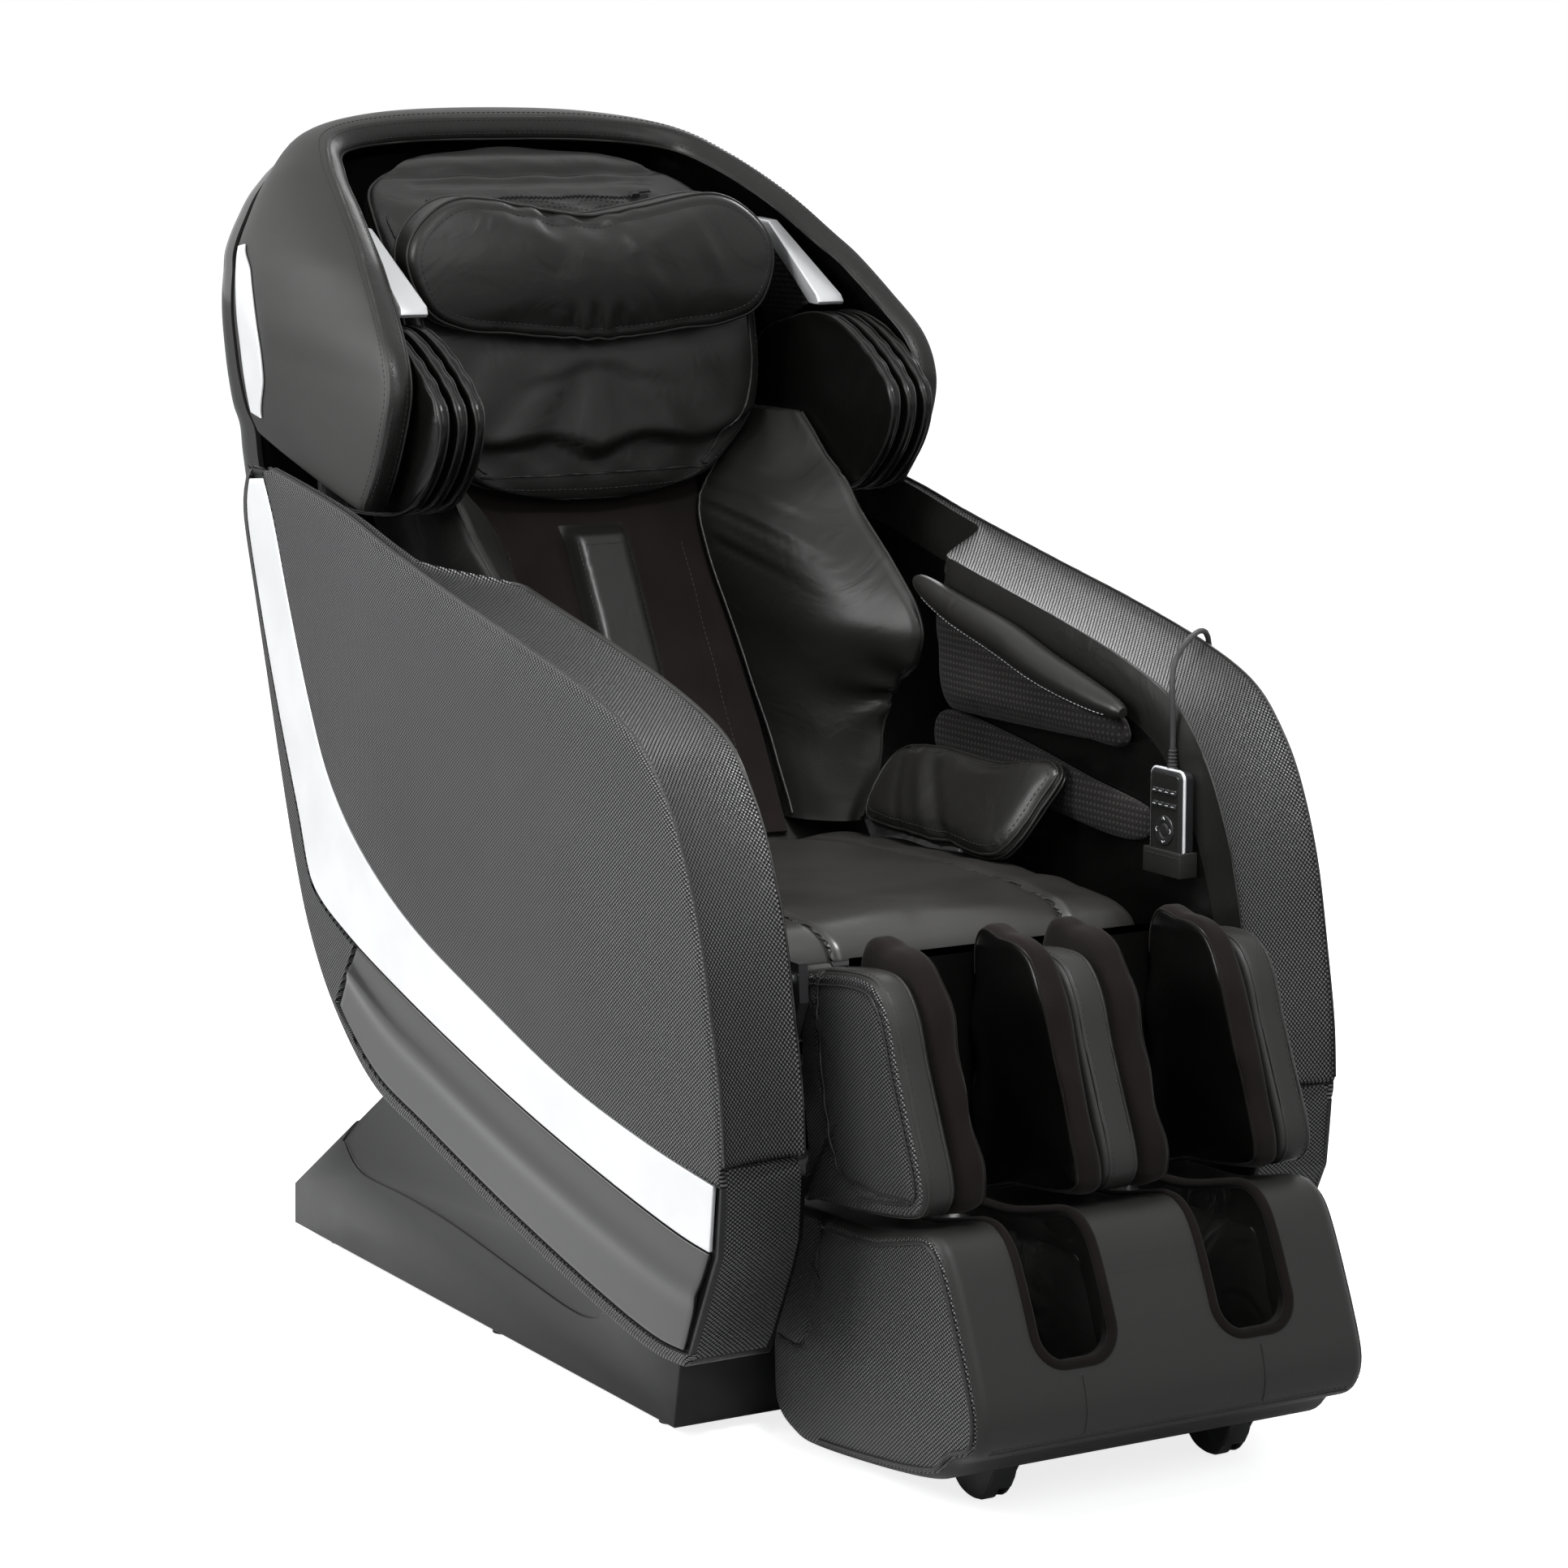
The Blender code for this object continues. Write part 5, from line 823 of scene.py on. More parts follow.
def lie_on(line, tree, lift=0.0):
    """Moves a line onto a surface, and returns its points and the surface's normals."""
    placed_points, normals = [], []
    for point in line:
        spot, normal, _, _ = tree.find_nearest(Vector(point))
        placed_points.append(spot + normal * lift)
        normals.append(normal)
    return placed_points, normals


def on_skin(line, tree, lift=0.0):
    """The points of a line moved onto a surface."""
    return lie_on(line, tree, lift)[0]


def stitch_row(line, tree):
    """A row for sew: a line just above a surface, and the surface's normals along it."""
    return lie_on(line, tree, THREAD_LIFT)


def sew(name, lines, body, finish="thread"):
    """Rows of stitches, each row a line and the surface normals along it, as one piece."""
    look = bpy.context.scene.chair_look
    points, faces = [], []
    for line, normals in lines:
        length = polyline_length(line)
        count = max(int(length / look.stitch_pitch), 2)
        spots = even([Vector(p) for p in line], count * 4 + 1)
        ups = [Vector(n) for n in normals]
        for index in range(count):
            first = spots[index * 4]
            last = spots[index * 4 + 3]
            axis = last - first
            if axis.length < 1e-5:
                continue
            up = ups[min(int((index + 0.4) / count * len(ups)), len(ups) - 1)]
            half = 0.5 * look.stitch_width
            side = axis.cross(up).normalized() * half
            rise = up * (0.75 * half)
            start = len(points)
            points.append(first - rise * 0.6)
            for share in (0.22, 0.78):
                middle = first.lerp(last, share)
                points += [middle + side, middle + rise, middle - side, middle - rise]
            points.append(last - rise * 0.6)
            for step in range(4):
                after = (step + 1) % 4
                faces.append((start, start + 1 + step, start + 1 + after))
                faces.append((start + 1 + step, start + 5 + step, start + 5 + after, start + 1 + after))
                faces.append((start + 5 + step, start + 9, start + 5 + after))
    made = raw_piece(name, points, faces, [finish])
    soften(made, 60)
    return settle(made, body)


def pipe(name, lines, radius, finish, body, closed=False, sides=8):
    """Piping or cord laid along lines, as one piece."""
    points, faces = [], []
    for line in lines:
        line = [Vector(p) for p in line]
        total = len(line)
        start = len(points)
        over = None
        for index, point in enumerate(line):
            before = line[index - 1] if index or closed else line[0]
            after = line[(index + 1) % total] if index < total - 1 or closed else line[-1]
            axis = (after - before).normalized()
            if over is None:
                helper = Vector((0, 0, 1)) if abs(axis.z) < 0.9 else Vector((1, 0, 0))
                over = axis.cross(helper).normalized()
            over = (over - axis * over.dot(axis)).normalized()
            across = axis.cross(over)
            for step in range(sides):
                turn = 2 * math.pi * step / sides
                points.append(point + over * (radius * math.cos(turn)) + across * (radius * math.sin(turn)))
        for level in range(total if closed else total - 1):
            low = start + level * sides
            high = start + ((level + 1) % total) * sides
            for step in range(sides):
                after = (step + 1) % sides
                faces.append((low + step, low + after, high + after, high + step))
        if not closed:
            faces.append(tuple(start + step for step in range(sides))[::-1])
            faces.append(tuple(start + (total - 1) * sides + step for step in range(sides)))
    made = raw_piece(name, points, faces, [finish])
    soften(made, 60)
    return settle(made, body)


def pad_shape(outline, low, high, radius, place, crown=(0.0, 0.0), turns=6, fill_rings=9):
    """Points and ring count of a full pad: round edges, and faces that swell towards the middle."""
    outline = anticlockwise([Vector(p) for p in outline])
    centre = sum(outline, Vector((0, 0))) / len(outline)
    rings = []

    def ring(pull, shrink, height):
        drawn = inset(outline, pull) if pull > 1e-6 else outline
        rings.append([place(*(centre + (p - centre) * shrink), height) for p in drawn])

    def swell(share):
        return 1 - share ** 2.4

    shares = [0.04 + 0.96 * (index / fill_rings) ** 0.8 for index in range(fill_rings)]
    for share in shares:
        ring(radius, share, low - crown[0] * swell(share))
    for step in range(turns + 1):
        turn = math.radians(90 * step / turns)
        ring(radius * (1 - math.sin(turn)), 1.0, low + radius * (1 - math.cos(turn)))
    for step in range(turns, -1, -1):
        turn = math.radians(90 * step / turns)
        ring(radius * (1 - math.sin(turn)), 1.0, high - radius * (1 - math.cos(turn)))
    for share in shares[::-1]:
        ring(radius, share, high + crown[1] * swell(share))
    return rings


def pad_piece(name, outline, low, high, radius, place, finishes, crown=(0.0, 0.0), kind_of=None, turns=6,
              fill_rings=9):
    """A pad as one piece; kind_of(level, levels) picks the finish of each ring of faces."""
    rings = pad_shape(outline, low, high, radius, place, crown, turns, fill_rings)
    size = len(rings[0])
    faces = grid_faces(len(rings), size)
    kinds = None
    if kind_of:
        kinds = [kind_of(face // size, len(rings) - 1) for face in range((len(rings) - 1) * size)]
        kinds += [kind_of(0, len(rings) - 1), kind_of(len(rings) - 2, len(rings) - 1)]
    return raw_piece(name, [p for ring in rings for p in ring], faces, finishes, kinds)


PUFF_FRAMES = 20


def puff(made, voxel, pressure, cap):
    """Swells a pad as its filling would: an even skin, a short cloth run, and no point moved past the cap."""
    choose(made)
    made.data.remesh_voxel_size = voxel
    bpy.ops.object.voxel_remesh()
    modify(made, "SMOOTH", factor=0.5, iterations=8)
    before = positions(made)
    bpy.ops.object.modifier_add(type="CLOTH")
    cloth = made.modifiers[-1]
    cloth.settings.use_pressure = True
    cloth.settings.uniform_pressure_force = pressure
    cloth.settings.effector_weights.gravity = 0.0
    cloth.settings.quality = 5
    cloth.point_cache.frame_start = 1
    cloth.point_cache.frame_end = PUFF_FRAMES
    for step in range(1, PUFF_FRAMES + 1):
        bpy.context.scene.frame_set(step)
    bpy.ops.object.modifier_apply(modifier=cloth.name)
    bpy.context.scene.frame_set(1)
    after = positions(made)
    moved = after - before
    length = np.linalg.norm(moved, axis=1)
    share = np.where(length > cap, cap / np.maximum(length, 1e-9), 1.0)
    move_to(made, before + moved * share[:, None])
    modify(made, "SMOOTH", factor=0.5, iterations=3)
    modify(made, "SUBSURF", levels=1, render_levels=1)
    soften(made, 60)
    return made


def keep_finish(made, finish):
    made.data.materials.clear()
    made.data.materials.append(FINISHES[finish])


# ---------------------------------------------------------------- handset cord and the frame's own pieces
def make_cord():
    curve = bpy.data.curves.new("cord_lead", "CURVE")
    curve.dimensions = "3D"
    curve.bevel_depth = CORD_RADIUS
    curve.bevel_resolution = 5
    curve.use_fill_caps = True
    route = smooth(CORD_ROUTE, 56)
    line = curve.splines.new("POLY")
    line.points.add(len(route) - 1)
    for point, place in zip(line.points, route):
        point.co = (*place, 1.0)
    curve.materials.append(FINISHES["rubber"])
    made = bpy.data.objects.new("cord_lead", curve)
    bpy.context.collection.objects.link(made)
    settle(made, "seat", ["handset_cord"])
    round(polyline_length(route), 4)


FRAME_FINISH = {"vinyl_weave": "vinyl", "leather_black": "leather", "suede_brown": "suede",
                "mesh_black": "mesh",
                "silver_trim": "silver", "gloss_black": "gloss", "plastic_black": "plastic",
                "steel_black": "steel", "steel_bright": "bright steel", "rubber_black": "rubber",
                "motor_grey": "motor", "key_grey": "keys"}


def finish_frame():
    """Gives each piece of the frame the finish of its slot."""
    for name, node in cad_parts.items():
        for place in node.material_slots:
            label = place.material.name.split(".")[0] if place.material else ""
            place.material = FINISHES[FRAME_FINISH.get(label, "steel")]


# ---------------------------------------------------------------- arms
def arm_half(y, z):
    """Outer half width of an arm at a place on its side."""
    length_share = max(0.0, 1 - ((y - 0.02) / 0.56) ** 2)
    height_share = max(0.0, 1 - ((z - 0.50) / 0.42) ** 2)
    return ARM_SEAM_HALF + ARM_BULGE * length_share * height_share


def arm_inner(y, z):
    """Inner half width: deep beside the seat, thin beside the base and the backrest."""
    beside_seat = max(1 - ease(-0.405, -0.350, y), ease(0.300, 0.345, z))
    inner = ARM_SKIRT_HALF + (ARM_INNER_HALF - ARM_SKIRT_HALF) * beside_seat
    return inner + (ARM_REAR_HALF - inner) * ease(0.060, 0.140, y)


class ArmSide:
    """The arm's side as a patch: u runs from the rear top to the front, v from the top edge down.

    v is 0 at the top seam, 1 and 2 at the stripe's edges and 3 at the bottom edge.
    """

    def __init__(self):
        outlines = (ARM_TOP, STRIPE_TOP, STRIPE_BOTTOM, ARM_BOTTOM)
        self.lines = [smooth(outline, 97) for outline in outlines]
        self.length = polyline_length(self.lines[0])
        self.margin = TRIM_MARGIN / self.length
        inner = [self.margin + (1 - 2 * self.margin) * i / 120 for i in range(121)]
        ends = [self.margin * share for share in (0.0, 0.15, 0.45, 0.8)]
        stations = ends + inner + [1 - end for end in ends] + [LOWER_FROM - 0.0012, LOWER_FROM + 0.0004]
        self.stations = sorted(stations)

    def place(self, u, v):
        level = min(int(v), 2)
        return along(self.lines[level], u).lerp(along(self.lines[level + 1], u), v - level)

    def height(self, u, level):
        return max((along(self.lines[level + 1], u) - along(self.lines[level], u)).length, 1e-4)

    def outer(self, u, v, depth=0.0):
        spot = self.place(u, v)
        return Vector((arm_half(spot.x, spot.y) - depth, spot.x, spot.y))

    def inner(self, u, v):
        spot = self.place(u, v)
        return Vector((arm_inner(spot.x, spot.y), spot.x, spot.y))

    def outward(self, u):
        ahead = along(self.lines[0], min(u + 0.01, 1.0)) - along(self.lines[0], max(u - 0.01, 0.0))
        return Vector((ahead.y, -ahead.x)).normalized()

    def band(self, u, share, dip=0.0):
        """The top band: share 0 at the outer seam, 1 at its inner edge."""
        seam = self.outer(u, 0.0)
        out = self.outward(u)
        width = seam.x - arm_inner(seam.y, seam.z)
        rise = BAND_RISE * width / (ARM_SEAM_HALF - ARM_INNER_HALF) * math.sin(share * 1.9) * 1.05 - dip
        return Vector((seam.x - width * share, seam.y - out.x * rise, seam.z - out.y * rise))

    def recess(self, u, v):
        """Depth of the trim's recess."""
        ends = ease(0.15 * self.margin, 0.85 * self.margin, min(u, 1 - u))
        top = ease(1.0, 1 + 0.5 * STEP_V, v)
        if u >= LOWER_FROM:
            stop = 1 - ease(3 - BORDER_V, 3 - 0.9 * BORDER_V, v)
        else:
            stop = 1 - ease(2 + 1.0 * STEP_V, 2 + 1.6 * STEP_V, v)
        return TRIM_RECESS * ends * top * stop


SEAM_DIP = 0.0030
ARM_STITCH_FROM_SEAM = 0.0055
ARM_PAD_BAND = 0.066        # height of the padded leather band inside the arm's top
ARM_PAD_ROWS = (0.8, 0.6, 0.4, 0.24, 0.1)  # shares of that height
END_ROUND = 0.008
BAND_SHARES = (1.0, 0.985, 0.96, 0.92, 0.86, 0.76, 0.64, 0.5, 0.36, 0.24, 0.15, 0.09, 0.05, 0.02)


def arm_rows(arm, u):
    """The v of each row down the outer side."""
    height = arm.height(u, 0)
    near = [min(d / height, 0.05 * (k + 1)) for k, d in enumerate((0.0015, 0.0035, 0.0065, 0.011, 0.018))]
    side = [near[-1] + (0.985 - near[-1]) * k / 17 for k in range(1, 18)]
    stripe = [1.0, 1 + 0.2 * STEP_V, 1 + 0.5 * STEP_V, 1.1, 1.3, 1.5, 1.7, 1.9, 2.0]
    lower = [2 + STEP_V, 2 + 1.25 * STEP_V, 2 + 1.6 * STEP_V, 2.15, 2.3, 2.5, 2.7, 3 - 1.2 * BORDER_V,
             3 - BORDER_V, 3 - 0.95 * BORDER_V, 3 - 0.9 * BORDER_V, 3 - 0.6 * BORDER_V, 3 - 0.3 * BORDER_V,
             3 - 0.1 * BORDER_V, 3.0]
    return near + side + stripe + lower


def arm_ring(arm, u):
    """The points round an arm, and for each the part that it lies on and how far along that it is."""
    seam = arm.outer(u, 0.0)
    width = seam.x - arm_inner(seam.y, seam.z)
    out = arm.outward(u)
    ring, places = [], []
    for share in BAND_SHARES:
        edge = 0.0035 * math.exp(-(1 - share) * width / 0.005)
        edge += SEAM_DIP * math.exp(-share * width / 0.005)
        ring.append(arm.band(u, share, edge))
        places.append(("band", share * width))
    ring.append(seam - Vector((SEAM_DIP, 0, 0)) + Vector((0, out.x, out.y)) * SEAM_DIP)
    places.append(("seam", 0.0))
    for v in arm_rows(arm, u):
        depth = arm.recess(u, v)
        if v < 1:
            depth += SEAM_DIP * math.exp(-v * arm.height(u, 0) / 0.005)
            depth += 0.0016 * math.exp(-(1 - v) * arm.height(u, 0) / 0.0025)
        elif v > 2.7:
            depth += 0.003 * math.exp(-(3 - v) * arm.height(u, 2) / 0.003)
        ring.append(arm.outer(u, v, depth))
        places.append(("side", v))
    pad_edge = min(0.92, ARM_PAD_BAND / arm.height(u, 0))
    for v in ([3.0, 2.8, 2.5, 2.2, 1.9, 1.6, 1.3, 1.1] + [1 - (1 - pad_edge) * k / 4 for k in range(1, 5)]
              + [pad_edge * row for row in ARM_PAD_ROWS]):
        spot = arm.inner(u, v)
        if v < 1:
            down = v * arm.height(u, 0)
            beside = ease(-0.44, -0.36, spot.y) * (1 - ease(0.05, 0.11, spot.y))
            spot.x -= 0.0075 * beside * math.sin(math.pi * min(down / ARM_PAD_BAND, 1.0)) ** 0.8
        ring.append(spot)
        places.append(("inner", v))
    turn = max(0.0, 1 - min(u, 1 - u) * arm.length / END_ROUND)
    pull = END_ROUND * (1 - math.sqrt(max(0.0, 1 - turn ** 2)))
    for index, (part, where) in enumerate(places):
        spot = ring[index]
        from_top = {"band": 0.0, "seam": 0.0, "side": (seam - spot).length,
                    "inner": abs(where) * arm.height(u, 0)}[part]
        lift = math.exp(-from_top / 0.012)
        foot = math.exp(-(3 - where) * arm.height(u, 2) / 0.012) if part != "band" else 0.0
        share = where / max(width, 0.001) if part == "band" else 1.0 if part == "inner" else 0.0
        ring[index] = spot + Vector((pull * (2 * share - 1), -out.x * pull * lift,
                                     -out.y * pull * lift + pull * foot))
    return ring, places


def arm_kinds(arm, places):
    """Which finish each face of an arm has: 0 vinyl, 1 plastic, 2 padded band, 3 the rest of the inner wall,
    in the darker leather that paints shade there.
    """
    size = len(places)
    kinds = []
    for before, after in zip(arm.stations, arm.stations[1:]):
        stop = 3 - 0.95 * BORDER_V if 0.5 * (before + after) >= LOWER_FROM else 2 + 1.3 * STEP_V
        for index in range(size):
            first, second = places[index], places[(index + 1) % size]
            if "inner" in (first[0], second[0]):
                kinds.append(2 if index >= size - len(ARM_PAD_ROWS) - 1 else 3)
            else:
                on_side_rows = first[0] == second[0] == "side" and first[1] >= 1.0
                kinds.append(1 if on_side_rows and 0.5 * (first[1] + second[1]) < stop else 0)
    return kinds + [0, 0]


def make_arm(arm, word, side):
    points, flat_band, flat_side = [], [], []
    arc = 0.0
    last_seam = None
    for u in arm.stations:
        seam = arm.outer(u, 0.0)
        arc += (seam - last_seam).length if last_seam else 0.0
        last_seam = seam
        ring, places = arm_ring(arm, u)
        points += [Vector((p.x * side, p.y, p.z)) for p in ring]
        flat_band += [(arc, place[1]) for place in places]
        flat_side += [(p.y, p.z) for p in ring]
    size = len(places)
    # The inner wall below the padded band takes the darker leather: painted shade.
    made = raw_piece("arm_upholstery_" + word, points, grid_faces(len(arm.stations), size),
                     ["vinyl", "plastic", "leather", "leather with painted shade"], arm_kinds(arm, places))

    def pattern(face, vertex):
        if len(face.vertices) > 4:
            spot = made.data.vertices[vertex].co
            return spot.x, spot.z
        index = min(corner % size for corner in face.vertices)
        others = max(corner % size for corner in face.vertices)
        if others <= len(BAND_SHARES) and index < len(BAND_SHARES):
            return flat_band[vertex]
        return flat_side[vertex]

    lay_pattern(made, pattern)
    soften(made, 38)
    settle(made, "seat", ["side_panel_" + word])
    return made


def arm_seams(arm, word, side, skin):
    """Stitch rows beside the band's two seams and along the lower border, and piping in the seams."""
    tree = surface_of(skin)
    spots = [0.006 + 0.988 * index / 220 for index in range(221)]

    def width(u, spot):
        return arm.outer(u, 0.0).x - arm_inner(spot.y, spot.z)

    def row(line):
        return stitch_row([(spot.x * side, spot.y, spot.z) for spot in line], tree)

    inner_line = [(arm.band(u, 1.0), u) for u in spots if along(arm.lines[0], u).x < 0.075]
    rows = [row([arm.outer(u, min(ARM_STITCH_FROM_SEAM / arm.height(u, 0), 0.3)) for u in spots]),
            row([arm.band(u, min(ARM_STITCH_FROM_SEAM / width(u, arm.outer(u, 0.0)), 0.5)) for u in spots]),
            row([arm.band(u, 1.0 - 0.006 / max(width(u, spot), 0.02)) for spot, u in inner_line]),
            row([arm.outer(u, 3 - 0.45 * BORDER_V) for u in spots if LOWER_FROM + 0.01 < u < 0.985])]
    sew("arm_stitching_" + word, rows, "seat")
    seam_line = []
    for u in spots:
        spot, out = arm.outer(u, 0.0), arm.outward(u)
        seam_line.append(((spot.x - SEAM_DIP - 0.0002) * side, spot.y + out.x * SEAM_DIP,
                          spot.z + out.y * SEAM_DIP))
    inner_pipe = [((spot.x + 0.0004) * side, spot.y + arm.outward(u).x * 0.0032,
                   spot.z + arm.outward(u).y * 0.0032) for spot, u in inner_line]
    pipe("arm_piping_" + word, [seam_line, inner_pipe], 0.0013, "hood leather", "seat", sides=6)


def trim_plate(name, side, across, over, place, thickness, finish, body, stands_for, edge=0.0011):
    """A thin plate: a grid laid over the surface, thickened inwards, with its edges rounded off."""
    bpy.ops.object.select_all(action="DESELECT")
    bpy.ops.mesh.primitive_grid_add(x_subdivisions=across, y_subdivisions=over, size=1.0)
    made = bpy.context.active_object
    made.name = name
    made.data.name = name
    for vertex in made.data.vertices:
        vertex.co = place(vertex.co.x + 0.5, vertex.co.y + 0.5)
    made.data.update()
    middle = made.data.polygons[len(made.data.polygons) // 2]
    if middle.normal.x * side < 0:
        made.data.flip_normals()
    modify(made, "SOLIDIFY", thickness=thickness, offset=-1.0)
    round_edges(made, edge, 3, 50)
    made.data.materials.append(FINISHES[finish])
    soften(made, 45)
    return settle(made, body, stands_for)


def arm_trim(arm, word, side):
    first = 1.12 * arm.margin
    last = 1 - 1.12 * arm.margin

    def on_stripe(across, over):
        u = first + (last - first) * across
        v = 1 + 0.75 * STEP_V + (1 - 1.15 * STEP_V) * over
        spot = arm.outer(u, v, 0.0)
        return Vector((spot.x * side, spot.y, spot.z))

    def on_lower(across, over):
        u = LOWER_FROM + 0.55 * arm.margin + (last - LOWER_FROM - 0.55 * arm.margin) * across
        v = 2 + 0.25 * STEP_V + (1 - 1.1 * BORDER_V - 0.25 * STEP_V) * over
        ridge = 0.0030 * math.exp(-((v - 2.36) / 0.10) ** 2) - 0.0015 * ease(2.36, 2.9, v)
        spot = arm.outer(u, v, -ridge)
        return Vector((spot.x * side, spot.y, spot.z))

    trim_plate("arm_stripe_" + word, side, 150, 14, on_stripe, 0.0045, "silver", "seat",
               ["side_stripe_" + word])
    trim_plate("arm_lower_panel_" + word, side, 90, 24, on_lower, 0.0045, "gloss", "seat",
               ["lower_panel_" + word])


# ---------------------------------------------------------------- hood and back cover
def both_sides(table):
    return table + [(-x, y, z) for x, y, z in table[-2::-1]]


HOOD_RIM = both_sides(SHELL_RIM)
HOOD_REAR = both_sides(SHELL_REAR)
HOOD_LAST = len(HOOD_RIM) - 1


def hood_normal(spot):
    before, after = max(spot - 0.6, 0.0), min(spot + 0.6, HOOD_LAST)
    up = Vector(through(HOOD_RIM, after) + through(HOOD_REAR, after)
                - through(HOOD_RIM, before) - through(HOOD_REAR, before))
    depth = Vector(through(HOOD_REAR, spot) - through(HOOD_RIM, spot))
    out = up.cross(depth).normalized()
    away = Vector(through(HOOD_RIM, spot) + through(HOOD_REAR, spot)) - Vector((0, 0.9, 1.9))
    return out if out.dot(Vector((away.x, 0, away.z))) > 0 else -out


def hood_surface(spot, share, inwards=0.0):
    """A place on the hood: share 0 at the front rim, 1 at the rear edge."""
    rim, rear = Vector(through(HOOD_RIM, spot)), Vector(through(HOOD_REAR, spot))
    level = min(spot, HOOD_LAST - spot)
    parts = SHELL_LOW_CROWN + (1.0, 1.0)
    low = min(int(level), len(parts) - 2)
    part = parts[low] + (parts[low + 1] - parts[low]) * min(level - low, 1.0)
    swell = SHELL_CROWN * part * 4 * share * (1 - share)
    return rim.lerp(rear, share) + hood_normal(spot) * (swell - inwards)


HOOD_SPOTS = [HOOD_LAST * index / 190 for index in range(191)]
HOOD_SHARES = (0.0, 0.006, 0.014, 0.026, 0.045, 0.075, 0.12, 0.18, 0.26, 0.34, 0.43, 0.52, 0.61, 0.70, 0.78,
               0.86,
               0.92, 0.96, 0.985, 1.0)


def hood_depth(spot):
    """The way from the hood's front rim to its rear edge, and how far that is."""
    span = hood_surface(spot, 1.0) - hood_surface(spot, 0.0)
    return span.normalized(), span.length


def make_hood():
    points, kinds = [], []
    face_steps = [index / 10 for index in range(11)]
    for spot in HOOD_SPOTS:
        back, depth = hood_depth(spot)
        ring = []
        for step in face_steps[:-1]:
            inwards = SHELL_RIM_DEPTH * (1 - step)
            crown = 0.0045 * math.sin(math.pi * step) ** 0.7
            ring.append(hood_surface(spot, 0.0, inwards) - back * crown)
        for share in HOOD_SHARES:
            dip = 0.0026 * math.exp(-share * depth / 0.004) + 0.003 * math.exp(-(1 - share) * depth / 0.006)
            ring.append(hood_surface(spot, share, dip))
        for share in (0.995, 0.9, 0.8, 0.68, 0.56, 0.44, 0.32, 0.22, 0.14, 0.08, 0.04, 0.015):
            wall = SHELL_WALL if share > 0.05 else SHELL_WALL - 0.0004
            ring.append(hood_surface(spot, share, wall))
        points += ring
        size = len(ring)
    faces = grid_faces(len(HOOD_SPOTS), size)
    rim_faces = len(face_steps) - 1
    # Kind 2, the hood's inner wall, takes the darker leather: painted shade inside the hood.
    row_kinds = [1] * rim_faces + [0] * len(HOOD_SHARES) + [2] * (size - rim_faces - len(HOOD_SHARES))
    kinds = row_kinds * (len(HOOD_SPOTS) - 1) + [0, 0]
    made = raw_piece("hood_upholstery", points, faces, ["hood leather", "leather", "leather with painted shade"], kinds)
    round_edges(made, 0.005, 3, 62)
    soften(made, 42)
    settle(made, "back", ["head_shell"])

    tree = surface_of(made)
    sewn = HOOD_SPOTS[2:-2]
    rows = [stitch_row([hood_surface(spot, 0.0085 / hood_depth(spot)[1]) for spot in sewn], tree)]
    for inwards in (0.0055, SHELL_RIM_DEPTH - 0.0055):
        line = [hood_surface(spot, 0.0, inwards) - hood_depth(spot)[0] * 0.004 for spot in sewn]
        rows.append(stitch_row(line, tree))
    sew("hood_stitching", rows, "back")
    edges = [[hood_surface(spot, 0.0, inwards) for spot in HOOD_SPOTS[1:-1]]
             for inwards in (SHELL_RIM_DEPTH + 0.0002, 0.0026)]
    pipe("hood_piping", edges, 0.0014, "hood leather", "back", sides=6)

    for word, start, end, side in (("left", 0.95, 7.05, 1.0),
                                   ("right", HOOD_LAST - 0.95, HOOD_LAST - 7.05, -1.0)):
        def on_hood(across, over, start=start, end=end):
            taper = 0.06 * (1 - ease(0.0, 0.22, across)) + 0.07 * ease(0.80, 1.0, across)
            share = 0.785 + taper + (0.15 - taper) * over
            return hood_surface(start + (end - start) * across, share, -0.0030)

        trim_plate("hood_stripe_" + word, side, 80, 8, on_hood, 0.0026, "silver", "back",
                   ["shell_stripe_" + word], 0.0008)


def make_back_cover():
    rows = [(z, half, y) for z, half, y in COVER_SIDE_LOW]
    rows += [(z, half, y + (2 if z < 1.12 else 8) * 0.0006) for half, y, z in SHELL_REAR[:-1]]
    levels = 120
    segments = 72
    rings = []
    for level in range(levels + 1):
        z, half, side_y = through(rows, (len(rows) - 1) * level / levels)
        spot = [index for index, row in enumerate(COVER_BACK) if row[0] <= z][-1:] or [0]
        low = min(spot[0], len(COVER_BACK) - 2)
        share = min(max((z - COVER_BACK[low][0]) / (COVER_BACK[low + 1][0] - COVER_BACK[low][0]), 0.0), 1.0)
        back_y = through(COVER_BACK, low + share)[1]
        ring = []
        for wall in (0.0, COVER_WALL):
            arc = []
            for step in range(segments + 1):
                turn = math.pi * step / segments
                depth = max(math.sin(turn), 0.0) ** 0.62
                x = (half - wall) * math.cos(turn)
                y = side_y + max(back_y - wall - side_y, 0.002) * depth
                if wall == 0.0:
                    within = (1 - ease(0.150, 0.158, abs(x))) * ease(0.470, 0.480,
                                                                     z) * (1 - ease(1.165, 1.175, z))
                    y -= 0.0030 * within
                    vents = (1 - ease(0.105, 0.110, abs(x))) * ease(0.560, 0.565,
                                                                    z) * (1 - ease(0.735, 0.740, z))
                    y -= 0.0024 * vents * ease(0.15, 0.55, math.sin(z * 2 * math.pi / 0.0146))
                    crease = math.exp(-((abs(x) - 0.225) / 0.004) ** 2) * ease(0.5, 0.56, z)
                    y -= 0.0012 * crease
                arc.append(Vector((x, y, z)))
            ring += arc if wall == 0.0 else arc[::-1]
        rings.append(ring)
    made = ring_piece("back_shell", rings, ["gloss"])
    soften(made, 35)
    return settle(made, "back", ["back_cover"])


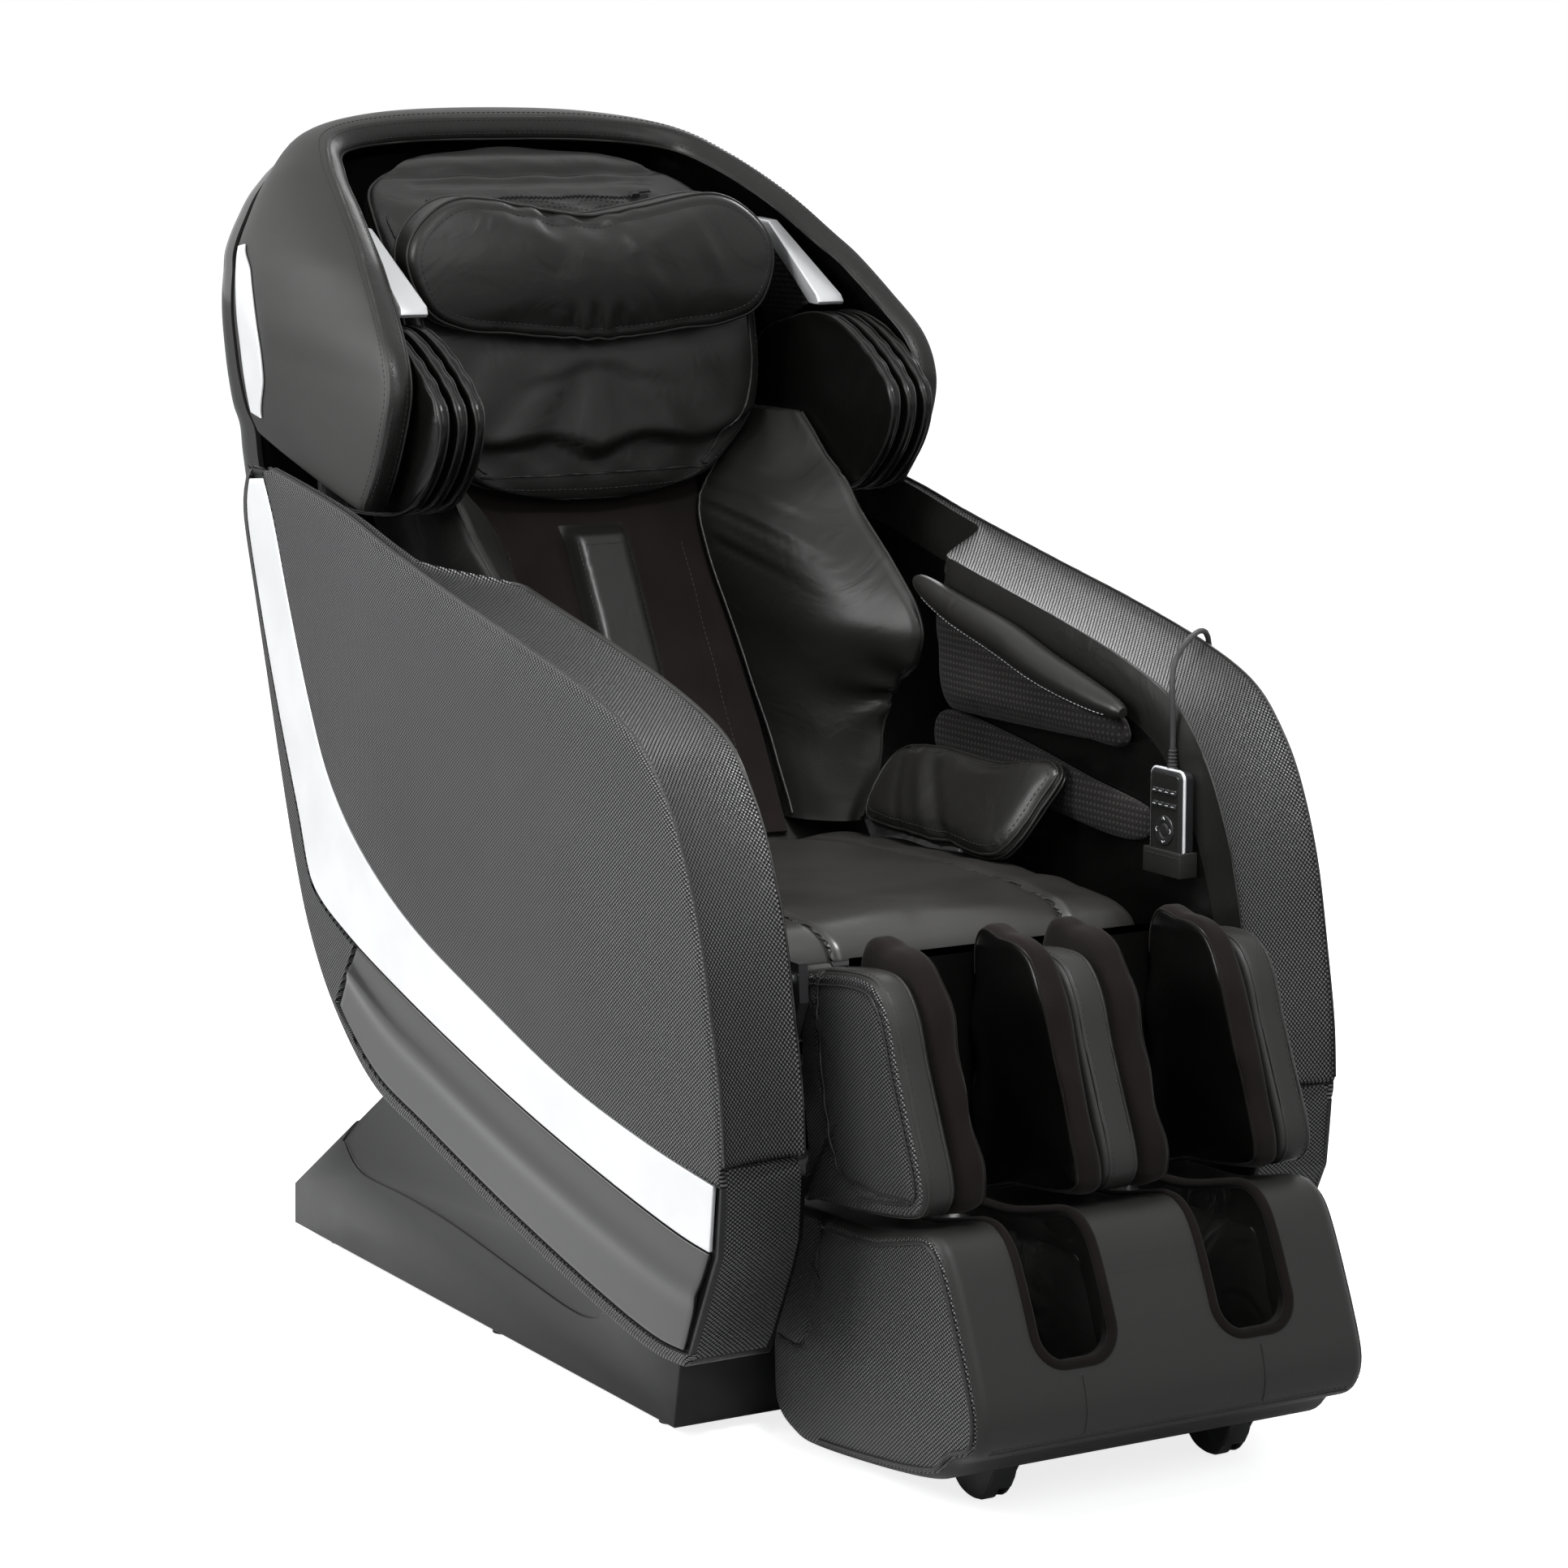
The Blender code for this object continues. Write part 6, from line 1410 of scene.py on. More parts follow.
# ---------------------------------------------------------------- backrest
def make_centre_pad():
    """The lining over the rollers: brown suede, with a leather strip sewn down its middle."""
    points, kinds = [], []
    rows = [LINING_LENGTH * index / 90 for index in range(91)]
    columns = 61
    size = 2 * columns
    for distance in rows:
        strip = ease(0.0, 0.014, distance) * (1 - ease(0.360, 0.388, distance))
        front, back = [], []
        for index in range(columns):
            x = -LINING_HALF + 2 * LINING_HALF * index / (columns - 1)
            mound = 1 - ease(0.62 * STRIP_HALF, 1.12 * STRIP_HALF, abs(x))
            rise = STRIP_THICK * strip * mound * (1 + 0.10 * math.sin(38 * distance + 1.0) * (1 - mound))
            seam = 0.0022 * math.exp(-((abs(x) - 0.104) / 0.0030) ** 2)
            pucker = 0.0011 * math.sin(62 * distance + 14 * x) * ease(0.045, 0.07, abs(x)) \
                * (1 - ease(0.12, 0.15, abs(x)))
            edge = 0.003 * math.exp(-(LINING_HALF - abs(x)) / 0.003)
            front.append(track(distance, max(rise - seam + pucker - edge, -0.0045), x))
            back.append(track(distance, -LINING_THICK, x))
        points += front + back[::-1]
    faces = grid_faces(len(rows), size)
    for level in range(len(rows) - 1):
        for index in range(size):
            x = -LINING_HALF + 2 * LINING_HALF * (index + 0.5) / (columns - 1)
            on_strip = index < columns - 1 and abs(x) < 0.96 * STRIP_HALF and rows[level] < 0.380
            kinds.append(1 if on_strip else 0)
    kinds += [0, 0]
    made = raw_piece("lining_cloth", points, faces, ["suede", "leather"], kinds)
    soften(made, 50)
    settle(made, "back", ["back_centre_pad"])
    tree = surface_of(made)
    rows = []
    for x in (-0.80 * STRIP_HALF, 0.80 * STRIP_HALF, -0.108, 0.108):
        line = [track(0.02 + 0.34 * index / 60, 0.02, x) for index in range(61)]
        rows.append(stitch_row(line, tree))
    line = [track(0.352, 0.02, x * 0.004) for x in range(-8, 9)]
    rows.append(stitch_row(line, tree))
    sew("lining_stitching", rows, "back")
    return made


NECK_HEM = 0.020
NECK_FOLD = 0.911           # height of the sharp fold over the hem, at the middle
NECK_PEAK = 1.011           # height at which the upright crease starts
NECK_ZIP = 1.2090


def make_neck_pad():
    """The hanging pad behind the pillow, with its hem, its zip and the folds under the pillow."""
    rings = []
    levels = 110
    rows = NECK_ROWS
    last = len(rows) - 1
    half_steps = 22
    for level in range(levels + 1):
        spot = last * level / levels
        y, z, half, thick = through(rows, spot)
        before, after = through(rows, max(spot - 0.3, 0.0)), through(rows, min(spot + 0.3, last))
        along_line = Vector((after[0] - before[0], after[1] - before[1])).normalized()
        back = Vector((along_line.y, -along_line.x))
        turn_in = min(0.014, 0.4 * half)
        section = []
        for step in range(-half_steps, half_steps + 1):
            x = half * math.sin(0.5 * math.pi * step / half_steps)
            from_edge = half - abs(x)
            round_off = max(0.0, 1 - from_edge / turn_in)
            depth = 0.5 * (1 - math.sqrt(max(0.0, 1 - round_off ** 2)))
            crown = 0.006 * (1 - (x / half) ** 2)
            section.append((x, depth * thick - crown))
        rear = [(x, max(thick - min(depth + 0.006, 0.5 * thick), 0.5 * thick)) for x, depth in section[1:-1]]
        rings.append([Vector((x, y + back.x * depth, z + back.y * depth)) for x,
                      depth in section + rear[::-1]])
    made = ring_piece("neck_cushion", rings, ["leather"])
    spots = positions(made)
    x, y, z = spots.T
    facing = directions(made)[:, 1] < -0.15
    wide = np.abs(x)
    inside = np.clip((np.interp(z, [row[1] for row in rows[:7]], [row[2] for row in rows[:7]]) - wide) / 0.03,
                     0, 1)
    above = z - np.interp(wide, [0.0, 0.012, 0.030, 0.060, 0.100, 0.130, 0.160, 0.205],
                          [0.910, 0.914, 0.921, 0.927, 0.924, 0.920, 0.926, 0.950])
    push = inside * np.where(above > 0, 0.011 * (1 - np.exp(-above / 0.003)) * np.exp(-above / 0.050),
                             -0.004 * (1 - np.exp(above / 0.004)) * np.exp(above / 0.05))
    down = np.clip((NECK_PEAK - z) / (NECK_PEAK - NECK_FOLD), 0, 1) * (above > -0.004)
    tight = np.clip(down / 0.12, 0, 1)
    push += 0.0050 * np.sqrt(down) * np.exp(-wide / (0.004 + 0.009 * down))
    push -= 0.0036 * tight * bell(wide - 0.016 - 0.050 * down, 0.008 + 0.014 * down)
    push += 0.0030 * tight * bell(wide - 0.036 - 0.085 * down, 0.014 + 0.016 * down)
    tent = z - (NECK_PEAK - 0.34 * wide)
    fade = np.exp(-(wide / 0.085) ** 4) * np.clip(wide / 0.012, 0, 1)
    push -= 0.0018 * bell(tent, 0.0065) * fade
    push += 0.0018 * bell(tent - 0.013, 0.010) * fade
    push += 0.0018 * np.sin(95 * x + 40 * z) * bell(above + 0.018, 0.016) * inside
    push += 0.0022 * np.sin(60 * (z + 0.7 * wide)) * bell(wide - 0.15, 0.04) * (above > 0)
    push += 0.0070 * bell(z - 1.229, 0.010)
    push -= 0.0055 * bell(z - 1.2185, 0.0026)
    push -= 0.0035 * bell(z - NECK_ZIP, 0.0040) * (wide < 0.150)
    push += 0.0040 * np.sin(60 * x + 9 * np.sin(26 * z + 2 * x)) * bell(z - 1.168, 0.018)
    push += 0.0016 * np.sin(75 * x + 1.3) * bell(z - 1.220, 0.010)
    raise_by(made, np.where(facing, push, 0.0))
    soften(made, 60)
    settle(made, "back", ["neck_pad"])

    tree = surface_of(made)
    half_edge = []
    for level in range(6, levels - 14):
        y, z, half, _ = through(rows, last * level / levels)
        half_edge.append(Vector((half - 0.0015, y + 0.012, z)))
    edge = mirror(half_edge) + [Vector((0.0, 0.405, 0.8600))] + half_edge
    edge = smooth(edge[::3] + [edge[-1]], 260)
    pipe("neck_piping", [on_skin(edge, tree, 0.0004)], 0.0021, "leather", "back")
    hem_line = []
    for level in range(14, 72):
        y, z, half, _ = through(rows, last * level / levels)
        pull = NECK_HEM if z > 0.90 else NECK_HEM * (0.55 + 0.45 * (z - 0.859) / 0.041)
        hem_line.append(Vector((half - pull * 0.9, y - 0.01, z + 0.012)))
    hem_line = mirror(hem_line) + [Vector((0.0, 0.39, 0.884))] + hem_line
    hem_line = smooth(hem_line[::3] + [hem_line[-1]], 200)
    stitch_edge = []
    for point in edge:
        inner = Vector((0.0, point.y - 0.02, 0.99))
        stitch_edge.append(point + (inner - point).normalized() * 0.0075 + Vector((0, -0.012, 0)))
    zip_line = [Vector((-0.150 + 0.27 * index / 60, 0.50, NECK_ZIP)) for index in range(61)]
    rows_of = [stitch_row(stitch_edge, tree), stitch_row(hem_line, tree)]
    rows_of.append(stitch_row([p + Vector((0, -0.02, 0.010)) for p in zip_line], tree))
    rows_of.append(stitch_row([p + Vector((0, -0.02, -0.010)) for p in zip_line], tree))
    sew("neck_stitching", rows_of, "back")
    pipe("neck_hem_fold", [on_skin(hem_line, tree, 0.0006)], 0.0013, "leather", "back", sides=6)
    teeth_line, teeth_normals = lie_on(zip_line, tree, 0.0010)
    make_zip("neck_zip", teeth_line, teeth_normals)


def make_zip(name, line, normals):
    """A zip: two rows of small teeth, with its slider at one end."""
    points, faces = [], []

    def add_block(centre, axes, halves):
        start = len(points)
        for sx in (-1, 1):
            for sy in (-1, 1):
                for sz in (-1, 1):
                    pull = 0.72 if sz > 0 else 1.0
                    points.append(centre + axes[0] * (sx * halves[0] * pull) + axes[1]
                                  * (sy * halves[1] * pull)
                                  + axes[2] * (sz * halves[2]))
        for quad in ((0, 1, 3, 2), (4, 6, 7, 5), (0, 4, 5, 1), (2, 3, 7, 6), (0, 2, 6, 4), (1, 5, 7, 3)):
            faces.append(tuple(start + corner for corner in quad))

    spots = even(line, 96)
    for index, spot in enumerate(spots[:-1]):
        axis = (spots[index + 1] - spot).normalized()
        up = normals[min(index * len(normals) // len(spots), len(normals) - 1)]
        over = axis.cross(up).normalized()
        shift = 0.0009 if index % 2 else -0.0009
        add_block(spot + over * shift, (axis, over, up), (0.0009, 0.0019, 0.0009))
    end = spots[-3]
    axis = (spots[-2] - spots[-3]).normalized()
    up = normals[-1]
    over = axis.cross(up).normalized()
    add_block(end + up * 0.0022, (axis, over, up), (0.006, 0.0042, 0.0022))
    add_block(end + up * 0.0035 + axis * 0.012 - over * 0.002, (axis, over, up), (0.010, 0.0030, 0.0010))
    made = raw_piece(name, points, faces, ["steel"])
    soften(made, 30)
    settle(made, "back")


def pillow_place(u, v, share):
    """A place in the pillow, from its back face (0) to its front face (1)."""
    height = v - PILLOW_HALF_OUTLINE[-1][1]
    back = 0.4050 + 0.34 * height
    front = PILLOW_FRONT[0] + PILLOW_FRONT[1] * height
    return Vector((u, back + (front - back) * share, v))


def make_pillow():
    half = PILLOW_HALF_OUTLINE
    outline = smooth(half + [(-x, z) for x, z in half[-2:0:-1]], 200, True)
    thick = 0.034

    def place(u, v, w):
        return pillow_place(u, v, w / thick)

    made = pad_piece("pillow_cushion", outline, 0.0, thick, 0.011, place, ["leather"], (0.0, PILLOW_CROWN),
                     turns=6, fill_rings=26)
    spots = positions(made)
    x, y, z = spots.T
    facing = (directions(made)[:, 1] < -0.25)
    drop = np.clip(1.182 - z, 0, 0.2)
    shifted = x + 0.040 - 0.25 * drop
    gather = np.exp(-(drop / 0.055)) * bell(shifted, 0.060)
    fan = np.sin((shifted / (0.016 + 0.40 * drop)) * 2.4 + 0.5)
    push = 0.0032 * gather * fan
    push -= 0.0050 * bell(shifted, 0.045) * bell(z - 1.170, 0.018)
    push += 0.0034 * np.sin(210 * (x + 0.3 * (z - 1.05))) * bell(x + 0.010, 0.040) \
        * bell(z - 1.056, 0.018)
    push += 0.0030 * bell(x - 0.14 + 0.5 * (z - 1.12), 0.010) * bell(z - 1.14, 0.03)
    push += 0.0016 * bell(x - 0.02 - 0.45 * drop, 0.010) * bell(z - 1.125, 0.035)
    push -= 0.0018 * bell(x - 0.038 - 0.50 * drop, 0.010) * bell(z - 1.115, 0.035)
    push -= 0.0012 * bell(x + 0.035 + 0.35 * drop, 0.012) * bell(z - 1.125, 0.030)
    push += 0.0008 * np.sin(85 * x + 20 * z) * bell(z - 1.052, 0.010)
    raise_by(made, np.where(facing, push, 0.0))
    soften(made, 60)
    settle(made, "back", ["head_pillow"])
    tree = surface_of(made)
    rim = [pillow_place(p.x, p.y, 0.80) for p in inset(anticlockwise(outline), 0.0005)]
    rear_rim = [pillow_place(p.x, p.y, 0.22) for p in inset(anticlockwise(outline), 0.0005)]
    pipe("pillow_piping", [on_skin(rim, tree, 0.0003), on_skin(rear_rim, tree, 0.0003)], 0.0020, "leather",
         "back", closed=True)
    row = [pillow_place(p.x, p.y, 1.0) for p in inset(anticlockwise(outline), 0.0125)]
    sew("pillow_stitching", [stitch_row(row + row[:1], tree)], "back")


def make_back_wings():
    for word, side in SIDES:
        rings = []
        levels = 96
        last = len(WING_ROWS) - 1
        for level in range(levels + 1):
            z, inner_x, inner_y, tip_x, tip_y = through(WING_ROWS, last * level / levels)
            middle = Vector((0.5 * (inner_x + tip_x), 0.5 * (inner_y + tip_y)))
            outward_way = Vector((inner_y - tip_y, tip_x - inner_x)).normalized()
            swell = middle - outward_way * 0.014
            rear_x = max(inner_x, LINING_HALF + 0.003)
            lip = inner_y + 0.003 if inner_x < rear_x else inner_y + 0.012
            on_track = TRACK_FOOT[0] + (z - TRACK_FOOT[1]) * math.tan(TRACK_LEAN)
            rear_y = max(on_track + WING_DEPTH / math.cos(TRACK_LEAN), tip_y + 0.03)
            front = [(inner_x, inner_y + 0.001, 0.0), (inner_x + 0.001, inner_y - 0.006, 0.0),
                     (0.65 * inner_x + 0.35 * swell.x, 0.65 * inner_y + 0.35 * swell.y - 0.008, 0.0),
                     (swell.x, swell.y, 0.0),
                     (0.45 * swell.x + 0.55 * tip_x, 0.45 * swell.y + 0.55 * tip_y - 0.004, 0.0),
                     (tip_x - 0.006, tip_y + 0.003, 0.0), (tip_x, tip_y, 0.0)]
            curve = smooth(front, 34)
            tail = [(0.5 * (tip_x + WING_OUTER), tip_y + 0.006), (WING_OUTER, tip_y + 0.020),
                    (WING_OUTER, 0.5 * (tip_y + 0.02 + rear_y)), (WING_OUTER, rear_y - 0.006),
                    (WING_OUTER - 0.006, rear_y), (0.5 * (WING_OUTER + rear_x), rear_y),
                    (rear_x + 0.004, rear_y),
                    (rear_x, rear_y - 0.004), (rear_x, 0.5 * (lip + rear_y)), (rear_x, lip)]
            rings.append([Vector((p[0] * side, p[1], z)) for p in curve + tail])
        made = ring_piece("back_wing_" + word, rings, ["leather"])
        spots = positions(made)
        x, y, z = spots.T
        x = np.abs(x)
        facing = directions(made)[:, 1] < -0.05
        across = np.clip((x - 0.150) / 0.09, 0, 1)
        at_notch = np.hypot((x - 0.243) / 0.075, (z - 0.655) / 0.085)
        angle = np.arctan2(z - 0.655, 0.262 - x)
        push = 0.0046 * np.sin(7.5 * angle + 0.6) * np.clip(1.15 - at_notch, 0, 1) * across
        push += 0.0010 * np.sin(70 * (z + 0.6 * x)) * bell(x - 0.165, 0.022)
        push += 0.0030 * np.sin(64 * (z - 0.7 * x) + 1.0) * bell(z - 0.885, 0.035)
        push += 0.0060 * bell(z - 0.760, 0.090) * bell(x - 0.195, 0.035)
        for start, lean, reach in ((0.905, 0.55, 0.050), (0.872, 0.70, 0.065), (0.842, 0.95, 0.060),
                                   (0.800, 1.10, 0.045)):
            across_fold = z - (start - lean * (x - 0.145))
            fade = np.clip(1 - (x - 0.150) / reach, 0, 1) * np.clip((x - 0.138) / 0.006, 0, 1)
            push -= 0.0030 * fade * bell(across_fold, 0.0045)
            push += 0.0022 * fade * bell(across_fold - 0.010, 0.006)
        raise_by(made, np.where(facing, push, 0.0))
        soften(made, 55)
        settle(made, "back", ["back_cushion_" + word])
        tree = surface_of(made)
        tip, seam = [], []
        for level in range(1, levels):
            z, inner_x, inner_y, tip_x, tip_y = through(WING_ROWS, last * level / levels)
            tip.append(Vector((tip_x * side, tip_y + 0.001, z)))
            seam.append(Vector(((inner_x + 0.0005) * side, inner_y - 0.002, z)))
        pipe("back_wing_piping_" + word, [on_skin(tip, tree, 0.0008), on_skin(seam, tree, 0.0002)], 0.0019,
             "leather", "back")


def hood_room(z):
    """Half width inside the hood at a height near its front rim."""
    return lookup([(row[2], row[0]) for row in SHELL_RIM[:8]], z)[0] - SHELL_WALL - 0.0045


def make_airbags():
    outline = smooth(AIRBAG_SIDE, 110, True)
    for word, side in SIDES:
        pipes = []
        skins = []
        for number, (low, high) in enumerate(AIRBAG_LEAVES):
            def place(u, v, w, low=low, side=side):
                x = min(low + w, hood_room(v))
                return Vector((x * side, u, v))

            # The leaves take the darker leather: painted shade between them.
            leaf = pad_piece("airbag_leaf_%s_%d" % (word, number + 1), outline, 0.0012, high - low - 0.0012,
                             0.0066,
                             place, ["leather with painted shade"], (0.0016, 0.0010), turns=5, fill_rings=10)
            spots = positions(leaf)
            y, z = spots[:, 1], spots[:, 2]
            edge = 0.0009 * np.sin(150 * y + 90 * z) * bell(y - 0.20, 0.06)
            raise_by(leaf, edge)
            soften(leaf, 60)
            settle(leaf, "back", ["shoulder_airbag_" + word] if number == 0 else [])
            skins.append(leaf)
            tree = surface_of(leaf)
            for share in (0.12, 0.88):
                line = [place(p.x, p.y, (high - low) * share) for p in inset(anticlockwise(outline), 0.0004)]
                pipes.append(on_skin(line, tree, 0.0003))
        pipe("airbag_piping_" + word, pipes, 0.0013, "leather", "back", closed=True, sides=6)
        spine = []
        for z in [0.880 + 0.012 * index for index in range(14)]:
            spine.append([Vector((x * side, y, z)) for x, y in
                          ((AIRBAG_LEAVES[2][0] + 0.003, 0.392), (0.292, 0.398), (0.300, 0.405),
                           (0.300, 0.445),
                           (AIRBAG_LEAVES[2][0] + 0.003, 0.445))])
        root = ring_piece("airbag_root_" + word, spine, ["leather"])
        round_edges(root, 0.003, 2, 40)
        soften(root, 45)
        settle(root, "back")


def make_speakers():
    for word, side in SIDES:
        def lean(v):
            return 0.275 - 0.16 * (v - 1.075)

        front = anticlockwise([Vector(p) for p in SPEAKER_FRONT])
        nose = [ease(0.325, 0.372 + 0.55 * max(p.y - 1.075, 0.0), p.x) for p in front]
        points = [Vector(((lean(p.y) - 0.030 + 0.020 * far) * side, p.x, p.y)) for p, far in zip(front, nose)]
        points += [Vector(((lean(p.y) + 0.004) * side, p.x, p.y)) for p in front]
        plate = raw_piece("speaker_plate_" + word, points, grid_faces(2, len(front)), ["silver"])
        modify(plate, "TRIANGULATE")
        round_edges(plate, 0.0030, 4, 40)
        soften(plate, 40)
        settle(plate, "back", ["speaker_" + word])
        points = [Vector(((lean(v) - 0.0045) * side, u, v)) for u, v in SPEAKER_REAR]
        grille = raw_piece("speaker_grille_" + word, points, [tuple(range(len(points)))], ["grille"])
        if grille.data.polygons[0].normal.x * side > 0:
            grille.data.flip_normals()
        modify(grille, "SOLIDIFY", thickness=0.020, offset=-1.0)
        round_edges(grille, 0.0020, 3, 40)
        lay_pattern(grille)
        soften(grille, 40)
        settle(grille, "back")


# ---------------------------------------------------------------- seat and the pads inside the arms
def make_seat():
    """The seat cushion, puffed by a cloth run, with two curved seams and a piped front."""
    profile = [(SEAT_REAR, SEAT_BOTTOM + 0.001), (SEAT_FRONT + 0.022, SEAT_BOTTOM + 0.001),
               (SEAT_FRONT + 0.007, SEAT_BOTTOM + 0.020), (SEAT_FRONT + 0.004, SEAT_TOP - 0.032),
               (SEAT_FRONT + 0.014, SEAT_TOP - 0.012), (SEAT_FRONT + 0.045, SEAT_TOP - 0.003),
               (-0.240, SEAT_TOP + 0.002), (-0.100, SEAT_TOP + 0.002), (0.050, SEAT_TOP - 0.004),
               (SEAT_REAR - 0.002, SEAT_TOP - 0.014)]
    outline = []
    for index, point in enumerate(profile):
        after = profile[(index + 1) % len(profile)]
        outline += [Vector(point), Vector(point).lerp(Vector(after), 0.5)]
    rings = []
    steps = 40
    column = 2 * (SEAT_HALF - 0.004) / steps
    seam_x = round(SEAT_SEAM_X / column) * column

    def seam_bend(y):
        """How far a seam bows outwards at a depth in the seat."""
        return 0.020 * math.sin(math.pi * min(max(0.17 - y, 0.0), 0.60) / 0.62)

    for level in range(steps + 1):
        across = (-1 + 2 * level / steps) * (SEAT_HALF - 0.004)
        near = max(0.0, (abs(across) - (SEAT_HALF - 0.030)) / 0.026)
        drop = 0.018 * near ** 2
        draw = 0.012 * near ** 2
        ring = []
        for y, z in outline:
            top = ease(SEAT_BOTTOM + 0.03, SEAT_TOP, z)
            front = 1 - ease(SEAT_FRONT, SEAT_FRONT + 0.05, y)
            bend = seam_bend(y) * max(0.0, 1 - abs(abs(across) - seam_x) / 0.10)
            ring.append(Vector((across + math.copysign(bend, across), y + draw * front, z - drop * top)))
        rings.append(ring)
    # The seat takes the lighter leather: painted light.
    made = ring_piece("seat_pad", rings, ["seat leather with painted light"])
    puff(made, 0.0085, 3.0, 0.006)
    spots = positions(made)
    low = spots[:, 2] < SEAT_BOTTOM + 0.001
    spots[low, 2] = SEAT_BOTTOM + 0.001
    move_to(made, spots)
    top = directions(made)[:, 2] > 0.2
    x, y, z = spots.T
    creases = 0.0016 * np.sin(60 * y + 20 * x) * bell(np.abs(x) - 0.19, 0.04)
    creases += 0.0012 * np.sin(48 * x) * bell(y - 0.13, 0.05)
    raise_by(made, np.where(top, creases, 0.0))
    modify(made, "SUBSURF", levels=1, render_levels=1)
    tree = surface_of(made)
    seams = []
    for way in (-1.0, 1.0):
        laid = []
        for step in range(105):
            y = 0.168 - 0.0051 * step
            x = way * (seam_x + seam_bend(y))
            hit = tree.ray_cast(Vector((x, y, 0.65)), Vector((0.0, 0.0, -1.0)))[0]
            if hit and hit.z > SEAT_TOP - 0.030:
                laid.append(hit)
        for _ in range(8):
            start = Vector((laid[-1].x, SEAT_FRONT - 0.08, laid[-1].z - 0.0035))
            hit = tree.ray_cast(start, Vector((0.0, 1.0, 0.0)))[0]
            if hit and (hit - laid[-1]).length < 0.02:
                laid.append(hit)
        seams.append(smooth(laid[::3], 150))
    for laid in seams:
        press_seam(made, laid, 0.0050, 0.0055)
    front_low = [Vector((-0.226 + 0.452 * index / 80, SEAT_FRONT - 0.002, 0.462)) for index in range(81)]
    tree = surface_of(made)
    laid = on_skin(front_low, tree)
    press_seam(made, laid, 0.0030, 0.0050)
    soften(made, 60)
    settle(made, "seat", ["seat_cushion"])
    tree = surface_of(made)
    pipe("seat_seams", [on_skin(line, tree, 0.0005) for line in seams], 0.0010, "thread", "seat", sides=6)
    pipe("seat_piping", [on_skin(laid, tree, 0.0009)], 0.0019, "leather", "seat")


def make_side_pads():
    for word, side in SIDES:
        def on_arm(u, v, w, side=side):
            return Vector((side * (ARM_INNER_HALF - 0.0005 - w), u, v))

        def on_wing(u, v, w, side=side):
            x = HIP_WING_FOOT[0] + v * math.sin(HIP_WING_LEAN) + w * math.cos(HIP_WING_LEAN)
            z = HIP_WING_FOOT[1] + v * math.cos(HIP_WING_LEAN) - w * math.sin(HIP_WING_LEAN)
            return Vector((side * x, u, z))

        outline = smooth(ARM_PAD_OUTLINE, 80, True)
        pad = pad_piece("arm_pad_foam_" + word, outline, 0.0, 0.020, 0.009, on_arm, ["mesh"], (0.0, 0.008))
        puff(pad, 0.0050, 4.0, 0.004)
        lay_pattern(pad)
        settle(pad, "seat", ["arm_pad_" + word])
        top_edge = smooth([(0.092, 0.788), (0.010, 0.763), (-0.085, 0.741), (-0.165, 0.7180), (-0.250, 0.700),
                           (-0.308, 0.690)], 70)
        rings = []
        for index, point in enumerate(top_edge):
            share = index / 69
            radius = 0.0200 * math.sin(math.pi * (0.004 + 0.992 * share)) ** 0.30
            after = top_edge[min(index + 1, 69)] - top_edge[max(index - 1, 0)]
            after.normalize()
            lean = Vector((-after.y, after.x))
            ring = []
            for step in range(20):
                turn = 2 * math.pi * step / 20
                ring.append(Vector((side * (ARM_INNER_HALF - 0.0235 - radius * math.cos(turn)),
                                    point.x + lean.x * radius * math.sin(turn),
                                    point.y - 0.006 + lean.y * radius * math.sin(turn))))
            rings.append(ring)
        roll = ring_piece("arm_pad_roll_" + word, rings, ["leather"])
        soften(roll, 60)
        settle(roll, "seat")
        tree = surface_of(roll, pad)
        below = [Vector((side * (ARM_INNER_HALF - 0.060), p.x, p.y - 0.0300)) for p in top_edge[3:-3]]
        sew("arm_pad_stitching_" + word, [lie_on(below, tree, 0.0003)], "seat", "marks")

        outline = smooth(HIP_WING_OUTLINE, 90, True)
        wing = pad_piece("hip_pad_" + word, outline, 0.001, 0.023, 0.009, on_wing, ["leather"], (0.005, 0.0))
        puff(wing, 0.0050, 4.0, 0.004)
        spots = positions(wing)
        x, y, z = spots.T
        x = np.abs(x)
        inner = directions(wing)[:, 0] * side < -0.2
        rise = (z - 0.52) / 0.09
        push = 0.0014 * np.sin(46 * (y + 0.9 * (z - 0.56))) * np.clip(rise, 0, 1)
        push -= 0.0022 * bell(y + 0.035 - 1.1 * (z - 0.55), 0.013)
        push += 0.0022 * bell(y + 0.002 - 1.0 * (z - 0.55), 0.014)
        push -= 0.0018 * bell(y - 0.050 - 0.8 * (z - 0.55), 0.010)
        raise_by(wing, np.where(inner, push, 0.0))
        soften(wing, 60)
        settle(wing, "seat", ["hip_wing_" + word])
        tree = surface_of(wing)
        rims = []
        for share in (0.10, 0.52, 0.90):
            rim = [on_wing(p.x, p.y, 0.024 * share) for p in inset(anticlockwise(outline), 0.0005)]
            rims.append(on_skin(rim, tree, 0.0005))
        pipe("hip_pad_piping_" + word, rims, 0.0016, "leather", "seat", closed=True)
        row = [on_wing(p.x, p.y, -0.004) for p in inset(anticlockwise(outline), 0.011)]
        sew("hip_pad_stitching_" + word, [stitch_row(row + row[:1], tree)], "seat")

        lower = smooth([(0.060, 0.640), (-0.080, 0.628), (-0.220, 0.604), (-0.330, 0.586), (-0.338, 0.560),
                        (-0.280, 0.548), (-0.140, 0.560), (0.020, 0.572), (0.078, 0.596)], 80, True)
        strip = pad_piece("arm_lower_mesh_" + word, lower, 0.0, 0.007, 0.0034, on_arm, ["mesh"], (0.0, 0.003),
                          turns=4)
        lay_pattern(strip)
        soften(strip, 60)
        settle(strip, "seat")


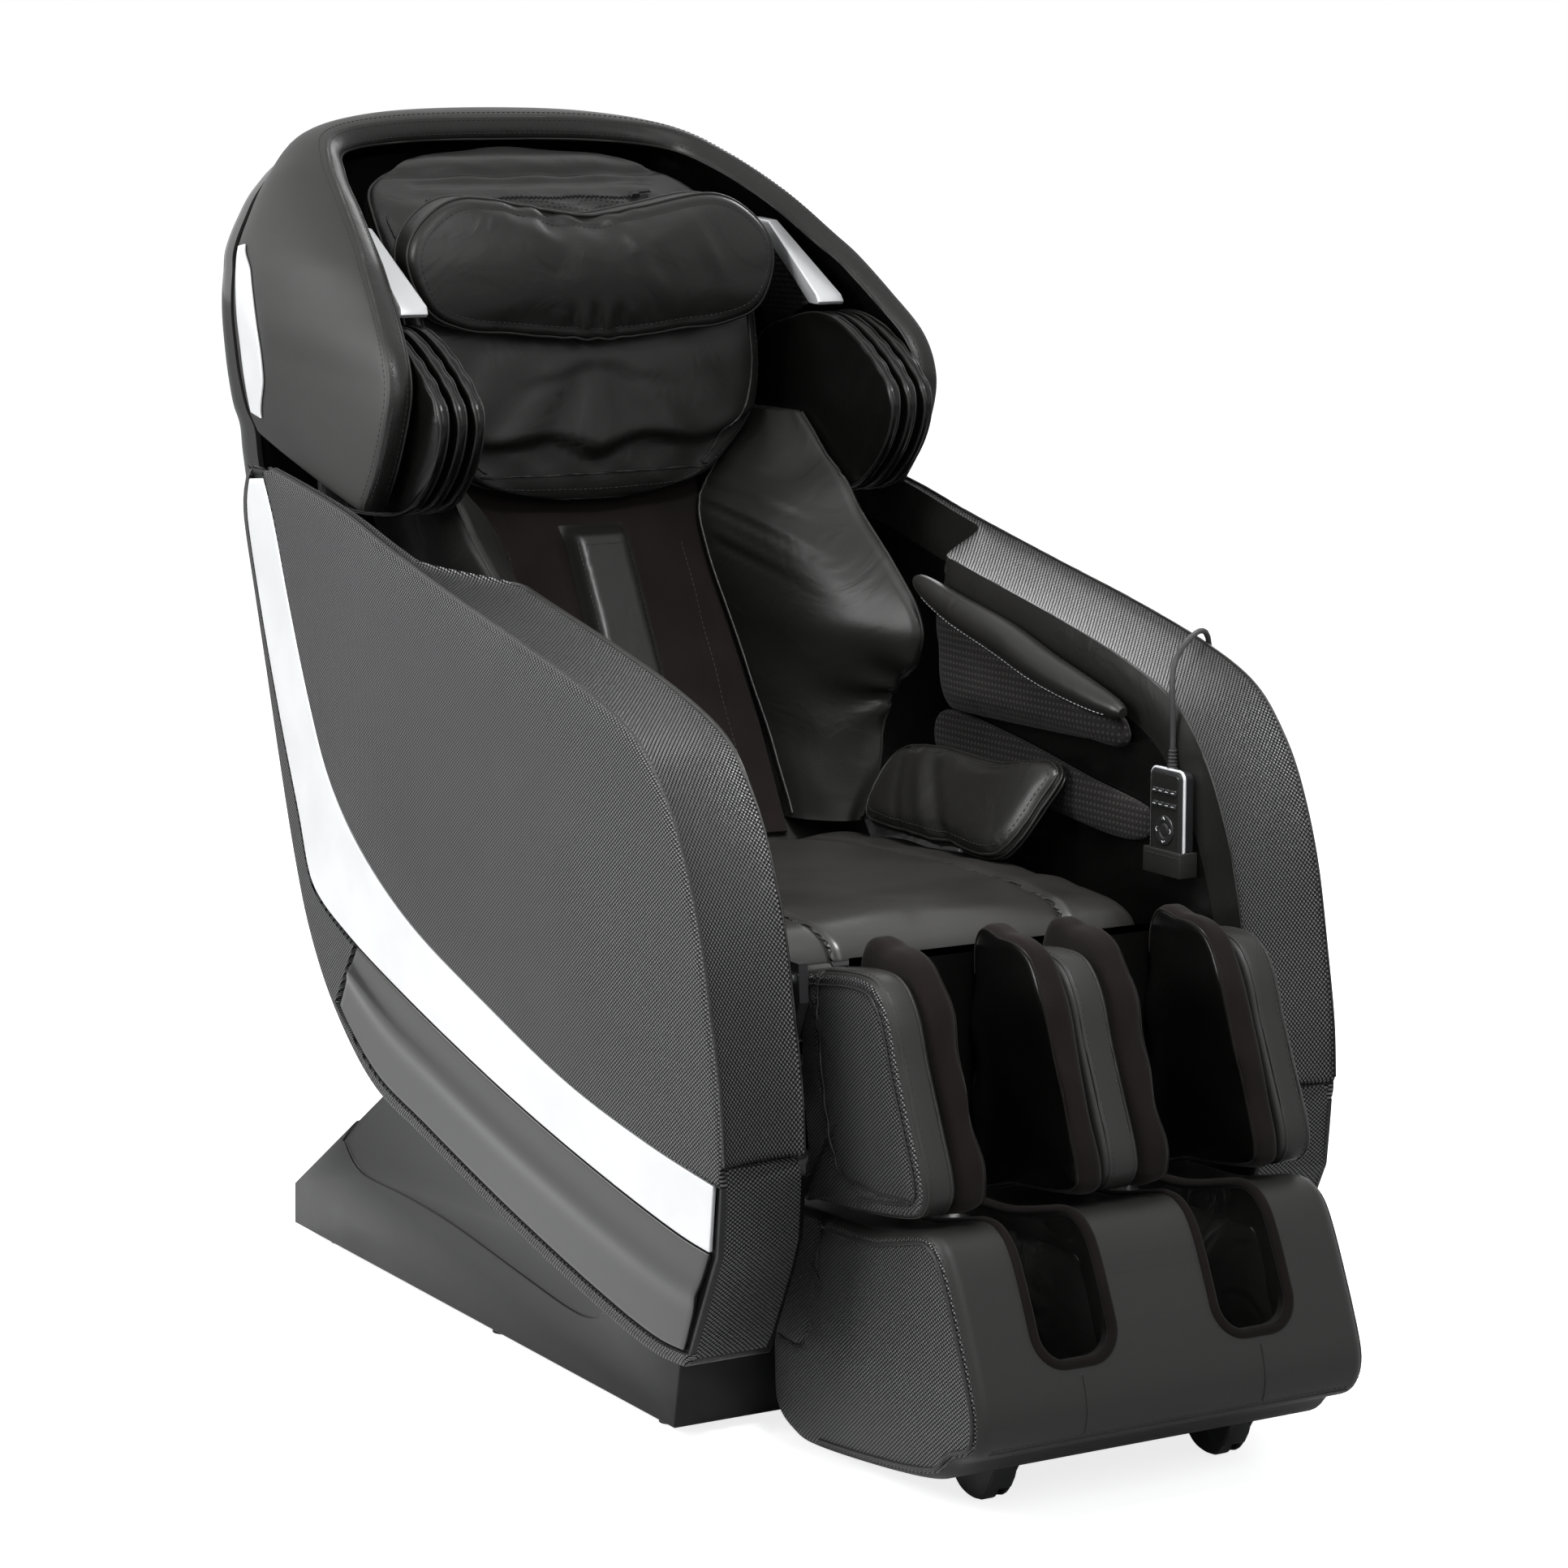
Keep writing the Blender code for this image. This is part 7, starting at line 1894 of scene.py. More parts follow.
# ---------------------------------------------------------------- leg and foot rest
def sort_faces(made, kind_of):
    """Gives each face the finish that kind_of(face centre, face normal) picks."""
    for face in made.data.polygons:
        face.material_index = kind_of(face.center, face.normal)


def cut_away(made, cutter):
    """Takes another solid away from this one, and removes it."""
    modify(made, "BOOLEAN", operation="DIFFERENCE", solver="EXACT", object=cutter)
    bpy.data.objects.remove(cutter, do_unlink=True)


def prism_piece(name, outline, low, high, place, finish):
    outline = anticlockwise([Vector(p) for p in outline])
    rings = [[place(p.x, p.y, w) for p in outline] for w in (low, high)]
    return ring_piece(name, rings, [finish])


def on_side(u, v, w):
    return Vector((w, u, v))


def on_front(u, v, w):
    return Vector((u, w, v))


def on_floor(u, v, w):
    return Vector((u, v, w))


def make_calf_rest():
    outline = smooth(CALF_PROFILE, 130, True)
    blocks = (("right", -CALF_HALF, -BLOCK_OUTER, 0.011), ("middle", -BLOCK_CENTRE, BLOCK_CENTRE, 0.012),
              ("left", BLOCK_OUTER, CALF_HALF, 0.011))
    rows, welts = [], []
    for word, low, high, radius in blocks:
        finishes = ["hood leather", "vinyl"]
        made = pad_piece("calf_block_" + word, outline, low, high, radius, on_side, finishes,
                         (0.0035 if word == "right" else 0.0, 0.0035 if word == "left" else 0.0), turns=7)
        if word != "middle":
            side = -1.0 if word == "right" else 1.0
            frame_line = [(side * CALF_HALF, y, z) for y, z in smooth(
                [(-0.470, 0.500), (-0.474, 0.455), (-0.486, 0.380), (-0.505, 0.322), (-0.520, 0.303),
                 (-0.580, 0.298), (-0.640, 0.302)], 60)]
            front = [Vector((side * CALF_HALF, p.x, p.y)) for p in inset(anticlockwise(outline), 0.014)]
            front = [p for p in front if p.y < -0.452 and p.z > 0.285]
            sort_faces(made, lambda centre, normal, side=side: 1 if normal.x * side > 0.80 else 0)
            tree = surface_of(made)
            laid = [on_skin(frame_line, tree), on_skin(front, tree)]
            for line in laid:
                press_seam(made, line, *WELT_GROOVE)
            tree = surface_of(made)
            rows += [stitch_row([p + Vector((0, 0.0045, -0.003)) for p in laid[0]], tree),
                     stitch_row([p + Vector((0, -0.0045, 0.003)) for p in laid[1]], tree)]
            welts += [on_skin(line, tree, 0.0004) for line in laid]
            lay_pattern(made)
        front_edges = [[Vector((x, p.x, p.y)) for p in outline if p.x < -0.470 and p.y > 0.268]
                       for x in (low + 0.0070, high - 0.0070)]
        tree = surface_of(made)
        for line in front_edges:
            laid = on_skin(line, tree)
            press_seam(made, laid, 0.0007, 0.0016)
        tree = surface_of(made)
        stitched = {"right": (0.0042, None), "middle": (0.0042, -0.0042), "left": (None, -0.0042)}[word]
        for line, shift in zip(front_edges, stitched):
            welts.append(on_skin(line, tree, 0.0002))
            if shift:
                rows.append(stitch_row([p + Vector((shift, 0, 0)) for p in line], tree))
        if word == "middle":
            lay_pattern(made)
        soften(made, 55)
        settle(made, "calf_rest", ["calf_housing"] if word == "middle" else [])
    sew("calf_block_stitching", rows, "calf_rest")
    pipe("calf_block_piping", welts, 0.0013, "hood leather", "calf_rest", sides=6)
    clipped = [Vector((max(p.x, CALF_FLOOR), p.y)) for p in outline]
    for word, side in SIDES:
        low, high = sorted((side * (BLOCK_CENTRE - 0.006), side * (BLOCK_OUTER + 0.006)))
        # The channel walls take the darker leather: painted shade in the channels.
        wall = prism_piece("calf_channel_" + word, clipped, low, high, on_side, "leather with painted shade")
        round_edges(wall, 0.003, 2, 50)
        soften(wall, 40)
        settle(wall, "calf_rest")
    pivot_pins = [[Vector((side * x, *CALF_PIVOT)) for x in (0.213, 0.2382)] for side in (-1.0, 1.0)]
    pipe("calf_pivot_pins", pivot_pins, 0.008, "bright steel", "calf_rest", sides=20)
    lever = prism_piece("calf_lever", [(-0.444, 0.455), (-0.444, 0.400), (-0.417, 0.367), (-0.395, 0.367),
                                       (-0.395, 0.385)], -0.108, -0.100, on_side, "steel")
    round_edges(lever, 0.002, 2, 50)
    soften(lever, 40)
    settle(lever, "calf_rest")


def make_calf_pads():
    """The four soft pads beside the calves, each sewn round the edge of its free face."""
    pad_outline = smooth(CALF_PAD_PROFILE, 150, True)
    pad_outline = [Vector((min(p.x, CALF_FLOOR - 0.0003), p.y)) for p in pad_outline]
    places = (("right_outer", -BLOCK_OUTER + 0.0003, 1.0), ("right_inner", -BLOCK_CENTRE - 0.0003, -1.0),
              ("left_inner", BLOCK_CENTRE + 0.0003, 1.0), ("left_outer", BLOCK_OUTER - 0.0003, -1.0))
    for word, start, way in places:
        def beside(u, v, w, start=start, way=way):
            return Vector((start + way * w, u, v))

        def kind_of(level, levels):
            return 0 if level > levels - 13 else 1

        # The pads' faces take the darker leather: painted shade in the calf channels.
        made = pad_piece("calf_cushion_" + word, pad_outline, 0.0008, CALF_PAD_THICK, 0.011, beside,
                         ["leather with painted shade", "suede"], (0.0, 0.006), kind_of)
        spots = positions(made)
        x, y, z = spots.T
        from_wall = np.abs(x - start)
        shift = 0.7 if "left" in word else 0.0
        edge = bell(from_wall - CALF_PAD_THICK * 0.8, 0.010)
        push = 0.0016 * np.sin(82 * z + 30 * y + shift) * edge
        push += 0.0012 * np.sin(47 * z - 20 * y + 2 * shift) * (1 - edge)
        face = directions(made)[:, 0] * way > 0.6
        push += np.where(face, 0.0030 * np.sin(38 * (z - 0.9 * y) + shift)
                         * bell(z - 0.40, 0.05), 0.0)
        move_to(made, spots + directions(made) * push[:, None])
        spots = positions(made)
        spots[:, 1] = np.minimum(spots[:, 1], CALF_FLOOR - 0.0003)
        move_to(made, spots)
        soften(made, 60)
        settle(made, "calf_rest", ["calf_pad_" + word])
        tree = surface_of(made)
        ring = inset(anticlockwise(pad_outline), 0.0042)
        seam = [beside(p.x, p.y, CALF_PAD_THICK - 0.0016) for p in ring if p.x < CALF_FLOOR - 0.006]
        start_at = max(range(len(seam)), key=lambda i: (seam[i] - seam[i - 1]).length)
        seam = seam[start_at:] + seam[:start_at]
        pipe("calf_cushion_seam_" + word, [on_skin(seam, tree, 0.0003)], 0.0011, "suede", "calf_rest",
             sides=6)


def foot_well_rim(body_tree, centre):
    """The line round a foot well: down the front notch, and back along the top."""
    half = WELL_HALF - 0.002
    low = NOTCH_FLOOR + 0.001
    radius = 0.030
    notch = []
    for middle, start in ((centre - half + radius, 180), (centre + half - radius, 270)):
        for step in range(13):
            turn = math.radians(start + 90 * step / 12)
            notch.append((middle + radius * math.cos(turn), low + radius + radius * math.sin(turn)))
    left = [(centre - half, z) for z in (0.262, 0.250, 0.238, 0.226, 0.214, 0.202)]
    right = [(centre + half, z) for z in (0.202, 0.214, 0.226, 0.238, 0.250, 0.262)]
    line = []
    for x, z in left + notch + right:
        spot = body_tree.ray_cast(Vector((x, -1.0, z)), Vector((0, 1, 0)))[0]
        if spot:
            line.append(spot)
    back = [(centre + half, y) for y in (-0.672, -0.650, -0.620, -0.590, -0.560, -0.530, -0.505)]
    corner = 0.020
    for step in range(7):
        turn = math.radians(90 * step / 6)
        back.append((centre + half - corner + corner * math.cos(turn),
                     WELL_REAR - corner + corner * math.sin(turn)))
    back += [(2 * centre - x, y) for x, y in back[::-1]]
    for x, y in back:
        spot = body_tree.ray_cast(Vector((x, y, 0.6)), Vector((0, 0, -1)))[0]
        if spot:
            line.append(spot)
    return smooth(line, 170, True)


def make_foot_rest():
    outline = smooth(FOOT_PROFILE, 170, True)
    # The faces inside the wells take the lighter leather: painted light in the wells' shade.
    made = pad_piece("foot_box", outline, -FOOT_HALF, FOOT_HALF, 0.015, on_side,
                     ["hood leather", "vinyl", "well leather with painted light"], (0.004, 0.004), turns=8, fill_rings=10)
    whole = surface_of(made)
    side_seam = smooth([(-0.478, 0.262), (-0.470, 0.215), (-0.462, 0.165), (-0.452, 0.128), (-0.428, 0.112),
                        (-0.378, 0.113)], 60)
    side_lines = [[Vector((side * FOOT_HALF, y, z)) for y, z in side_seam] for side in (-1.0, 1.0)]
    edge = inset(anticlockwise(outline), 0.012)
    cover_lines = [[Vector((side * (FOOT_HALF - 0.003), p.x, p.y)) for p in edge if p.x < -0.47] for side in
                   (-1.0, 1.0)]
    rims = [foot_well_rim(whole, side * WELL_X) for side in (-1.0, 1.0)]
    for side in (-1.0, 1.0):
        centre = side * WELL_X
        well = rounded_box(centre - WELL_HALF, centre + WELL_HALF, WELL_FRONT, WELL_REAR, 0.020, 8)
        cut_away(made, prism_piece("well", well, WELL_FLOOR, 0.400, on_floor, "steel"))
        notch = rounded_box(centre - WELL_HALF + 0.002, centre + WELL_HALF - 0.002, NOTCH_FLOOR, 0.420, 0.030,
                            10)
        cut_away(made, prism_piece("notch", notch, -0.800, WELL_FRONT + 0.040, on_front, "steel"))
    y, z = SOLE_ROLLER
    slot_outline = [(y - 0.024, z - 0.023), (y + 0.024, z - 0.023), (y + 0.024, WELL_FLOOR + 0.002),
                    (y - 0.024, WELL_FLOOR + 0.002)]
    cut_away(made, prism_piece("slot", slot_outline, -0.172, 0.172, on_side, "steel"))

    def kind(centre, normal):
        for side in (-1.0, 1.0):
            inside = abs(centre.x - side
                         * WELL_X) < WELL_HALF + 0.0006 and -0.7245 < centre.y < WELL_REAR + 0.0006
            if inside and centre.z > 0.03 and (abs(normal.x) > 0.2 or centre.z < 0.2 or abs(normal.y) > 0.2):
                if centre.z > WELL_FLOOR - 0.03:
                    return 2
        return 1 if abs(normal.x) > 0.85 and abs(centre.x) > FOOT_HALF - 0.004 else 0

    sort_faces(made, kind)
    tree = surface_of(made)
    rows, welts, seams = [], [], []
    for line in side_lines:
        laid = on_skin(line, tree)
        press_seam(made, laid, *WELT_GROOVE)
        rows.append([p + Vector((0, -0.0045, -0.002)) for p in laid])
        seams.append(laid)
    for line in cover_lines:
        start_at = max(range(len(line)), key=lambda i: (line[i] - line[i - 1]).length)
        line = line[start_at:] + line[:start_at]
        welts.append(line)
        inwards = -0.0085 if line[0].x > 0 else 0.0085
        rows.append([p + Vector((inwards, 0, 0)) for p in line])
    bottom = [Vector((-0.205 + 0.410 * index / 90, -0.747, 0.084)) for index in range(91)]
    seams.append(on_skin(bottom, tree))
    rows.append([p + Vector((0, -0.001, 0.0050)) for p in bottom])
    for side in (-1.0, 1.0):
        seams.append([Vector((side * WELL_X, -0.76, 0.086 + 0.064 * index / 20)) for index in range(21)])
    lay_pattern(made)
    soften(made, 38)
    settle(made, "foot_rest", ["foot_housing"])
    tree = surface_of(made)
    sew("foot_stitching", [stitch_row(line, tree) for line in rows], "foot_rest")
    pipe("foot_seams", [on_skin(line, tree, 0.0001) for line in seams], 0.0009, "thread", "foot_rest",
         sides=6)
    pipe("foot_welts", [on_skin(line, tree, 0.0004) for line in welts], 0.0022, "hood leather", "foot_rest",
         sides=10)
    pipe("foot_well_rims", [[p + Vector((0, 0.001, -0.0015)) for p in rim] for rim in rims], 0.0052, "suede",
         "foot_rest", closed=True, sides=14)


def make_foot_fittings():
    """The cheeks and axles of the casters, and the rods that the foot box slides on."""
    for word, side in SIDES:
        near = CASTER_X - 0.0092 - 0.005
        far = CASTER_X + 0.0092 + 0.005
        cheek = smooth([(-0.676, 0.058), (-0.584, 0.044), (-0.600, 0.018), (-0.616, 0.006), (-0.640, 0.0035),
                        (-0.655, 0.012), (-0.668, 0.034)], 40, True)
        for part, low, high in (("inner", near, near + 0.005), ("outer", far - 0.005, far)):
            first, second = sorted((low * side, high * side))
            plate = pad_piece("caster_cheek_%s_%s" % (part, word), cheek, first, second, 0.0018, on_side,
                              ["plastic"], turns=3, fill_rings=2)
            soften(plate, 40)
            settle(plate, "foot_rest")
        nose = [(-0.677, 0.057), (-0.655, 0.050), (-0.6535, 0.030), (-0.660, 0.016), (-0.667, 0.028)]
        first, second = sorted((near * side, far * side))
        fairing = prism_piece("caster_nose_" + word, nose, first + 0.001, second - 0.001, on_side, "plastic")
        round_edges(fairing, 0.0015, 2, 30)
        soften(fairing, 40)
        settle(fairing, "foot_rest")
    axles = [[Vector((side * (CASTER_X + end), *CASTER_AT)) for end in (-0.013, 0.013)]
             for side in (-1.0, 1.0)]
    pipe("caster_axles", axles, 0.0035, "bright steel", "foot_rest", sides=14)
    rods = [[Vector((side * 0.100, -0.455, z)) for z in (0.22, 0.34, 0.46)] for side in (-1.0, 1.0)]
    pipe("foot_slide_rods", rods, 0.0075, "bright steel", "foot_rest", sides=20)


def make_well_linings():
    """The padded walls of each foot well, and the padded ledge below its front notch."""
    for word, side in SIDES:
        centre = side * WELL_X
        outline = rounded_box(centre - WELL_HALF + 0.0005, centre + WELL_HALF - 0.0005, WELL_FRONT + 0.0005,
                              WELL_REAR - 0.0005, 0.020, 8)
        outline = even(outline + outline[:1], 121)[:-1]
        middle = Vector((centre, 0.5 * (WELL_FRONT + WELL_REAR)))
        rings, skin = [], []
        for level in range(25):
            share = level / 24
            z = WELL_FLOOR + 0.002 + (0.232 - WELL_FLOOR) * share
            ring, back = [], []
            for number, spot in enumerate(outline):
                puffed = 0.0095 * math.sin(math.pi * min(1.0, share * 1.02)) ** 0.6
                puffed += 0.0016 * math.sin(number * 2 * math.pi * 9 / 120 + 5 * share + side) * share
                low_front = ease(WELL_FRONT + 0.06, WELL_FRONT + 0.01, spot.y)
                top = z if low_front < 0.01 else WELL_FLOOR + 0.002 + (NOTCH_FLOOR - 0.012
                                                                       - WELL_FLOOR) * share \
                    * low_front + (z - WELL_FLOOR - 0.002) * (1 - low_front)
                inner_spot = spot - (spot - middle).normalized() * puffed
                ring.append(Vector((inner_spot.x, inner_spot.y, top)))
                back.append(Vector((spot.x, spot.y, top)))
            rings.append(ring)
            skin.append(back)
        # The linings take the lighter leather: painted light in the wells' shade.
        made = ring_piece("foot_well_lining_" + word, rings + skin[::-1], ["well leather with painted light"], caps=False)
        soften(made, 60)
        settle(made, "foot_rest")
        ledge = rounded_box(centre - WELL_HALF + 0.004, centre + WELL_HALF - 0.004, WELL_FRONT + 0.004,
                            SOLE_ROLLER[0] - 0.026, 0.016, 8)
        # The ledge takes the lighter leather too: painted light.
        pad = pad_piece("foot_sole_pad_" + word, ledge, WELL_FLOOR + 0.0004, WELL_FLOOR + 0.011, 0.005,
                        on_floor,
                        ["well leather with painted light"], (0.0, 0.006))
        soften(pad, 60)
        settle(pad, "foot_rest")


# ---------------------------------------------------------------- base, handset and pocket
def copy_node(name, node, finish, body, edge, angle=35.0, cutters=()):
    """A merged copy of a frame piece with its edges rounded, which then stands for it."""
    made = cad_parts[node].copy()
    made.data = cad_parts[node].data.copy()
    made.name = name
    made.data.name = name
    bpy.context.collection.objects.link(made)
    made.parent = None
    shape = bmesh.new()
    shape.from_mesh(made.data)
    bmesh.ops.remove_doubles(shape, verts=shape.verts, dist=0.00002)
    bmesh.ops.dissolve_limit(shape, angle_limit=math.radians(1.0), verts=shape.verts, edges=shape.edges)
    shape.to_mesh(made.data)
    shape.free()
    keep_finish(made, finish)
    for cutter in cutters:
        cut_away(made, cutter)
    round_edges(made, edge, 3, angle)
    soften(made, 40)
    return settle(made, body, [node])


def make_base():
    """The shroud, with the long step in each side under the arm."""
    step = smooth([(0.452, 0.139), (0.405, 0.112), (0.287, 0.110), (0.174, 0.105), (0.012, 0.088),
                   (-0.105, 0.077), (-0.160, 0.083), (-0.182, 0.104)], 60)
    step += [Vector((-0.200, 0.150)), Vector((-0.190, 0.260)), Vector((0.260, 0.260)), Vector((0.350, 0.222))]
    cutters = []
    for word, side in SIDES:
        low, high = sorted((side * (BASE_HALF - 0.0035), side * (BASE_HALF + 0.010)))
        cutters.append(prism_piece("step_" + word, step, low, high, on_side, "plastic"))
    copy_node("base_shroud", "base_cover", "shroud", "base", 0.0025, cutters=cutters)


def circle(centre, radius, count):
    return [Vector((centre[0] + radius * math.cos(2 * math.pi * index / count),
                    centre[1] + radius * math.sin(2 * math.pi * index / count))) for index in range(count)]


HANDSET_MIDDLE = 0.5 * (HANDSET_Y[0] + HANDSET_Y[1])
KEY_ROWS = (("upper", HANDSET_Z[1] - 0.022), ("lower", HANDSET_Z[1] - 0.036))
KEY_CENTRES = [HANDSET_MIDDLE - 0.0160 + 0.01066 * index for index in range(4)]
DIAL_CENTRE = (HANDSET_MIDDLE, HANDSET_Z[1] - 0.062)


def key_box(centre, z, half, rise, corner):
    """Outline of a key, or of its slot."""
    return rounded_box(centre - half, centre + half, z - rise, z + rise, corner, 4)


def make_handset():
    x0, x1 = HANDSET_X
    y0, y1 = HANDSET_Y
    z0, z1 = HANDSET_Z
    outline = rounded_box(y0, y1, z0, z1, 0.008, 8)
    shell = pad_piece("handset_shell", outline, x0, x1, 0.0036, on_side, ["plastic"], turns=5, fill_rings=6)
    slots = [key_box(centre, row[1], 0.0048, 0.0034, 0.0017) for row in KEY_ROWS for centre in KEY_CENTRES]
    slots.append(circle(DIAL_CENTRE, 0.0163, 64))
    for slot in slots:
        cut_away(shell, prism_piece("slot", slot, x0 - 0.01, x0 + 0.0050, on_side, "plastic"))
    soften(shell, 45)
    settle(shell, "seat", ["handset_body"])
    face = pad_piece("handset_face", rounded_box(y0 + 0.0042, y1 - 0.0042, z0 + 0.004, z1 - 0.004, 0.005, 6),
                     x0 - 0.0006, x0 + 0.003, 0.0005, on_side, ["gloss"], turns=3, fill_rings=3)
    for slot in slots:
        cut_away(face, prism_piece("slot", slot, x0 - 0.01, x0 + 0.0060, on_side, "gloss"))
    soften(face, 45)
    settle(face, "seat")
    bezel = rounded_box(y0 - 0.0002, y1 + 0.0002, z0 - 0.0002, z1 + 0.0002, 0.008, 8)
    band = [Vector((x0 + 0.0038, p.x, p.y)) for p in bezel]
    pipe("handset_bezel", [band], 0.0017, "silver", "seat", closed=True, sides=10)
    profile = [(-0.003, 0.0058), (0.002, 0.0058)]
    for ridge in range(5):
        start = 0.0035 + 0.0036 * ridge
        size = 0.0052 - 0.00022 * ridge
        profile += [(start, size - 0.0009), (start + 0.0006, size), (start + 0.0018, size),
                    (start + 0.0024, size - 0.0009)]
    profile.append((0.0222, 0.0034))
    exit_at = (CORD_ROUTE[0][0], HANDSET_MIDDLE)
    relief = [[Vector((*p, z1 + height)) for p in circle(exit_at, radius, 24)] for height, radius in profile]
    made = ring_piece("handset_strain_relief", relief, ["rubber"])
    soften(made, 40)
    settle(made, "seat")


def make_keys():
    """The two rows of keys and the round direction pad, with their marks."""
    x0 = HANDSET_X[0]
    for word, z in KEY_ROWS:
        points, faces = [], []
        for centre in KEY_CENTRES:
            rings = pad_shape(key_box(centre, z, 0.0044, 0.0030, 0.0014), x0 - 0.0021, x0 + 0.0035, 0.0009,
                              on_side, (0.0003, 0.0), 3, 3)
            start = len(points)
            size = len(rings[0])
            points += [p for ring in rings for p in ring]
            faces += [tuple(start + corner for corner in face) for face in grid_faces(len(rings), size)]
        keys = raw_piece("handset_keys_" + word, points, faces, ["keys"])
        soften(keys, 45)
        settle(keys, "key_row_" + word, ["key_row_" + word])
        dashes = [[Vector((x0 - 0.0026, centre + end, z)) for end in (-0.0022, 0.0022)]
                  for centre in KEY_CENTRES]
        pipe("handset_key_marks_" + word, dashes, 0.0005, "marks", "key_row_" + word, sides=6)
    dial = pad_piece("handset_dial", circle(DIAL_CENTRE, 0.0158, 64), x0 - 0.0018, x0 + 0.0035, 0.0014,
                     on_side,
                     ["keys"], turns=4, fill_rings=10)
    spots = positions(dial)
    reach = np.hypot(spots[:, 1] - DIAL_CENTRE[0], spots[:, 2] - DIAL_CENTRE[1])
    front = spots[:, 0] < x0 - 0.001
    spots[:, 0] += np.where(front, 0.0010 * bell(reach - 0.0072, 0.0012), 0.0)
    move_to(dial, spots)
    soften(dial, 45)
    settle(dial, "direction_pad", ["direction_pad"])
    arrows = []
    for turn in (0, 90, 180, 270):
        way = Vector((math.cos(math.radians(turn)), math.sin(math.radians(turn))))
        across = Vector((-way.y, way.x))
        tip = Vector(DIAL_CENTRE) + way * 0.0132
        chevron = [tip - way * 0.0022 - across * 0.0024, tip, tip - way * 0.0022 + across * 0.0024]
        arrows.append([Vector((x0 - 0.0022, p.x, p.y)) for p in chevron])
    pipe("handset_dial_marks", arrows, 0.00055, "marks", "direction_pad", sides=6)


def make_pocket():
    copy_node("handset_pocket", "remote_pocket", "hood leather", "seat", 0.0012, 40)
    wall = 0.0043
    low, high = HANDSET_Y[0] - wall, HANDSET_Y[1] + wall
    line = [Vector((HANDSET_X[0] - wall - THREAD_LIFT, low + (high - low) * i / 30, HANDSET_Z[0] + 0.0165))
            for i in range(31)]
    sew("handset_pocket_stitching", [(line, [Vector((-1, 0, 0))] * 31)], "seat")


def make_seat_gusset():
    """The cloth that closes the gap between the seat and the foot of the backrest."""
    path = smooth([(0.130, 0.462), (0.176, 0.458), (0.206, 0.463), (0.2265, 0.482), (0.244, 0.512),
                   (0.266, 0.562),
                   (0.296, 0.640)], 40)
    columns = 60
    rings = []
    for index in range(40):
        front, back = [], []
        for column in range(columns + 1):
            x = -0.2595 + 0.519 * column / columns
            share = index / 39 * (0.44 + 0.56 * ease(0.156, 0.176, abs(x)))
            spot = along(path, share)
            ahead = (along(path, min(share + 0.03, 1.0)) - along(path, max(share - 0.03, 0.0))).normalized()
            lean = Vector((-ahead.y, ahead.x))
            wave = 0.0024 * math.sin(58 * x + 3 * share) * math.sin(math.pi * share)
            front.append(Vector((x, spot.x + lean.x * wave, spot.y + lean.y * wave)))
            back.append(Vector((x, spot.x + lean.x * (wave - 0.003), spot.y + lean.y * (wave - 0.003))))
        rings.append(front + back[::-1])
    made = ring_piece("seat_gusset", rings, ["hood leather"])
    soften(made, 60)
    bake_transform(made)


# ---------------------------------------------------------------- light, floor and camera
LAMPS = (  # name, place, size, power, aim, and spread in degrees where it is narrowed
    ("side_light", (-2.3, 0.1, 1.9), (0.7, 1.5), 50.0, (0.0, -0.10, 0.75), None),
    ("far_side_light", (-2.8, 2.4, 1.6), (1.2, 1.8), 34.0, (0.0, 0.3, 0.7), None),
    ("front_light", (-0.6, -3.5, 2.6), (2.0, 1.6), 24.0, (0.0, 0.0, 0.6), None),
    ("top_light", (-0.5, -0.6, 3.2), (1.6, 1.6), 15.0, (0.0, 0.0, 0.6), None),
    ("seat_light", (-0.25, -1.2, 2.5), (0.6, 0.6), 4.0, (0.02, -0.10, 0.52), 38.0),
    ("rear_light", (2.4, 2.2, 1.8), (1.6, 1.6), 40.0, (0.0, 0.1, 0.7), None))
LENS = 102.5
EYE_AT = (-2.361, -4.05, 1.35)
EYE_PITCH = math.radians(80.75)
EYE_YAW = math.radians(-30.4)


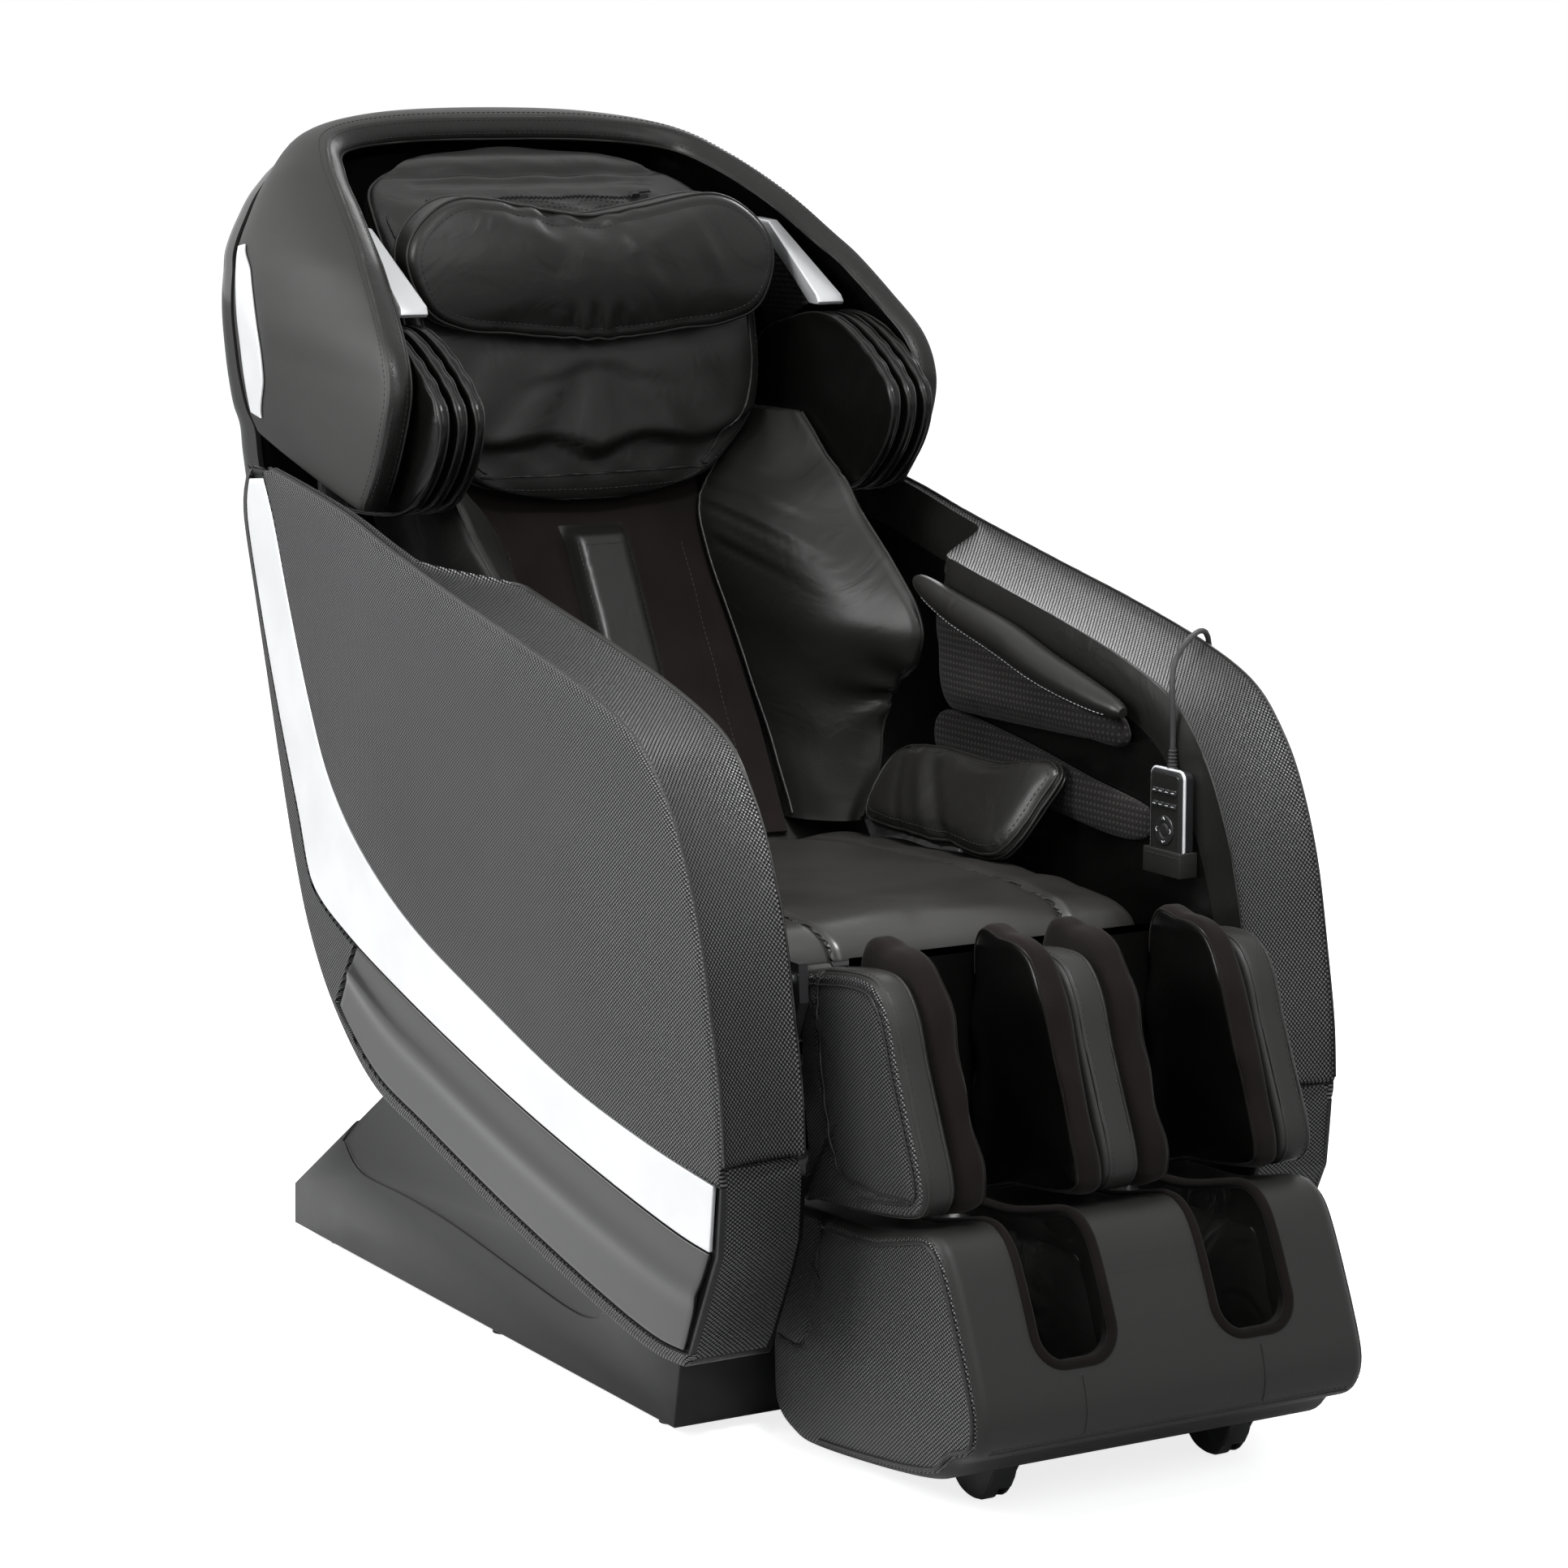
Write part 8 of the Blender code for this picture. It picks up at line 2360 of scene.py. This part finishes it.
def make_stage():
    scene = bpy.context.scene
    scene.view_settings.view_transform = "Standard"
    world = bpy.data.worlds.new("studio") if not scene.world else scene.world
    scene.world = world
    world.use_nodes = True
    wiring = Wiring(world.node_tree)
    world.node_tree.nodes.clear()
    path = wiring.add("ShaderNodeLightPath")
    seen = wiring.maths("MAXIMUM", path.outputs["Is Camera Ray"],
                        wiring.maths("MAXIMUM", path.outputs["Is Glossy Ray"],
                                     path.outputs["Is Transmission Ray"]))
    mix = wiring.add("ShaderNodeMixShader")
    wiring.feed(mix.inputs[0], seen)
    for number, colour, strength in ((1, (0.92, 0.94, 0.97, 1.0), 0.30), (2, (1.0, 1.0, 1.0, 1.0), 1.0)):
        glow = wiring.add("ShaderNodeBackground")
        wiring.feed(glow.inputs["Color"], colour)
        wiring.feed(glow.inputs["Strength"], strength)
        wiring.feed(mix.inputs[number], glow.outputs[0])
    wiring.feed(wiring.add("ShaderNodeOutputWorld").inputs["Surface"], mix.outputs[0])

    bpy.ops.object.select_all(action="DESELECT")
    bpy.ops.mesh.primitive_plane_add(size=120.0, location=(0.0, 0.0, -0.0006))
    floor = bpy.context.active_object
    floor.name = "studio_floor"
    paint = bpy.data.materials.new("studio floor")
    paint.use_nodes = True
    wiring = Wiring(paint.node_tree)
    shader = paint.node_tree.nodes["Principled BSDF"]
    shader.inputs["Base Color"].default_value = (0.90, 0.90, 0.90, 1.0)
    shader.inputs["Roughness"].default_value = 0.7
    path = wiring.add("ShaderNodeLightPath")
    glow = wiring.blend(path.outputs["Is Camera Ray"], (0.0, 0.0, 0.0, 1.0), (0.80, 0.80, 0.80, 1.0))
    wiring.feed(shader.inputs["Emission Color"], glow)
    shader.inputs["Emission Strength"].default_value = 1.0
    floor.data.materials.append(paint)

    for name, place, size, power, aim, spread in LAMPS:
        lamp = bpy.data.lights.new(name, "AREA")
        lamp.shape = "RECTANGLE"
        lamp.size, lamp.size_y = size
        lamp.energy = power
        if spread:
            lamp.spread = math.radians(spread)
        holder = bpy.data.objects.new(name, lamp)
        bpy.context.collection.objects.link(holder)
        holder.location = place
        holder.rotation_euler = (Vector(aim) - Vector(place)).to_track_quat("-Z", "Y").to_euler()

    lens = bpy.data.cameras.new("camera")
    lens.lens = LENS
    lens.sensor_width = 36.0
    eye = bpy.data.objects.new("camera", lens)
    bpy.context.collection.objects.link(eye)
    eye.location = EYE_AT
    eye.rotation_euler = (EYE_PITCH, 0.0, EYE_YAW)
    scene.camera = eye


# ---------------------------------------------------------------- operators
class BuildStage(bpy.types.Operator):
    """Sets the floor, the background, the lamps and the camera."""

    bl_idname = "chair.build_stage"
    bl_label = "Stage"

    def execute(self, context):
        make_stage()
        return {"FINISHED"}


class BuildFinishes(bpy.types.Operator):
    """Makes the finishes, and gives them to the frame's own pieces."""

    bl_idname = "chair.build_finishes"
    bl_label = "Finishes"

    def execute(self, context):
        make_finishes(context.scene.chair_look)
        finish_frame()
        return {"FINISHED"}


class BuildCord(bpy.types.Operator):
    """Lays the handset's cord over the arm."""

    bl_idname = "chair.build_cord"
    bl_label = "Handset cord"

    def execute(self, context):
        make_cord()
        return {"FINISHED"}


class BuildArms(bpy.types.Operator):
    """Upholsters the arms, and lays their silver stripes and gloss lower panels."""

    bl_idname = "chair.build_arms"
    bl_label = "Arms"

    def execute(self, context):
        arm = ArmSide()
        for word, side in SIDES:
            skin = make_arm(arm, word, side)
            arm_seams(arm, word, side, skin)
            arm_trim(arm, word, side)
        return {"FINISHED"}


class BuildHood(bpy.types.Operator):
    """Makes the leather hood with its stitched rim, and the shell behind the back."""

    bl_idname = "chair.build_hood"
    bl_label = "Hood and back shell"

    def execute(self, context):
        make_hood()
        make_back_cover()
        return {"FINISHED"}


class BuildBackrest(bpy.types.Operator):
    """Makes the lining, neck pad, pillow, back wings, shoulder airbags and speakers."""

    bl_idname = "chair.build_backrest"
    bl_label = "Backrest"

    def execute(self, context):
        make_centre_pad()
        make_neck_pad()
        make_pillow()
        make_back_wings()
        make_airbags()
        make_speakers()
        return {"FINISHED"}


class BuildSeat(bpy.types.Operator):
    """Makes the seat cushion, the hip pads and the pads inside the arms."""

    bl_idname = "chair.build_seat"
    bl_label = "Seat and side pads"

    def execute(self, context):
        make_seat()
        make_side_pads()
        return {"FINISHED"}


class BuildLegRest(bpy.types.Operator):
    """Makes the calf rest with its pads, and the foot box with its wells and casters."""

    bl_idname = "chair.build_leg_rest"
    bl_label = "Leg and foot rest"

    def execute(self, context):
        make_calf_rest()
        make_calf_pads()
        make_foot_rest()
        make_well_linings()
        make_foot_fittings()
        return {"FINISHED"}


class BuildBase(bpy.types.Operator):
    """Makes the base shroud and the cloth behind the seat."""

    bl_idname = "chair.build_base"
    bl_label = "Base"

    def execute(self, context):
        make_base()
        make_seat_gusset()
        return {"FINISHED"}


class BuildHandset(bpy.types.Operator):
    """Makes the handset, its keys and its pocket."""

    bl_idname = "chair.build_handset"
    bl_label = "Handset"

    def execute(self, context):
        make_handset()
        make_keys()
        make_pocket()
        return {"FINISHED"}


STEPS = (BuildFinishes, BuildCord, BuildArms, BuildHood, BuildBackrest, BuildSeat, BuildLegRest, BuildBase,
         BuildHandset, BuildStage)


class ChairPanel(bpy.types.Panel):
    """Lists the chair's colours and sizes and the steps that build it."""

    bl_idname = "VIEW3D_PT_massage_chair"
    bl_label = "Massage chair"
    bl_space_type = "VIEW_3D"
    bl_region_type = "UI"
    bl_category = "Chair"

    def draw(self, context):
        look = context.scene.chair_look
        for name in ChairLook.__annotations__:
            self.layout.prop(look, name)
        for step in STEPS:
            self.layout.operator(step.bl_idname)


CLASSES = (ChairLook,) + STEPS + (ChairPanel,)


def register():
    for kind in CLASSES:
        bpy.utils.register_class(kind)
    bpy.types.Scene.chair_look = PointerProperty(type=ChairLook)


def unregister():
    del bpy.types.Scene.chair_look
    for kind in reversed(CLASSES):
        bpy.utils.unregister_class(kind)


def main():
    register()
    for step in STEPS:
        group, name = step.bl_idname.split(".")
        getattr(getattr(bpy.ops, group), name)()


if __name__ == "__main__":
    main()
